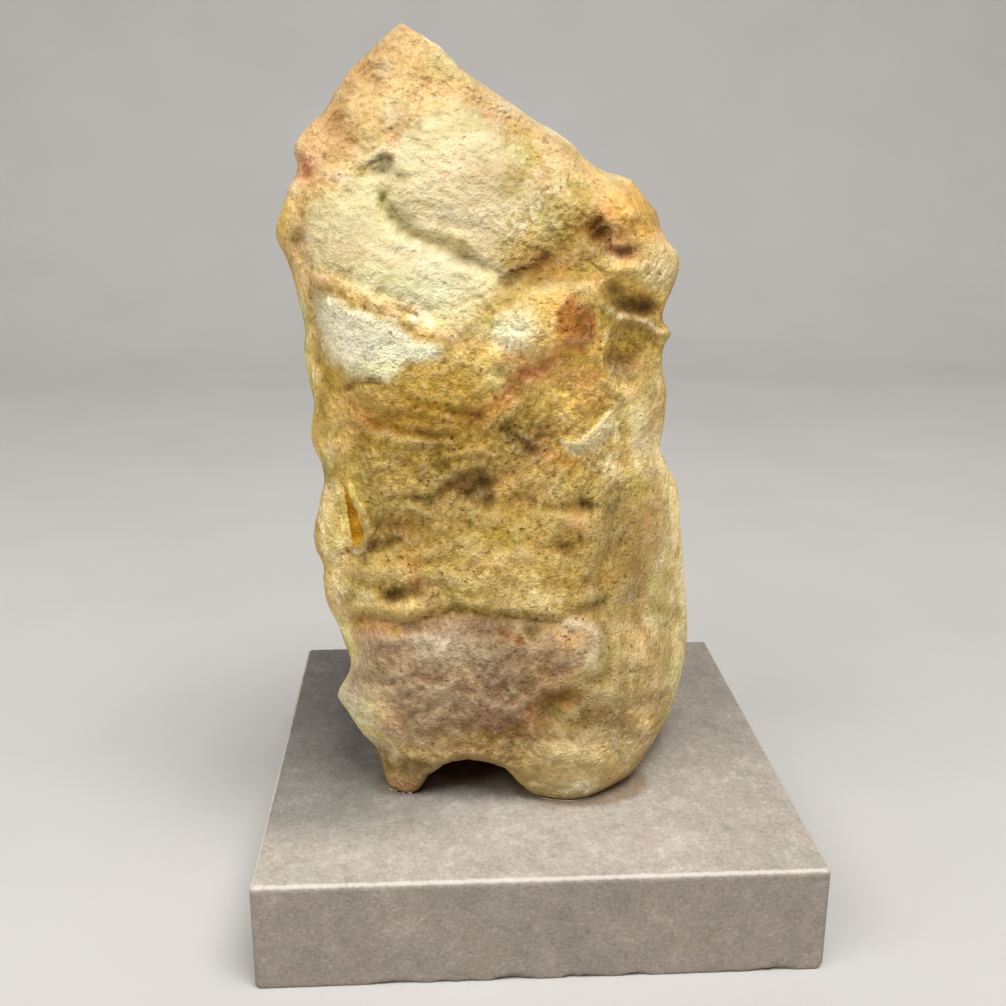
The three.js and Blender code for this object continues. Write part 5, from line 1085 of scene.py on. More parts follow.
# painted light (+) and painted shade (-) over lit lips, shaded slopes, grooves and hollows, mixed with the stone's own
# lighter and darker patches
PAINTED_LIGHT_AND_TONE = cast([
    (540, 224, 24, 13, 20, 0.85), (603, 231, 15, 9, 0, -0.8), (622, 420, 15, 38, 0, 0.7), (650, 540, 12, 50, 0, 0.35), (662, 680, 14, 20, 0, 0.6),
    (415, 315, 18, 9, 15, 0.6), (510, 340, 26, 14, 0, 0.45), (560, 355, 22, 13, 0, 0.5), (490, 372, 16, 22, 20, 0.5), (344, 376, 18, 14, 0, 0.4),
    (462, 318, 24, 12, 0, 0.35), (610, 580, 14, 30, 0, 0.4), (560, 580, 24, 16, 0, 0.25), (380, 720, 22, 14, 20, 0.45), (420, 745, 20, 9, 0, 0.25),
    (560, 781, 36, 13, 0, 0.55), (533, 180, 12, 30, 0, 0.25), (385, 172, 12, 8, 0, -0.5), (330, 250, 14, 14, 0, -0.35), (340, 130, 16, 14, 0, -0.3),
    (482, 111, 24, 15, 25, -0.35), (546, 263, 27, 12, -10, -0.75), (625, 249, 22, 8, 12, -0.5), (650, 215, 14, 20, 0, -0.25), (626, 363, 18, 11, 0, -0.9),
    (586, 334, 13, 13, 0, -0.4), (530, 436, 24, 20, 0, -0.35), (440, 466, 24, 9, 0, -0.45), (482, 480, 20, 14, 0, -0.45), (575, 505, 20, 13, 0, -0.35),
    (400, 535, 24, 12, 0, -0.3), (450, 541, 30, 10, 0, -0.25), (500, 550, 20, 12, 0, -0.25), (562, 550, 24, 12, 0, -0.3), (430, 598, 30, 8, 0, -0.35),
    (490, 652, 18, 28, 0, -0.35), (515, 630, 24, 8, 5, -0.45), (500, 690, 24, 14, 0, -0.45), (520, 722, 30, 14, -10, -0.65), (548, 716, 22, 16, -10, -0.55),
    (575, 688, 36, 9, -12, -0.35), (470, 702, 20, 12, 0, -0.25), (560, 665, 18, 12, 0, -0.2), (406, 790, 14, 9, 0, -0.3), (612, 716, 24, 12, 0, -0.25),
    (460, 425, 26, 10, 0, -0.25), (352, 410, 20, 10, 20, 0.25), (340, 446, 16, 16, 0, 0.25), (470, 760, 24, 7, 0, -0.3),
    (388, 171, 11, 6, 0, -0.5), (386, 151, 14, 7, 0, 0.3), (416, 216, 22, 8, 25, -0.35), (472, 238, 30, 8, 20, -0.3), (480, 256, 30, 10, 25, -0.3), (540, 234, 22, 8, 0, 0.2), (550, 283, 26, 8, 0, -0.45),
    (603, 239, 12, 8, 0, -0.3), (594, 208, 8, 8, 0, 0.4), (625, 252, 16, 6, 0, -0.3), (645, 296, 14, 8, 0, 0.4), (600, 310, 8, 22, 0, 0.35), (640, 333, 10, 8, 0, 0.35),
    (575, 352, 20, 8, 0, 0.3), (488, 384, 13, 13, 0, 0.4), (430, 320, 16, 8, 15, 0.3), (485, 333, 16, 10, 0, 0.3), (550, 400, 40, 24, 0, 0.25), (622, 455, 14, 26, 0, 0.4),
    (518, 736, 24, 10, 0, -0.55), (520, 655, 34, 30, 0, -0.25), (350, 230, 26, 22, 0, -0.28), (500, 190, 34, 26, 0, -0.2), (402, 50, 24, 24, 0, -0.15), (640, 690, 14, 40, 0, 0.25),
    (640, 640, 30, 20, 0, 0.15), (400, 775, 14, 12, 0, 0.25),
    (348, 94, 10, 20, 30, -0.35), (350, 168, 10, 7, 0, 0.35), (548, 228, 20, 9, -20, 0.3), (655, 215, 9, 20, 0, -0.45), (598, 322, 8, 18, 0, 0.35), (632, 312, 18, 4, 4, -0.4),
    (625, 371, 14, 9, 0, -0.4), (345, 520, 11, 40, 0, 0.35), (450, 472, 26, 24, 0, -0.35), (505, 480, 16, 18, 0, -0.5), (530, 440, 24, 18, 0, -0.45), (430, 510, 12, 14, 0, -0.25),
    (400, 536, 22, 14, 0, -0.2), (590, 410, 24, 28, 0, 0.3), (375, 715, 24, 30, 0, 0.35), (570, 783, 40, 9, 0, 0.25), (530, 733, 32, 11, 0, -0.45), (592, 722, 28, 8, 0, -0.35),
    (600, 692, 20, 8, 0, -0.3), (640, 717, 16, 10, 0, 0.45), (415, 594, 30, 7, 0, -0.25), (335, 400, 12, 20, 0, 0.25), (516, 322, 22, 14, 0, -0.15), (352, 289, 14, 7, 15, -0.15),
    (482, 690, 16, 10, 0, -0.25), (480, 480, 20, 18, 0, -0.25),
    (657, 262, 12, 14, 0, 0.3), (545, 330, 14, 12, 0, 0.15), (640, 690, 20, 24, 0, 0.15), (645, 728, 12, 10, 0, 0.2), (570, 462, 18, 10, 0, 0.3), (620, 475, 16, 26, 0, 0.25),
    (470, 466, 12, 8, 0, 0.45), (500, 489, 8, 8, 0, 0.2), (470, 500, 34, 8, -10, -0.25), (480, 690, 14, 9, 0, 0.5), (550, 731, 44, 9, -4, -0.4), (600, 430, 16, 9, -35, 0.3),
    (516, 326, 22, 14, 0, 0.2), (405, 400, 30, 10, 0, 0.12), (390, 465, 24, 14, 0, 0.15), (416, 208, 18, 6, 25, 0.1), (600, 252, 10, 6, 30, -0.3), (632, 236, 14, 6, 0, 0.3),
    (590, 392, 50, 34, 0, 0.3), (545, 378, 24, 12, -35, 0.35), (622, 460, 24, 14, 0, 0.2), (352, 520, 12, 34, 0, 0.35), (308, 350, 8, 60, 0, 0.2), (340, 650, 12, 44, 0, 0.25),
    (384, 722, 20, 20, 0, 0.15), (628, 722, 14, 9, 0, 0.3), (628, 286, 24, 8, 0, 0.3), (626, 214, 18, 12, 0, 0.25), (530, 229, 24, 8, 0, 0.2), (504, 490, 14, 8, 0, 0.2), (562, 456, 18, 9, 0, 0.2),
    (475, 682, 12, 9, 0, 0.3), (480, 618, 24, 7, 0, 0.2), (648, 580, 10, 60, 0, 0.12), (400, 218, 20, 8, 25, -0.35), (505, 335, 7, 24, 15, -0.3), (582, 250, 22, 9, -15, -0.25), (618, 255, 10, 6, 0, -0.25),
    (648, 306, 9, 6, 0, -0.25), (626, 378, 12, 8, 0, -0.3), (362, 428, 20, 6, 10, -0.25), (445, 446, 28, 12, 0, -0.2), (522, 456, 24, 14, 0, -0.3), (470, 511, 32, 9, 0, -0.2), (520, 546, 24, 14, 0, -0.2),
    (400, 595, 16, 7, 0, -0.3), (610, 621, 14, 7, 0, -0.2), (530, 690, 14, 6, -30, -0.3), (580, 706, 14, 8, -30, -0.35), (520, 738, 80, 9, 0, -0.2), (640, 666, 12, 8, 0, -0.2), (400, 125, 16, 12, 0, -0.12),
    (360, 140, 14, 12, 0, -0.12), (565, 152, 14, 8, 30, -0.15), (480, 150, 20, 12, 0, -0.12),
    (605, 345, 22, 14, 0, 0.35), (490, 345, 24, 12, 0, 0.2), (560, 408, 26, 16, 0, 0.25), (632, 366, 14, 12, 0, -0.25), (545, 352, 12, 8, 0, -0.2), (352, 505, 14, 26, 0, 0.25), (640, 485, 10, 30, 0, 0.25),
    (470, 478, 14, 8, 0, 0.25), (508, 488, 12, 7, 0, 0.2), (565, 455, 18, 9, 0, 0.25), (635, 722, 12, 9, 0, 0.3), (380, 710, 14, 12, 0, 0.2), (395, 760, 12, 16, 0, 0.2), (600, 234, 9, 8, 0, 0.25),
    (455, 730, 30, 9, 0, -0.3), (585, 738, 34, 9, 0, -0.25), (520, 690, 16, 6, -30, -0.35), (575, 710, 18, 7, -30, -0.3), (400, 596, 16, 6, 0, -0.25), (500, 520, 26, 12, 0, -0.15), (405, 540, 20, 10, 0, -0.15),
    (412, 222, 14, 5, 30, -0.2), (646, 304, 10, 6, 0, -0.25), (616, 254, 12, 5, 0, -0.2), (540, 455, 14, 10, 0, -0.2), (440, 440, 14, 10, 0, -0.15), (655, 640, 8, 70, 0, 0.1), (570, 785, 40, 10, 0, 0.12),
    (354, 515, 12, 34, 0, 0.35), (344, 665, 12, 26, 0, 0.25), (320, 370, 12, 10, 0, 0.25), (352, 440, 10, 10, 0, 0.25), (385, 712, 14, 14, 0, 0.2), (515, 228, 26, 9, -10, 0.2), (618, 347, 26, 9, 0, 0.3),
    (574, 350, 18, 9, 0, 0.25), (642, 228, 12, 7, 0, 0.25), (620, 278, 32, 7, 5, 0.25), (600, 308, 9, 6, 0, 0.25), (492, 404, 12, 7, -40, 0.35), (570, 396, 26, 8, 0, 0.2), (630, 470, 12, 32, 0, 0.25),
    (470, 479, 13, 6, 0, 0.35), (508, 488, 10, 6, 0, 0.3), (410, 609, 50, 5, 0, 0.25), (420, 584, 24, 5, 0, 0.2), (472, 681, 9, 7, 0, 0.35), (632, 716, 14, 8, 0, 0.35), (408, 220, 16, 6, 25, -0.25),
    (585, 256, 20, 6, -5, -0.3), (618, 255, 9, 5, 0, -0.3), (646, 305, 10, 6, 0, -0.35), (633, 378, 12, 9, 0, -0.3), (348, 390, 7, 12, 0, -0.2), (382, 430, 16, 6, 0, -0.25), (426, 430, 18, 6, 0, -0.25),
    (545, 456, 9, 16, 0, -0.3), (460, 442, 24, 7, 0, -0.25), (470, 522, 36, 14, 0, -0.25), (412, 537, 22, 9, 0, -0.25), (410, 595, 20, 5, 0, -0.3), (540, 630, 24, 9, 0, -0.2), (610, 620, 13, 6, 0, -0.25),
    (640, 665, 10, 7, 0, -0.25), (455, 728, 20, 8, 0, -0.25), (580, 735, 30, 6, 0, -0.25), (584, 702, 12, 6, -30, -0.4), (350, 130, 14, 10, 0, -0.12), (398, 118, 12, 10, 0, -0.12),
    (540, 226, 24, 14, 0, 0.15), (532, 276, 26, 9, -12, -0.2), (520, 258, 10, 7, 0, -0.1), (354, 520, 10, 30, 0, 0.15), (660, 265, 10, 14, 0, 0.15), (560, 440, 18, 8, 0, 0.15), (606, 350, 14, 8, 0, 0.15)], [
    (12, 0.55, [(300, 280), (303, 330), (308, 380), (312, 420), (318, 470), (320, 520), (325, 580), (335, 620), (345, 650), (343, 690), (352, 720), (370, 750), (385, 780)]),
    (9, 0.7, [(615, 272), (635, 285), (655, 300)]), (5, -0.45, [(608, 308), (630, 318), (650, 322)]),
    (11, 0.35, [(667, 300), (661, 400), (665, 450), (680, 500), (687, 600), (685, 660), (674, 710)]),
    (9, 0.45, [(320, 275), (350, 290), (400, 310), (430, 325)]), (8, 0.35, [(345, 615), (380, 625), (420, 618)]), (10, -0.35, [(396, 28), (372, 52), (346, 84), (330, 108)]), (14, 0.15, [(325, 440), (330, 520), (335, 600), (345, 660)]), (10, 0.22, [(655, 440), (668, 500), (676, 600), (674, 680), (652, 740)]), (9, 0.3, [(345, 440), (348, 480)]), (8, 0.3, [(328, 372), (350, 396), (374, 410)]), (8, 0.3, [(432, 226), (465, 240), (500, 256)]), (7, -0.28, [(455, 256), (480, 266), (512, 282)]), (7, 0.35, [(520, 718), (550, 706), (582, 694)]), (7, 0.2, [(335, 590), (345, 625), (354, 660)]), (6, 0.2, [(305, 330), (312, 420), (322, 470)]), (7, 0.25, [(620, 210), (648, 222), (655, 236)]), (6, 0.3, [(424, 218), (448, 228), (470, 240)]), (7, -0.3, [(462, 252), (486, 264), (510, 274)]), (6, 0.3, [(530, 716), (552, 710), (574, 698)])])
# iron red (+) against green (-)
WARM = cast([
    (340, 135, 14, 14, 0, 0.4), (310, 165, 12, 14, 0, 0.5), (305, 245, 10, 20, 0, 0.3), (350, 250, 26, 12, 0, 0.2), (480, 240, 24, 14, 0, 0.2),
    (600, 226, 18, 12, 0, 0.7), (625, 250, 20, 10, 10, 0.8), (557, 266, 32, 14, -15, 0.7), (555, 340, 14, 14, 0, 0.5), (582, 352, 24, 20, 0, 0.4),
    (630, 365, 16, 12, 0, 0.7), (600, 280, 12, 12, 0, 0.4), (640, 302, 16, 10, 0, 0.3), (444, 440, 40, 14, 0, 0.4), (540, 440, 22, 16, 0, 0.5),
    (440, 400, 36, 12, 0, 0.2), (410, 470, 40, 18, 0, 0.2), (500, 560, 22, 12, 0, 0.3), (580, 520, 12, 14, 0, 0.4), (510, 515, 24, 12, 0, 0.2),
    (370, 640, 20, 8, 0, 0.4), (555, 672, 30, 18, 0, 0.25), (530, 720, 30, 16, 0, 0.4), (450, 745, 32, 11, 0, 0.4), (405, 790, 20, 10, 0, 0.7),
    (592, 390, 13, 20, 0, 0.3), (510, 478, 20, 12, 0, 0.2), (370, 150, 14, 20, 0, -0.4), (400, 112, 14, 16, 0, -0.2), (540, 210, 20, 28, 0, -0.3),
    (532, 152, 20, 18, 0, -0.35), (572, 188, 20, 14, 0, -0.3), (415, 320, 26, 9, 10, -0.4), (480, 326, 22, 11, 0, -0.4), (590, 314, 12, 9, 0, -0.2),
    (500, 366, 16, 9, 0, -0.2), (620, 420, 16, 30, 0, -0.35), (632, 480, 16, 30, 0, -0.5), (652, 580, 18, 60, 0, -0.5), (610, 602, 20, 12, 0, -0.3),
    (600, 660, 18, 14, 0, -0.4), (678, 680, 14, 22, 0, -0.5), (325, 470, 12, 14, 0, -0.4), (335, 535, 12, 30, 0, -0.3), (572, 786, 30, 9, 0, -0.5),
    (600, 234, 12, 9, 0, 0.5), (630, 260, 18, 9, 0, 0.4), (560, 300, 20, 22, 0, 0.45), (635, 322, 16, 10, 0, 0.45), (632, 380, 14, 24, 0, 0.35), (575, 376, 20, 8, 0, 0.4),
    (460, 465, 30, 26, 0, 0.3), (425, 540, 16, 12, 0, 0.25), (540, 550, 24, 14, 0, 0.25), (650, 530, 10, 40, 0, 0.25), (545, 715, 50, 26, 0, 0.4), (402, 792, 12, 8, 0, 0.5),
    (495, 380, 12, 10, 0, -0.6), (560, 352, 16, 8, 0, -0.6), (585, 268, 12, 9, 0, -0.35), (420, 430, 14, 7, 0, -0.2), (350, 170, 12, 9, 0, -0.4), (632, 480, 16, 30, 0, 0.25),
    (400, 275, 60, 22, 20, -0.18), (470, 150, 40, 20, 20, 0.05), (400, 768, 10, 12, 0, -0.25),
    (440, 66, 20, 18, 0, -0.25), (400, 108, 16, 14, 0, -0.2), (538, 262, 20, 9, -15, 0.45), (608, 245, 16, 12, 30, 0.35), (660, 245, 9, 26, 0, 0.35), (535, 374, 18, 8, 0, 0.35),
    (580, 388, 14, 9, 0, 0.35), (540, 460, 24, 20, 0, 0.35), (500, 482, 14, 14, 0, 0.3), (455, 490, 14, 9, 0, 0.25), (335, 520, 12, 40, 0, -0.05), (335, 650, 12, 36, 0, -0.4),
    (496, 680, 9, 24, 0, 0.3), (536, 650, 14, 10, 0, 0.25), (518, 735, 24, 10, 0, 0.4), (402, 790, 12, 9, 0, 0.4), (572, 715, 24, 8, 0, -0.25), (375, 432, 18, 9, 0, 0.35),
    (545, 222, 18, 20, 0, -0.25), (340, 352, 10, 18, 0, 0.2), (645, 600, 10, 44, 0, 0.25), (555, 684, 20, 8, 0, 0.3), (672, 722, 8, 14, 0, -0.3), (337, 660, 9, 40, 0, -0.25),
    (570, 715, 30, 8, 0, -0.2),
    (510, 320, 14, 14, 0, 0.3), (530, 378, 18, 12, -20, 0.45), (558, 350, 12, 8, 0, 0.25), (498, 130, 20, 14, 0, 0.2), (397, 150, 8, 16, 0, 0.2), (424, 325, 12, 8, 0, 0.2), (322, 330, 12, 14, 0, 0.2),
    (380, 435, 12, 8, 0, 0.2), (574, 708, 14, 10, 0, 0.25), (410, 785, 14, 8, 0, 0.25), (540, 218, 28, 22, 0, -0.22), (574, 315, 12, 8, 0, -0.2), (612, 222, 12, 12, 0, -0.2), (346, 500, 8, 20, 0, -0.2),
    (328, 470, 8, 18, 0, -0.25), (348, 650, 12, 50, 0, -0.2), (482, 332, 10, 10, 0, -0.2), (548, 714, 16, 8, 0, -0.25), (668, 720, 12, 18, 0, -0.25), (590, 364, 10, 18, 0, -0.15),
    (508, 360, 14, 10, 0, 0.25), (512, 410, 12, 14, 0, 0.25), (400, 145, 8, 16, 0, 0.15), (452, 106, 14, 8, 0, 0.2), (460, 155, 12, 12, 0, 0.15), (622, 262, 14, 9, 30, 0.2), (620, 306, 8, 10, 0, 0.25),
    (346, 500, 8, 30, 0, -0.2), (326, 470, 7, 14, 0, -0.2), (340, 630, 10, 40, 0, -0.25), (360, 700, 24, 30, 0, -0.15), (600, 515, 30, 26, 0, -0.12), (560, 785, 40, 12, 0, -0.12), (600, 170, 20, 9, 30, -0.2),
    (345, 135, 8, 12, 0, -0.1), (470, 335, 12, 9, 0, -0.2), (570, 318, 8, 8, 0, -0.2), (536, 124, 14, 9, 0, -0.15), (552, 712, 16, 8, 0, -0.2), (300, 144, 7, 12, 0, -0.2), (650, 190, 14, 30, 0, -0.1),
    (334, 530, 7, 20, 0, 0.2), (356, 530, 7, 36, 0, -0.2), (490, 748, 20, 8, 0, 0.3), (405, 785, 14, 9, 0, 0.25), (575, 705, 20, 12, 0, 0.25), (460, 520, 40, 16, 0, 0.12), (570, 520, 20, 16, 0, 0.15),
    (395, 490, 20, 10, 0, 0.15), (600, 400, 24, 12, 0, 0.2), (620, 325, 14, 10, 0, 0.2), (410, 600, 16, 6, 0, 0.2), (400, 128, 6, 20, 0, 0.2), (382, 130, 8, 14, 0, -0.2), (350, 670, 14, 34, 0, -0.15),
    (375, 715, 14, 12, 0, -0.2), (452, 70, 26, 10, 35, -0.15), (645, 510, 8, 30, 0, -0.15),
    (513, 326, 18, 17, 0, -0.35), (540, 226, 22, 14, 0, -0.1), (656, 262, 12, 16, 0, -0.2), (345, 40, 10, 10, 0, 0.1), (560, 330, 12, 12, 0, -0.15)], [
    (10, 0.25, [(560, 355), (530, 370), (500, 400), (470, 415)]), (8, 0.35, [(345, 396), (362, 420), (390, 430), (420, 430)]),
    (12, 0.5, [(400, 530), (415, 580), (430, 600)]), (12, -0.4, [(440, 50), (520, 110), (580, 150), (620, 170)]),
    (8, -0.35, [(300, 300), (308, 400)]), (13, -0.45, [(325, 620), (345, 700), (380, 740)]), (6, -0.3, [(302, 310), (304, 410)]), (10, 0.4, [(355, 424), (400, 412), (440, 416), (480, 420), (512, 404)]), (9, 0.25, [(330, 250), (380, 250), (420, 268)]), (6, -0.3, [(300, 300), (304, 420)]), (6, -0.25, [(684, 560), (685, 660), (670, 724)]), (5, -0.25, [(302, 330), (306, 420)]), (5, -0.2, [(302, 330), (306, 420)])])
# blue-grey (+) against yellow (-)
COOL = cast([
    (400, 115, 14, 14, 0, 0.4), (375, 155, 20, 14, 0, 0.4), (540, 192, 15, 46, 0, 0.6), (440, 230, 26, 16, 0, 0.25), (430, 262, 60, 36, 20, 0.25),
    (330, 275, 14, 9, 0, 0.4), (415, 315, 20, 9, 15, 0.5), (475, 330, 24, 12, 0, 0.5), (510, 352, 20, 10, 0, 0.35), (590, 310, 12, 12, 0, 0.35),
    (325, 480, 10, 20, 0, 0.55), (320, 540, 10, 20, 0, 0.2), (335, 610, 12, 16, 0, 0.6), (545, 495, 24, 12, 0, 0.45), (650, 440, 22, 36, 0, 0.3),
    (652, 530, 14, 44, 0, 0.55), (625, 600, 36, 14, 0, 0.45), (590, 588, 18, 12, 0, 0.2), (500, 612, 40, 7, 0, 0.2), (440, 642, 24, 10, 0, 0.2),
    (666, 690, 15, 22, 0, 0.5), (560, 786, 40, 12, 0, 0.5), (650, 738, 14, 14, 0, 0.35), (278, 225, 8, 22, 0, -0.55), (600, 226, 14, 10, 0, -0.5),
    (640, 220, 22, 22, 0, -0.3), (562, 270, 30, 22, 0, -0.5), (580, 332, 12, 10, 0, -0.4), (542, 304, 18, 12, 0, -0.25), (630, 352, 20, 22, 0, -0.65),
    (330, 362, 10, 30, 0, -0.3), (380, 430, 26, 12, 0, -0.7), (440, 414, 40, 18, 0, -0.7), (462, 440, 24, 13, 0, -0.5), (520, 430, 24, 13, 0, -0.35),
    (480, 480, 30, 12, 0, -0.25), (570, 450, 14, 14, 0, -0.3), (410, 540, 20, 16, 0, -0.35), (500, 532, 24, 22, 0, -0.25), (500, 572, 24, 10, 0, -0.2),
    (440, 600, 30, 6, 0, -0.25), (540, 670, 18, 20, 0, -0.5), (520, 635, 24, 8, 0, -0.4), (640, 640, 12, 10, 0, -0.2), (450, 730, 40, 10, 0, -0.3),
    (405, 793, 18, 8, 0, -0.9), (350, 135, 14, 10, 0, -0.2),
    (532, 226, 16, 12, 0, 0.5), (402, 205, 12, 9, 0, 0.3), (345, 175, 10, 8, 0, 0.4), (410, 318, 16, 8, 0, 0.3), (482, 380, 12, 10, 0, 0.3), (622, 470, 14, 40, 0, 0.3),
    (652, 560, 12, 34, 0, 0.3), (600, 625, 24, 10, 0, 0.3), (388, 745, 14, 14, 0, 0.4), (590, 788, 34, 8, 0, 0.3), (280, 225, 8, 16, 0, -0.3), (538, 266, 20, 8, -15, -0.5),
    (602, 234, 10, 8, 0, -0.5), (635, 252, 18, 12, 0, -0.35), (572, 340, 12, 18, 0, -0.4), (630, 365, 14, 14, 0, -0.3), (550, 315, 18, 22, 0, -0.3), (430, 430, 50, 26, 0, -0.4),
    (410, 540, 14, 10, 0, -0.3), (500, 540, 26, 22, 0, -0.25), (545, 702, 30, 16, 0, -0.3), (402, 794, 12, 8, 0, -0.4), (450, 200, 80, 60, 20, 0.12), (400, 768, 10, 12, 0, 0.3),
    (545, 266, 22, 8, -15, -0.3), (566, 312, 14, 24, 0, -0.45), (582, 340, 12, 10, 0, -0.35), (638, 382, 12, 24, 0, -0.5), (600, 232, 10, 8, 0, -0.4), (630, 255, 16, 14, 0, -0.25),
    (436, 402, 40, 18, 0, -0.35), (380, 436, 16, 12, 0, -0.35), (450, 460, 16, 22, 0, -0.5), (520, 450, 22, 30, 0, -0.3), (406, 550, 14, 20, 0, -0.35), (500, 530, 22, 26, 0, -0.2),
    (345, 445, 10, 12, 0, 0.3), (342, 550, 14, 70, 0, 0.35), (335, 620, 12, 14, 0, 0.3), (480, 330, 20, 10, 0, 0.25), (410, 320, 16, 7, 0, 0.2), (490, 378, 12, 12, 0, 0.25),
    (620, 440, 14, 44, 0, 0.35), (655, 550, 26, 70, 0, 0.22), (610, 612, 24, 9, 0, 0.25), (630, 730, 24, 30, 0, 0.2), (380, 740, 16, 12, 0, 0.25), (500, 760, 12, 9, 0, 0.25),
    (545, 710, 22, 18, 0, -0.25), (402, 795, 12, 8, 0, -0.5),
    (640, 590, 30, 50, 0, 0.25), (630, 680, 24, 30, 0, 0.25), (350, 560, 10, 22, 0, 0.25), (337, 612, 10, 12, 0, 0.25), (332, 522, 10, 20, 0, -0.25), (380, 430, 14, 10, 0, -0.25),
    (545, 232, 14, 12, 0, 0.3), (640, 560, 16, 40, 0, 0.15),
    (540, 222, 20, 24, 0, 0.25), (342, 610, 10, 14, 0, 0.3), (610, 550, 20, 50, 0, 0.2), (305, 370, 8, 70, 0, 0.2), (340, 412, 14, 9, 0, 0.2), (490, 602, 26, 9, 0, 0.2), (568, 195, 18, 9, 0, 0.2),
    (592, 252, 12, 8, 0, 0.2), (655, 312, 8, 12, 0, 0.25), (660, 380, 8, 20, 0, 0.2), (570, 420, 18, 8, 0, 0.2), (500, 322, 14, 14, 0, -0.3), (545, 345, 16, 8, 0, -0.2), (600, 232, 12, 8, 0, -0.4),
    (625, 268, 16, 8, 30, -0.2), (630, 320, 16, 8, 0, -0.25), (374, 368, 34, 8, 0, -0.25), (382, 433, 12, 8, 0, -0.25), (500, 410, 12, 8, 0, -0.2), (560, 450, 16, 8, 0, -0.2), (508, 482, 10, 10, 0, -0.2),
    (290, 240, 10, 24, 0, -0.2), (402, 794, 14, 6, 0, -0.5), (545, 730, 24, 8, 0, -0.2),
    (475, 335, 14, 12, 0, 0.25), (545, 228, 16, 14, 0, 0.2), (450, 455, 26, 14, 0, -0.2), (630, 316, 16, 9, 0, -0.25), (382, 433, 14, 8, 0, -0.25), (535, 360, 16, 8, 0, -0.25), (395, 400, 26, 8, 0, 0.1),
    (490, 275, 14, 8, 30, -0.2), (600, 232, 12, 8, 0, -0.2), (625, 262, 18, 6, 30, -0.2), (360, 570, 8, 16, 0, 0.25), (340, 616, 9, 14, 0, 0.25), (590, 560, 26, 20, 0, 0.15), (560, 785, 50, 14, 0, 0.15),
    (335, 540, 8, 12, 0, -0.15), (400, 600, 22, 8, 0, -0.15),
    (338, 625, 9, 20, 0, 0.35), (475, 335, 12, 12, 0, 0.2), (382, 433, 12, 7, 0, -0.3), (455, 462, 34, 10, 0, -0.2), (535, 360, 16, 8, 0, -0.2), (625, 318, 16, 9, 0, -0.25), (545, 225, 16, 16, 0, 0.2),
    (600, 232, 10, 8, 0, -0.3), (630, 268, 16, 6, 35, -0.2), (376, 366, 40, 8, 0, -0.2), (345, 412, 12, 20, 0, 0.15), (610, 500, 26, 40, 0, 0.15), (640, 660, 9, 12, 0, -0.2), (550, 730, 30, 9, 0, -0.2),
    (513, 328, 18, 16, 0, 0.2), (540, 226, 22, 14, 0, 0.2), (655, 262, 14, 16, 0, 0.15), (350, 520, 8, 26, 0, 0.2)], [
    (15, 0.4, [(440, 50), (520, 108), (600, 165)]), (13, 0.5, [(340, 640), (350, 700), (372, 750)]), (9, 0.3, [(325, 450), (322, 520), (330, 600), (340, 640)]), (7, 0.3, [(302, 300), (306, 440)]), (6, 0.3, [(684, 560), (685, 660), (670, 724)]), (7, 0.2, [(330, 450), (334, 480)]), (7, 0.25, [(302, 300), (308, 440)])])
# the tone channel carries that painted light and shade
M["tone"] = 0.5 + 0.5 * PAINTED_LIGHT_AND_TONE
M["warm"] = 0.5 + 0.5 * WARM
M["cool"] = 0.5 + 0.5 * COOL

ZONES = ["tan", "cream", "white", "ochre",
         "mauve", "lobe", "pale", "green",
         "orange", "pink", "red", "brown",
         "dark", "crust", "grey", "amber",
         "foot", "sand", "blush", "olive",
         "painted_shade", "painted_light", "tone", "warm",
         "cool"]
ZONE_MAP = np.stack([np.clip(M[k], 0, 1) for k in ZONES], -1).astype(np.float32)


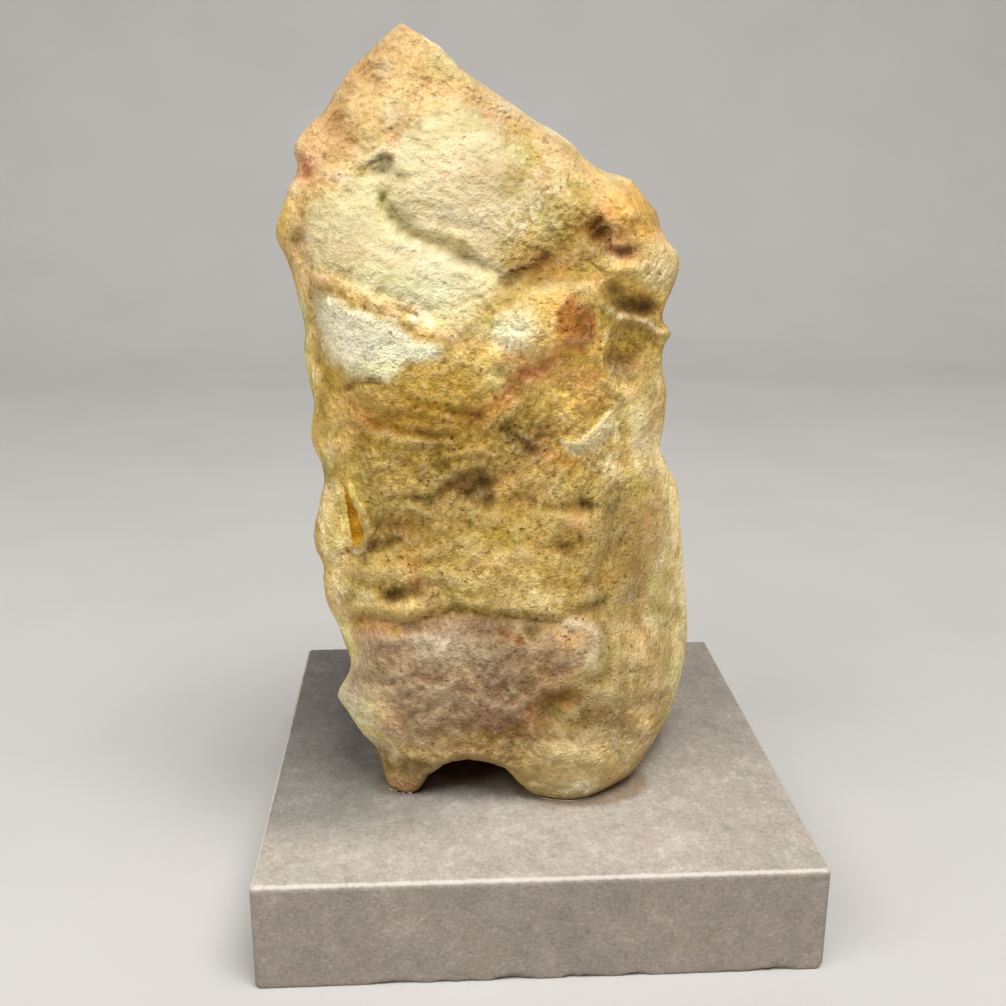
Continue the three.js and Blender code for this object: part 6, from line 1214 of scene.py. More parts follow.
def zone_values(p, seen, behind):
    """The masks at the points: drawn ones in front, grown ones on flanks and back."""
    u, v = to_px(p)
    drawn = sample(ZONE_MAP, u, v)
    w = smooth(behind, 0.15, 0.95)[:, None]
    x, y, z = p.T
    q = p + 5.0 * np.stack([fbm(p / 21, 2, 81), fbm(p / 21, 2, 82), fbm(p / 21, 2, 83)], 1)
    low = fbm(q / np.array([24, 24, 14]), 3, 84)
    mid = fbm(q / np.array([13, 13, 9]), 3, 85)
    fine = fbm(q / 6.5, 3, 86)
    band = np.abs(fbm(q / np.array([26, 26, 16]), 2, 87))
    vein = np.abs(fbm(q / np.array([18, 18, 12]), 2, 88))
    zz = q[:, 2] + 4 * low
    grown = {k: np.zeros(len(p)) for k in ZONES}
    grown["tan"] = smooth(zz, 118, 134)
    grown["cream"] = smooth(zz, 86, 98) * (1 - smooth(zz, 120, 134)) * smooth(low, -0.3, 0.2)
    grown["white"] = grown["cream"] * smooth(mid, 0.2, 0.45)
    grown["ochre"] = smooth(mid, 0.0, 0.35) * smooth(zz, 58, 72) * (1 - smooth(zz, 90, 102))
    grown["mauve"] = smooth(zz, 23, 31) * (1 - smooth(zz, 50, 58)) * smooth(low + 0.25 * mid, -0.35, 0.05)
    grown["lobe"] = (1 - smooth(zz, 48, 60))
    grown["pale"] = 0.8 * smooth(fine + 0.6 * low, 0.2, 0.55)
    grown["green"] = 0.3 * smooth(mid - low, 0.3, 0.7)
    grown["orange"] = 0.8 * (1 - smooth(vein, 0.02, 0.09)) * smooth(z, 60, 80)
    grown["pink"] = 0.6 * smooth(fine - mid, 0.4, 0.75)
    grown["red"] = 0.7 * (1 - smooth(vein, 0.0, 0.03)) * smooth(fine, -0.1, 0.3)
    grown["brown"] = 0.6 * smooth(-fine - 0.3 * mid, 0.2, 0.5)
    grown["crust"] = 0.5 * (1 - smooth(band, 0.0, 0.03)) * smooth(mid, 0, 0.3)
    grown["grey"] = 0.6 * smooth(-mid, 0.2, 0.5) * grown["mauve"]
    grown["sand"] = 1 - 0.6 * grown["cream"] - 0.3 * grown["mauve"]
    tint = fbm(q / np.array([17, 17, 12]), 3, 89)
    tone = fbm(q / np.array([20, 20, 15]), 3, 90)
    grown["blush"] = 0.8 * smooth(tint, 0.05, 0.4)
    grown["olive"] = 0.45 * smooth(-tint, 0.05, 0.4)
    # on flanks and back the painted shade and painted light channels hold random mottling
    grown["painted_shade"] = 0.6 * smooth(-tone, 0.05, 0.45)
    grown["painted_light"] = 0.5 * smooth(tone, 0.05, 0.45)
    grown["tone"] = 0.54 + 0.26 * fbm(q / 9.0, 3, 94)
    grown["warm"] = 0.5 + 0.18 * fbm(q / 14.0, 3, 95)
    grown["cool"] = 0.5 + 0.10 * fbm(q / 16.0, 3, 96)
    g = np.stack([grown[k] for k in ZONES], 1)
    return drawn * (1 - w) + g * w


Z = zone_values(P, SEEN, BEHIND)
HOLLOW = np.clip(0.5 + FINE * 2.2, 0, 1)
BASIN = np.clip(0.5 + WIDE * 0.9, 0, 1)
Z = np.concatenate([Z, HOLLOW[:, None], BASIN[:, None], np.ones((len(P), 3))], 1)
CHANNELS = {"zone_%d" % k: Z[:, 4 * k:4 * k + 4] for k in range(7)}

# ---------------------------------------------------------------------------
# Meshes and materials
# ---------------------------------------------------------------------------
def make_piece(name, verts, faces, material, smooth_shading=True, channels=None):
    mesh = bpy.data.meshes.new(name)
    mesh.from_pydata((np.asarray(verts) * MM).tolist(), [], [list(map(int, f)) for f in faces])
    mesh.validate()
    mesh.update()
    for key, rgba in (channels or {}).items():
        layer = mesh.attributes.new(key, "FLOAT_COLOR", "POINT")
        layer.data.foreach_set("color", np.asarray(rgba, np.float32).ravel())
    mesh.polygons.foreach_set("use_smooth", [smooth_shading] * len(mesh.polygons))
    obj = bpy.data.objects.new(name, mesh)
    bpy.context.collection.objects.link(obj)
    mesh.materials.append(material)
    return obj


def srgb(r, g, b, a=1.0):
    def lin(c):
        c /= 255
        return c / 12.92 if c <= 0.04045 else ((c + 0.055) / 1.055) ** 2.4
    return (lin(r), lin(g), lin(b), a)


class Graph:
    """A small helper that writes a node material."""

    def __init__(self, name):
        self.material = bpy.data.materials.new(name)
        self.material.use_nodes = True
        self.tree = self.material.node_tree
        self.tree.nodes.clear()
        self.out = self.tree.nodes.new("ShaderNodeOutputMaterial")
        self.shader = self.tree.nodes.new("ShaderNodeBsdfPrincipled")
        self.tree.links.new(self.shader.outputs[0], self.out.inputs[0])
        tc = self.tree.nodes.new("ShaderNodeTexCoord")
        scale = self.tree.nodes.new("ShaderNodeVectorMath")
        scale.operation = "SCALE"
        scale.inputs[3].default_value = 1000.0
        self.tree.links.new(tc.outputs["Object"], scale.inputs[0])
        self.mm = scale.outputs[0]

    def put(self, socket, value):
        if hasattr(value, "links"):
            self.tree.links.new(value, socket)
        elif isinstance(value, (tuple, list)):
            socket.default_value = value
        else:
            socket.default_value = value

    def math(self, op, a, b=0.0, c=0.0, clamp=False):
        node = self.tree.nodes.new("ShaderNodeMath")
        node.operation = op
        node.use_clamp = clamp
        for socket, value in zip(node.inputs, (a, b, c)):
            self.put(socket, value)
        return node.outputs[0]

    def add(self, a, b):
        return self.math("ADD", a, b)

    def mul(self, a, b):
        return self.math("MULTIPLY", a, b)

    def mad(self, a, b, c):
        return self.math("MULTIPLY_ADD", a, b, c)

    def step(self, value, lo, hi, out_lo=0.0, out_hi=1.0):
        node = self.tree.nodes.new("ShaderNodeMapRange")
        node.interpolation_type = "SMOOTHSTEP"
        node.clamp = True
        for i, x in enumerate((value, lo, hi, out_lo, out_hi)):
            self.put(node.inputs[i], x)
        return node.outputs[0]

    def stretch(self, vector, scale, turn=(0, 0, 0), move=(0, 0, 0)):
        node = self.tree.nodes.new("ShaderNodeMapping")
        self.put(node.inputs["Vector"], vector)
        node.inputs["Location"].default_value = move
        node.inputs["Rotation"].default_value = [math.radians(t) for t in turn]
        node.inputs["Scale"].default_value = scale
        return node.outputs[0]

    def noise(self, size, detail=3.0, rough=0.55, warp=0.0, vector=None, w=0.0, kind="FBM"):
        node = self.tree.nodes.new("ShaderNodeTexNoise")
        node.noise_dimensions = "4D"
        node.noise_type = kind
        node.normalize = True
        self.put(node.inputs["Vector"], vector or self.mm)
        node.inputs["W"].default_value = w
        node.inputs["Scale"].default_value = 1.0 / size
        node.inputs["Detail"].default_value = detail
        node.inputs["Roughness"].default_value = rough
        node.inputs["Distortion"].default_value = warp
        return node.outputs["Fac"]

    def voronoi(self, size, feature="F1", vector=None, random=1.0, out="Distance"):
        node = self.tree.nodes.new("ShaderNodeTexVoronoi")
        node.feature = feature
        self.put(node.inputs["Vector"], vector or self.mm)
        node.inputs["Scale"].default_value = 1.0 / size
        node.inputs["Randomness"].default_value = random
        return node.outputs[out]

    def ramp(self, value, stops, interpolation="LINEAR"):
        node = self.tree.nodes.new("ShaderNodeValToRGB")
        node.color_ramp.interpolation = interpolation
        els = node.color_ramp.elements
        while len(els) < len(stops):
            els.new(0.5)
        for el, (at, colour) in zip(els, stops):
            el.position = at
            el.color = colour
        self.put(node.inputs[0], value)
        return node.outputs["Color"]

    def mix(self, factor, a, b, blend="MIX"):
        node = self.tree.nodes.new("ShaderNodeMix")
        node.data_type = "RGBA"
        node.blend_type = blend
        node.clamp_factor = True
        self.put(node.inputs[0], factor)
        self.put(node.inputs[6], a)
        self.put(node.inputs[7], b)
        return node.outputs[2]

    def comb(self, value):
        node = self.tree.nodes.new("ShaderNodeCombineColor")
        for i in range(3):
            self.put(node.inputs[i], value)
        return node.outputs[0]

    def channels(self, name):
        node = self.tree.nodes.new("ShaderNodeAttribute")
        node.attribute_name = name
        sep = self.tree.nodes.new("ShaderNodeSeparateColor")
        self.tree.links.new(node.outputs["Color"], sep.inputs[0])
        return sep.outputs[0], sep.outputs[1], sep.outputs[2], node.outputs["Alpha"]

    def bump(self, height, distance, strength=1.0, normal=None):
        node = self.tree.nodes.new("ShaderNodeBump")
        node.inputs["Strength"].default_value = strength
        node.inputs["Distance"].default_value = distance * MM
        self.put(node.inputs["Height"], height)
        if normal is not None:
            self.put(node.inputs["Normal"], normal)
        return node.outputs[0]

    def set(self, **sockets):
        for key, value in sockets.items():
            self.put(self.shader.inputs[key.replace("_", " ")], value)

# ---------------------------------------------------------------------------
# The specimen's material
# ---------------------------------------------------------------------------
def stone_material():
    g = Graph("silicified_wood")
    tan, cream, white, ochre = g.channels("zone_0")
    mauve, lobe, pale, green = g.channels("zone_1")
    orange, pink, red, brown = g.channels("zone_2")
    dark, crust, grey, amber = g.channels("zone_3")
    foot, sand, blush, olive = g.channels("zone_4")
    painted_shade, painted_light, tone, warm = g.channels("zone_5")
    cool, hollow, basin, _one = g.channels("zone_6")

    n_big = g.noise(15, 3, 0.55, w=1.0)
    n_mid = g.noise(6.0, 5, 0.62, 0.4, w=2.0)
    n_small = g.noise(2.4, 4, 0.68, w=3.0)
    n_fine = g.noise(1.0, 3, 0.65, w=4.0)
    n_grit = g.noise(0.60, 2, 0.6, w=5.0)
    rag = g.add(g.mul(n_mid, 0.4), g.add(g.mul(n_small, 0.35), g.mul(n_fine, 0.25)))
    rag0 = g.add(rag, -0.5)
    streaks = g.noise(2.2, 4, 0.6, vector=g.stretch(g.mm, (0.35, 1.0, 1.25), (0, -33, 0)), w=6.0)

    def border(mask, amount=2.6, lo=0.15, hi=0.85):
        """A mask whose edge is broken up by the grain."""
        return g.step(g.mad(rag0, amount, mask), lo, hi)

    def tones(value, lo, hi, *colours):
        n = len(colours)
        return g.ramp(value, [(lo + (hi - lo) * k / (n - 1), srgb(*c)) for k, c in enumerate(colours)])

    mixed = g.add(g.mul(n_mid, 0.45), g.mul(g.add(n_small, n_fine), 0.275))
    # yellow ochre body
    col = tones(mixed, 0.34, 0.66, (143, 114, 47), (170, 140, 66), (190, 161, 86), (212, 187, 117))
    col = g.mix(g.mul(g.step(n_big, 0.46, 0.62), 0.4), col, tones(n_small, 0.36, 0.64, (170, 142, 74), (198, 172, 106)))
    # tan tip
    tip = tones(mixed, 0.34, 0.66, (178, 138, 82), (204, 168, 110), (222, 190, 136), (234, 208, 160))
    col = g.mix(border(tan), col, tip)
    # lower lobe and foot
    body = tones(g.add(g.mul(n_big, 0.4), g.mul(g.add(n_small, n_mid), 0.3)), 0.39, 0.61, (146, 118, 67), (172, 145, 88), (190, 165, 108), (208, 185, 132))
    col = g.mix(border(lobe), col, body)
    # cream
    milk = tones(g.add(g.mul(streaks, 0.45), g.mul(g.add(n_mid, n_fine), 0.275)), 0.36, 0.64, (186, 169, 118), (207, 192, 144), (218, 205, 160), (229, 219, 181))
    col = g.mix(border(cream, 2.4, 0.1, 0.9), col, milk)
    chalk = tones(g.add(g.mul(streaks, 0.4), g.mul(g.add(n_fine, n_small), 0.3)), 0.36, 0.64, (216, 210, 172), (237, 232, 201), (247, 243, 222))
    col = g.mix(border(white, 1.1, 0.05, 1.0), col, chalk)
    moss = tones(mixed, 0.38, 0.62, (146, 134, 78), (176, 162, 100), (200, 186, 128))
    col = g.mix(g.mul(border(green, 2.4, 0.1, 0.9), 0.7), col, moss)
    # ochre band
    band = tones(mixed, 0.33, 0.67, (156, 118, 42), (184, 147, 62), (202, 168, 84), (218, 188, 108))
    col = g.mix(border(ochre, 2.4, 0.15, 0.85), col, band)
    # pale patches
    pallid = tones(mixed, 0.36, 0.64, (202, 172, 106), (222, 198, 136), (236, 218, 168))
    col = g.mix(g.mul(border(pale, 2.4, 0.1, 0.9), 0.85), col, pallid)
    # mauve chalcedony
    clay = tones(g.add(g.mul(n_mid, 0.3), g.mul(g.add(n_small, n_fine), 0.35)), 0.37, 0.63, (132, 102, 74), (158, 128, 98), (174, 148, 118), (190, 168, 142))
    clay = g.mix(g.mul(g.step(g.add(g.mul(n_big, 0.45), g.mul(n_mid, 0.55)), 0.50, 0.62), 0.5), clay, tones(mixed, 0.36, 0.64, (158, 128, 78), (188, 160, 108)))
    clay = g.mix(g.mul(g.step(g.add(g.mul(n_big, -0.4), g.mad(n_small, 0.6, 0.4)), 0.52, 0.64), 0.5), clay, tones(mixed, 0.36, 0.64, (120, 92, 70), (150, 120, 96)))
    col = g.mix(g.mul(border(mauve, 2.4, 0.15, 0.8), 0.95), col, clay)
    col = g.mix(g.mul(border(grey, 2.4, 0.1, 0.9), 0.7), col, tones(n_small, 0.38, 0.62, (160, 144, 116), (200, 188, 162)))
    # iron stains
    col = g.mix(g.mul(border(orange, 2.2, 0.1, 0.9), 0.85), col, tones(mixed, 0.37, 0.63, (184, 130, 54), (212, 166, 90), (228, 192, 124)))
    col = g.mix(g.mul(border(pink, 2.4, 0.1, 0.9), 0.7), col, tones(mixed, 0.37, 0.63, (178, 122, 76), (208, 158, 110), (228, 190, 150)))
    col = g.mix(g.mul(border(red, 1.4, 0.15, 0.8), 0.9), col, tones(mixed, 0.37, 0.63, (122, 64, 24), (150, 88, 40), (176, 116, 62)))
    col = g.mix(g.mul(border(brown, 2.4, 0.08, 0.95), 0.72), col, tones(mixed, 0.37, 0.63, (88, 60, 20), (122, 90, 38), (152, 118, 58)))
    col = g.mix(g.mul(border(foot, 1.4, 0.2, 0.8), 0.6), col, tones(mixed, 0.37, 0.63, (112, 90, 42), (144, 120, 72), (172, 148, 98)))
    # broad casts: blush, an olive cast partly painted shade, then painted shade and painted light
    col = g.mix(g.step(g.add(blush, g.mul(blush, g.mul(rag0, 2.0))), 0.0, 1.0, 0.0, 0.75), col, g.mix(1.0, col, (1.0, 0.89, 0.82, 1), "MULTIPLY"))
    col = g.mix(g.step(g.add(olive, g.mul(olive, g.mul(rag0, 2.0))), 0.0, 1.0, 0.0, 0.80), col, g.mix(1.0, col, (0.88, 0.94, 0.76, 1), "MULTIPLY"))
    col = g.mix(g.step(g.add(painted_shade, g.mul(painted_shade, g.mul(rag0, 3.0))), 0.0, 1.0, 0.0, 0.85), col, g.mix(1.0, col, (0.56, 0.50, 0.40, 1), "MULTIPLY"))
    col = g.mix(g.step(g.add(painted_light, g.mul(painted_light, g.mul(rag0, 3.0))), 0.0, 1.0, 0.0, 0.60), col, g.mix(0.6, col, srgb(246, 230, 184)))
    # painted light and shade from the tone channel, with the warm and cool drifts, applied as colour gains
    ragged = g.mad(rag0, 2.0, 1.0)
    signed_light_shade_tone = g.mul(g.mad(tone, 2.0, -1.0), ragged)
    warm2 = g.mul(g.mad(warm, 2.0, -1.0), g.mul(ragged, 0.25))
    cool2 = g.mul(g.mad(cool, 2.0, -1.0), ragged)
    gains = g.tree.nodes.new("ShaderNodeCombineColor")
    for k, power in enumerate((g.add(signed_light_shade_tone, warm2), g.add(signed_light_shade_tone, g.mul(warm2, -1.0)), g.add(signed_light_shade_tone, g.mul(cool2, 0.9)))):
        g.put(gains.inputs[k], g.math("POWER", 2.0, power))
    col = g.mix(1.0, col, gains.outputs[0], "MULTIPLY")
    # grit: dark and light grains in the sandy parts
    grain_dark = g.step(g.add(g.mul(n_grit, 0.7), g.mul(n_small, 0.3)), 0.52, 0.63)
    col = g.mix(g.mul(g.mul(grain_dark, sand), 0.52), col, g.mix(1.0, col, (0.56, 0.45, 0.28, 1), "MULTIPLY"))
    grain_light = g.step(g.add(g.mul(g.noise(0.8, 2, 0.6, w=9.0), 0.75), g.mul(n_mid, 0.25)), 0.52, 0.64)
    col = g.mix(g.mul(g.mul(grain_light, sand), 0.60), col, g.mix(1.0, col, (1.26, 1.24, 1.17, 1), "MULTIPLY"))
    pores = g.mul(g.step(g.voronoi(1.9, out="Distance"), 0.24, 0.08), g.step(n_mid, 0.47, 0.6))
    col = g.mix(g.mul(g.mul(pores, sand), 0.35), col, g.mix(1.0, col, (0.42, 0.32, 0.20, 1), "MULTIPLY"))
    hair = g.mul(g.step(g.math("ABSOLUTE", g.add(n_small, -0.5)), 0.03, 0.0), g.step(n_mid, 0.56, 0.44))
    col = g.mix(g.mul(g.mul(hair, sand), 0.36), col, g.mix(1.0, col, (0.60, 0.50, 0.34, 1), "MULTIPLY"))
    wrinkle = g.step(g.noise(3.4, 3, 0.62, w=21.0, kind="RIDGED_MULTIFRACTAL"), 0.35, 0.9)
    # rubbed brims are paler, hollows gather brown dust
    # raised brims are made paler; hollows and basins are darkened brown: painted shade, with dust
    worn = g.mul(g.add(n_fine, -0.5), 0.5)
    lifted = g.step(g.add(hollow, worn), 0.46, 0.12)
    col = g.mix(g.mul(lifted, 0.24), col, g.mix(0.5, col, srgb(240, 224, 178)))
    hollow_shade_and_dust = g.step(g.add(hollow, worn), 0.55, 1.0)
    col = g.mix(g.mul(hollow_shade_and_dust, 0.32), col, g.mix(1.0, col, (0.50, 0.35, 0.17, 1), "MULTIPLY"))
    deep = g.step(basin, 0.52, 1.0)
    col = g.mix(g.mul(deep, 0.22), col, g.mix(1.0, col, (0.50, 0.39, 0.24, 1), "MULTIPLY"))
    # fine crooked threads run through everything dark
    thread = g.step(g.math("ABSOLUTE", g.add(n_mid, -0.5)), 0.022, 0.0)
    net = g.mul(thread, g.step(g.add(g.mul(brown, 0.8), g.mul(dark, 1.2)), 0.08, 0.6))
    col = g.mix(g.mul(net, 0.55), col, srgb(66, 48, 22))
    # drawn crusts and cracks last; the cracks and cavity floors are partly painted shade, crust strokes on lit brims
    # partly painted highlight
    col = g.mix(g.mul(border(crust, 2.2, 0.12, 0.85), 0.82), col, tones(n_fine, 0.38, 0.62, (214, 192, 140), (240, 228, 194)))
    col = g.mix(g.mul(border(dark, 2.2, 0.12, 0.8), 0.8), col, tones(n_small, 0.38, 0.62, (62, 43, 16), (106, 78, 34)))
    # amber chalcedony in the slit; its bright orange is partly a painted glow of light shining through
    resin = tones(n_small, 0.36, 0.64, (136, 84, 8), (190, 132, 18), (222, 168, 44))
    col = g.mix(g.step(amber, 0.35, 0.6), col, resin)
    # overall drift of tone
    col = g.mix(1.0, col, g.ramp(n_big, [(0.36, (0.92, 0.91, 0.89, 1)), (0.64, (1.06, 1.06, 1.06, 1))]), "MULTIPLY")

    bump_a = g.add(g.mul(n_grit, 0.5), g.mul(n_fine, 0.5))
    b1 = g.bump(g.add(g.add(n_small, g.mul(wrinkle, -0.35)), g.mul(g.mul(pores, sand), -0.5)), 1.0, 0.85)
    b2 = g.bump(g.mul(bump_a, g.mad(sand, 0.7, 0.3)), 0.75, 0.95, b1)
    b3 = g.bump(g.mul(streaks, g.add(cream, white)), 0.5, 0.6, b2)
    rough = g.step(n_small, 0.3, 0.7, 0.70, 0.90)
    rough = g.mix(g.mul(g.step(amber, 0.35, 0.6), 1.0), g.comb(rough), (0.22, 0.22, 0.22, 1))
    g.set(Base_Color=col, Roughness=rough, Normal=b3)
    g.shader.inputs["Specular IOR Level"].default_value = 0.2
    return g.material


STONE = make_piece("silicified_trunk", P, TRIS, stone_material(), True, CHANNELS)
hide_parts("petrified_wood")
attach(STONE, "root")

# ---------------------------------------------------------------------------
# The stone block
# ---------------------------------------------------------------------------
HALF, TALL, ARRIS = 49.0, 20.0, 0.9


def make_block():
    per_side = 210
    t = np.linspace(-1, 1, per_side, endpoint=False)
    # rings from the middle of the underside, out, up the sides and back in over the top:
    # half width, height, cut of the upright edges
    rings = [(4, 0), (16, 0), (28, 0), (38, 0), (44, 0), (46.2, 0), (47.4, 0), (48.1, 0), (48.6, 0.0), (48.86, 0.08), (49, 0.3), (49, 0.7),
             (49, 1.2), (49, 1.8), (49, 2.6), (49, 3.8), (49, 5.4), (49, 7.4), (49, 9.6), (49, 11.8), (49, 14), (49, 16), (49, 17.6), (49, 18.6),
             (49, 19.1), (48.99, 19.3), (48.95, 19.43), (48.84, 19.58), (48.68, 19.74), (48.54, 19.87), (48.42, 19.94), (48.28, 19.98), (48.1, 20), (47.6, 20), (46.2, 20),
             (44, 20), (38, 20), (30, 20), (20, 20), (10, 20), (4, 20)]
    verts, loops = [], []
    for h, z in rings:
        side = np.stack([t * 1.0, -np.ones_like(t)], 1)
        ring = []
        for k in range(4):
            c, s = [(1, 0), (0, 1), (-1, 0), (0, -1)][k]
            ring.append(np.stack([side[:, 0] * c - side[:, 1] * s, side[:, 0] * s + side[:, 1] * c], 1))
        ring = np.concatenate(ring) * h
        # upright edges are eased by half a millimetre
        cut = 0.45 * min(1.0, h / 40)
        over = np.abs(ring).sum(1) - (2 * h - cut)
        shift = np.maximum(over, 0)[:, None] / 2 * np.sign(ring)
        ring = ring - shift
        verts.append(np.concatenate([ring, np.full((len(ring), 1), z)], 1))
    n = per_side * 4
    verts = np.concatenate(verts)
    faces = []
    for k in range(len(rings) - 1):
        a = k * n
        for i in range(n):
            j = (i + 1) % n
            faces.append((a + i, a + j, a + n + j, a + n + i))
    low, high = len(verts), len(verts) + 1
    verts = np.concatenate([verts, [[0, 0, 0], [0, 0, TALL]]])
    last = (len(rings) - 1) * n
    for i in range(n):
        j = (i + 1) % n
        faces.append((low, j, i))
        faces.append((high, last + i, last + j))

    x, y, z = verts.T
    # distance to the lower and the upper brim
    outer = np.maximum(np.abs(x), np.abs(y))
    to_low = np.hypot(HALF - outer, z)
    to_high = np.hypot(np.maximum(HALF - outer, 0), TALL - z)
    where = np.where(np.abs(y) >= np.abs(x), x, y)
    face = np.where(np.abs(y) >= np.abs(x), np.where(y < 0, 0, 2), np.where(x > 0, 1, 3))
    cut = np.zeros(len(verts))
    # chips of the lower brim: place along the side, reach along, reach up, depth
    chips = {0: [(-25.5, 5.0, 1.5, 0.75), (-17.0, 2.4, 1.0, 0.5), (-12.6, 2.0, 0.9, 0.4), (-5.6, 3.4, 2.0, 1.0), (-2.6, 1.6, 1.0, 0.6),
                 (4.9, 1.8, 1.4, 0.8), (7.4, 1.5, 1.3, 0.7), (9.6, 1.8, 0.9, 0.4), (16.1, 2.6, 1.3, 0.7), (40.0, 4.6, 1.5, 0.8), (33.0, 1.6, 0.7, 0.3)],
             1: [(-30, 3, 1.2, 0.6), (-8, 1.8, 1.0, 0.5), (12, 4.2, 1.4, 0.7), (31, 2.2, 1.0, 0.5)],
             2: [(-36, 2.6, 1.1, 0.5), (-14, 4.5, 1.7, 0.8), (3, 1.6, 0.9, 0.4), (22, 3.1, 1.3, 0.6)],
             3: [(-27, 2.2, 1.1, 0.5), (-3, 3.8, 1.3, 0.7), (19, 1.8, 0.9, 0.5), (38, 3.0, 1.2, 0.6)]}
    jag = perlin(verts / 1.1, 31) * 0.35 + 1
    for k, group in chips.items():
        for s, along, up, deep in group:
            slant = 1 + 0.5 * np.clip((where - s) / along, -1, 1) * (1 if deep > 0.5 else -1)
            q = (np.abs(where - s) / along) ** 1.6 + (to_low / (0.62 * up * jag * slant)) ** 2
            cut = np.maximum(cut, np.where((face == k) & (q < 1), 0.5 * deep * (1 - q) ** 0.8, 0))
    wear = 0.10 * np.exp(-(to_low / 0.5) ** 2) * (0.6 + fbm(verts / 2.2, 3, 32))
    move = cut + np.maximum(wear, 0)
    inward = np.stack([-np.sign(x) * (np.abs(x) > HALF - 4), -np.sign(y) * (np.abs(y) > HALF - 4), np.ones_like(x) * (z < 4)], 1)
    inward /= np.linalg.norm(inward, axis=1, keepdims=True) + 1e-9
    verts = verts + inward * move[:, None]
    # knocked lower corners
    for cx, cy, r, deep in ((-49, -49, 2.4, 0.6), (49, -49, 2.6, 0.85), (49, 49, 2.4, 0.7), (-49, 49, 2.0, 0.6)):
        d = verts - np.array([cx, cy, 0.0])
        d[:, 2] *= 0.85
        way = np.array([-np.sign(cx), -np.sign(cy), 0.8]) / np.linalg.norm([1, 1, 0.8])
        over = deep * (1 + 0.3 * perlin(verts / 0.9, 33)) - d @ way
        near = (np.linalg.norm(d, axis=1) < r) & (over > 0)
        verts = verts + np.where(near, over, 0)[:, None] * way
    # the upper arris is a hand-eased line: tiny nicks and a slight waver
    x, y, z = verts.T
    nick = 0.10 * np.exp(-((to_high - 0.7) / 0.4) ** 2) * np.maximum(fbm(np.stack([where / 1.3, face * 7.0, z * 0], 1), 3, 34) + 0.15, 0)
    verts[:, 2] -= nick * (z > 18.5)
    verts[:, 2] = np.clip(verts[:, 2], 0, TALL)
    verts[:, :2] = np.clip(verts[:, :2], -HALF, HALF)
    arris = np.exp(-(to_high / 0.62) ** 4)
    lowcut = smooth(cut, 0.02, 0.25)
    sawn = smooth(to_high, 0.7, 1.2) * (outer > HALF - 0.5) + (z < 5)
    return verts, faces, np.stack([arris, lowcut, np.exp(-to_low / 1.4), np.clip(sawn, 0, 1)], 1)


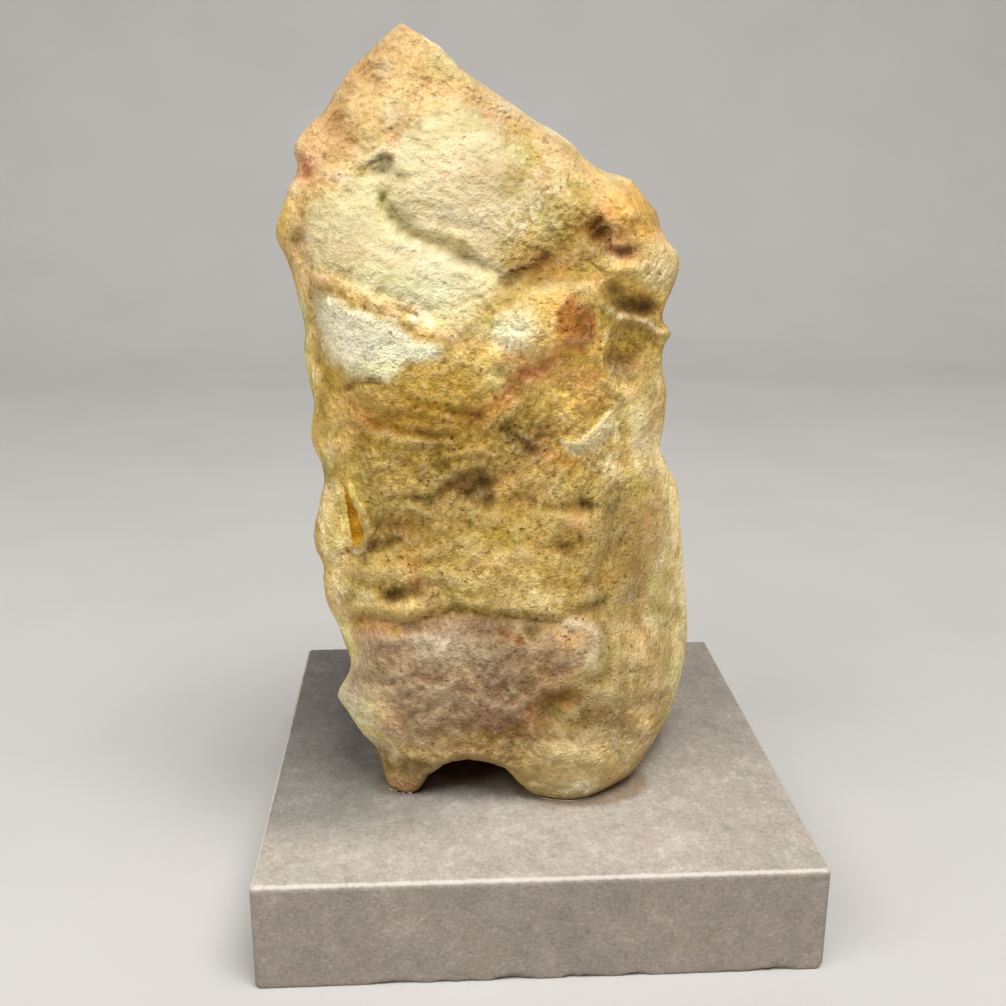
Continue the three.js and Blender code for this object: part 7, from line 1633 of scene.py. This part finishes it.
def block_material():
    g = Graph("honed_taupe_stone")
    arris, chip, low, side = g.channels("brim")
    cloud = g.noise(16, 5, 0.62, 0.3, w=1.0)
    patch = g.noise(4.2, 5, 0.66, 0.4, w=5.0)
    fine = g.noise(1.3, 3, 0.65, w=15.0)
    colour = g.ramp(g.add(g.mul(fine, 0.25), g.mad(patch, 0.40, g.mul(cloud, 0.35))),
                    [(0.34, srgb(142, 135, 126)), (0.45, srgb(163, 155, 145)), (0.54, srgb(175, 166, 156)), (0.64, srgb(197, 188, 178))])
    # the rubbed top is painted darker towards the back and on its right as light falloff, and carries a painted shadow
    # of the specimen on its left
    sep = g.tree.nodes.new("ShaderNodeSeparateXYZ")
    g.put(sep.inputs[0], g.mm)
    wander = g.mul(g.add(cloud, -0.5), 26.0)
    px, py = sep.outputs[0], sep.outputs[1]
    topside = g.step(sep.outputs[2], 19.3, 19.9)
    far = g.step(g.add(g.add(py, g.mul(px, -0.1)), wander), -34.0, 6.0)
    colour = g.mix(g.mul(far, topside), colour, g.mix(1.0, colour, (0.80, 0.80, 0.79, 1), "MULTIPLY"))
    left = g.mul(g.step(g.add(px, g.mul(wander, 0.6)), 2.0, -36.0), g.step(g.add(py, g.mul(wander, 0.4)), -41.0, -24.0))
    colour = g.mix(g.mul(left, topside), colour, g.mix(1.0, colour, (0.54, 0.57, 0.585, 1), "MULTIPLY"))
    right = g.step(g.add(px, wander), 18.0, 42.0)
    colour = g.mix(g.mul(right, topside), colour, g.mix(1.0, colour, (0.87, 0.87, 0.87, 1), "MULTIPLY"))
    # painted shadow, brown, on the top under the arch and round the feet
    for cx, cy, ra, rb, inner, outer, much in ((-12.5, -3.0, 10.5, 15.5, 0.72, 1.08, 0.88), (9.6, -17.6, 13.4, 8.9, 0.90, 1.09, 0.62), (-24.6, -16.6, 5.4, 4.6, 0.80, 1.2, 0.45)):
        dx, dy = g.mul(g.add(px, -cx), 1 / ra), g.mul(g.add(py, -cy), 1 / rb)
        reach = g.math("SQRT", g.add(g.mul(dx, dx), g.mul(dy, dy)))
        colour = g.mix(g.mul(g.mul(g.step(g.add(reach, g.mul(wander, 0.006)), outer, inner), topside), much), colour, g.mix(1.0, colour, (0.50, 0.34, 0.16, 1), "MULTIPLY"))
    cool = g.step(g.noise(10, 4, 0.6, 0.5, w=9.0), 0.50, 0.66)
    colour = g.mix(g.mul(cool, 0.40), colour, g.mix(1.0, colour, (0.90, 0.96, 0.93, 1), "MULTIPLY"))
    warm = g.step(g.noise(8, 4, 0.6, 0.5, w=12.0), 0.52, 0.68)
    colour = g.mix(g.mul(warm, 0.45), colour, g.mix(1.0, colour, (1.02, 0.93, 0.91, 1), "MULTIPLY"))
    speck = g.noise(0.46, 2, 0.6, w=2.0)
    fleck = g.noise(0.70, 3, 0.65, w=7.0)
    colour = g.mix(g.mul(g.step(speck, 0.50, 0.68), 0.55), colour, g.mix(1.0, colour, (0.66, 0.65, 0.64, 1), "MULTIPLY"))
    colour = g.mix(g.mul(g.step(fleck, 0.46, 0.66), 0.9), colour, g.mix(1.0, colour, (1.24, 1.24, 1.24, 1), "MULTIPLY"))
    spot = g.mul(g.step(g.voronoi(6.5, out="Distance"), 0.07, 0.03), g.step(patch, 0.5, 0.6))
    colour = g.mix(g.mul(spot, 0.35), colour, srgb(122, 115, 105))
    # the sawn sides are darker than the rubbed top: partly their finish, partly painted shade
    colour = g.mix(g.mul(side, 0.9), colour, g.mix(1.0, colour, (0.70, 0.665, 0.64, 1), "MULTIPLY"))
    ragged = g.step(g.add(arris, g.mul(g.add(g.noise(0.8, 2, 0.6, w=3.3), -0.5), 0.9)), 0.35, 0.8)
    colour = g.mix(g.mul(ragged, 0.62), colour, srgb(216, 209, 199))
    colour = g.mix(g.mul(chip, 0.55), colour, srgb(120, 108, 97))
    colour = g.mix(g.mul(low, 0.22), colour, srgb(132, 119, 107))
    height = g.add(g.mul(speck, 0.5), g.mul(g.noise(2.4, 3, 0.6, w=6.0), 0.5))
    rough_height = g.noise(0.7, 3, 0.7, w=8.0)
    g.set(Base_Color=colour, Roughness=g.step(fleck, 0.3, 0.7, 0.72, 0.58),
          Normal=g.bump(rough_height, 0.25, 0.5, g.bump(height, 0.05, 0.7)))
    g.shader.inputs["Specular IOR Level"].default_value = 0.25
    return g.material


_v, _f, _brim = make_block()
BLOCK = make_piece("stone_block", _v, _f, block_material(), True, {"brim": _brim})
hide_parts("stone_base")
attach(BLOCK, "root")

# ---------------------------------------------------------------------------
# Clear resin under the feet
# ---------------------------------------------------------------------------
def make_bead(cx, cy, ra, rb, turn, brim, seed):
    """A puddle that follows the foot standing in it: level under the stone, a small
    fillet up against the foot, and a rounded free rim."""
    spokes = 120
    a = np.linspace(0, 2 * math.pi, spokes, endpoint=False)
    e = 1 / np.sqrt((np.cos(a - turn) / ra) ** 2 + (np.sin(a - turn) / rb) ** 2)
    near = P[(P[:, 2] < FOOT_LEVEL + 0.30)]
    d = near[:, :2] - np.array([cx, cy])
    dist, ang = np.hypot(d[:, 0], d[:, 1]), np.arctan2(d[:, 1], d[:, 0]) % (2 * math.pi)
    foot = np.zeros(spokes)
    for k in range(spokes):
        gap = np.abs((ang - a[k] + math.pi) % (2 * math.pi) - math.pi)
        pick = (gap < 0.09) & (dist < 1.25 * e[k])
        foot[k] = dist[pick].max() if pick.any() else 0.5 * e[k]
    for _ in range(3):
        foot = (np.roll(foot, 1) + 2 * foot + np.roll(foot, -1)) / 4
    foot = np.minimum(foot, e)
    rag = fbm(np.stack([np.cos(a) * 2.2, np.sin(a) * 2.2, np.full(spokes, seed * 1.0)], 1), 3, seed)
    out = np.minimum(foot + brim * (1 + 0.7 * rag), e * 1.04)
    prof = [(0.15, 0.095), (0.45, 0.095), (0.75, 0.095), (0.92, 0.095), (0.985, 0.10)]
    verts, faces = [], []
    for t, h in prof:
        verts.append(np.stack([cx + np.cos(a) * foot * t, cy + np.sin(a) * foot * t, np.full(spokes, 20.005 + h)], 1))
    for k in range(1, 9):
        t = math.sin(k / 8 * math.pi / 2)
        h = 0.34 * math.cos(k / 8 * math.pi / 2) + 0.02 * (k < 8)
        r = foot + (out - foot) * t
        z = 20.005 + h * (0.75 + 0.5 * (rag + 0.4))
        verts.append(np.stack([cx + np.cos(a) * r, cy + np.sin(a) * r, np.maximum(z, 20.005)], 1))
    verts.append(np.stack([cx + np.cos(a) * out * 0.9, cy + np.sin(a) * out * 0.9, np.full(spokes, 20.002)], 1))
    n = spokes
    for k in range(len(verts) - 1):
        for i in range(n):
            j = (i + 1) % n
            faces.append((k * n + i, (k + 1) * n + i, (k + 1) * n + j, k * n + j))
    last = (len(verts) - 1) * n
    verts = np.concatenate(verts + [np.array([[cx, cy, 20.10], [cx, cy, 20.002]])])
    for i in range(n):
        j = (i + 1) % n
        faces.append((len(verts) - 2, i, j))
        faces.append((len(verts) - 1, last + j, last + i))
    return verts, faces


def resin_material():
    g = Graph("clear_resin")
    g.set(Base_Color=g.ramp(g.noise(3.0, 3, 0.5, w=2.0), [(0.3, srgb(150, 140, 122)), (0.7, srgb(170, 160, 142))]),
          Roughness=g.step(g.noise(1.5, 2, 0.5, w=5.0), 0.3, 0.7, 0.05, 0.12),
          Normal=g.bump(g.noise(1.6, 2, 0.5, w=7.0), 0.03, 0.3))
    g.shader.inputs["Transmission Weight"].default_value = 0.35
    g.shader.inputs["IOR"].default_value = 1.48
    return g.material


RESIN = resin_material()
for name, node, place in (
        ("resin_left_foot", "glue_left_foot", (-24.6, -16.6, 5.2, 4.6, 0.3, 0.38, 3)),
        ("resin_right_foot", "glue_right_foot", (9.6, -17.6, 12.2, 7.6, 0.12, 0.36, 5)),
        ("resin_back_foot", "glue_back_foot", (-5, 16.6, 8.6, 3.6, 0.0, 0.6, 8))):
    _v, _f = make_bead(*place)
    bead = make_piece(name, _v, _f, RESIN)
    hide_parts(node)
    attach(bead, "root")

# ---------------------------------------------------------------------------
# Floor, light and camera
# ---------------------------------------------------------------------------
def sweep_sheet():
    """A floor that runs up into a backdrop, in one sheet."""
    prof = [(-900, 0), (-300, 0), (0, 0), (300, 0), (520, 0)]
    prof += [(520 + 260 * math.sin(a), 260 - 260 * math.cos(a)) for a in np.radians(np.arange(6, 91, 6))]
    prof += [(780, 700), (780, 1400)]
    xs = np.linspace(-1500, 1500, 13)
    verts = [(x, y, z) for y, z in prof for x in xs]
    n = len(xs)
    faces = [(j * n + i, j * n + i + 1, (j + 1) * n + i + 1, (j + 1) * n + i)
             for j in range(len(prof) - 1) for i in range(n - 1)]
    g = Graph("floor_paper")
    tone = g.noise(60, 4, 0.5, w=3.0)
    g.set(Base_Color=g.ramp(tone, [(0.3, srgb(186, 184, 181)), (0.7, srgb(191, 189, 186))]), Roughness=0.85,
          Normal=g.bump(g.noise(1.6, 3, 0.6, w=4.0), 0.05))
    return make_piece("floor_sweep", verts, faces, g.material)


SWEEP = sweep_sheet()


def lamp(name, kind, place, aim, power, size=None, colour=(1, 1, 1)):
    data = bpy.data.lights.new(name, kind)
    data.energy = power
    data.color = colour
    if kind == "AREA":
        data.shape = "RECTANGLE"
        data.size, data.size_y = size[0] * MM, size[1] * MM
    obj = bpy.data.objects.new(name, data)
    obj.location = [c * MM for c in place]
    way = mathutils.Vector([(a - b) for a, b in zip(aim, place)])
    obj.rotation_euler = way.to_track_quat("-Z", "Y").to_euler()
    bpy.context.collection.objects.link(obj)
    return obj


lamp("key", "AREA", (208, -432, 1050), (0, 0, 60), 14.8, (690, 545), (1.0, 0.985, 0.955))
lamp("fill", "AREA", (-540, -495, 740), (0, 0, 80), 4.95, (630, 480), (1.0, 0.995, 0.98))

world = bpy.data.worlds.new("studio")
world.use_nodes = True
world.node_tree.nodes["Background"].inputs[0].default_value = (0.93, 0.95, 1.0, 1)
world.node_tree.nodes["Background"].inputs[1].default_value = 0.13
bpy.context.scene.world = world

cam = bpy.data.cameras.new("camera")
cam.sensor_width = 36.0
cam.sensor_fit = "HORIZONTAL"
cam.lens = FOCAL / 1006 * 36.0
cam.clip_start, cam.clip_end = 0.01, 20.0
cam_obj = bpy.data.objects.new("camera", cam)
turn = mathutils.Matrix((AIM_RIGHT, AIM_UP, -AIM_FWD)).transposed()
cam_obj.matrix_world = mathutils.Matrix.Translation(mathutils.Vector(EYE * MM)) @ turn.to_4x4()
bpy.context.collection.objects.link(cam_obj)
bpy.context.scene.camera = cam_obj

scene = bpy.context.scene
scene.view_settings.view_transform = "Standard"
scene.view_settings.look = "None"
scene.view_settings.exposure = 0.0
scene.view_settings.gamma = 1.0
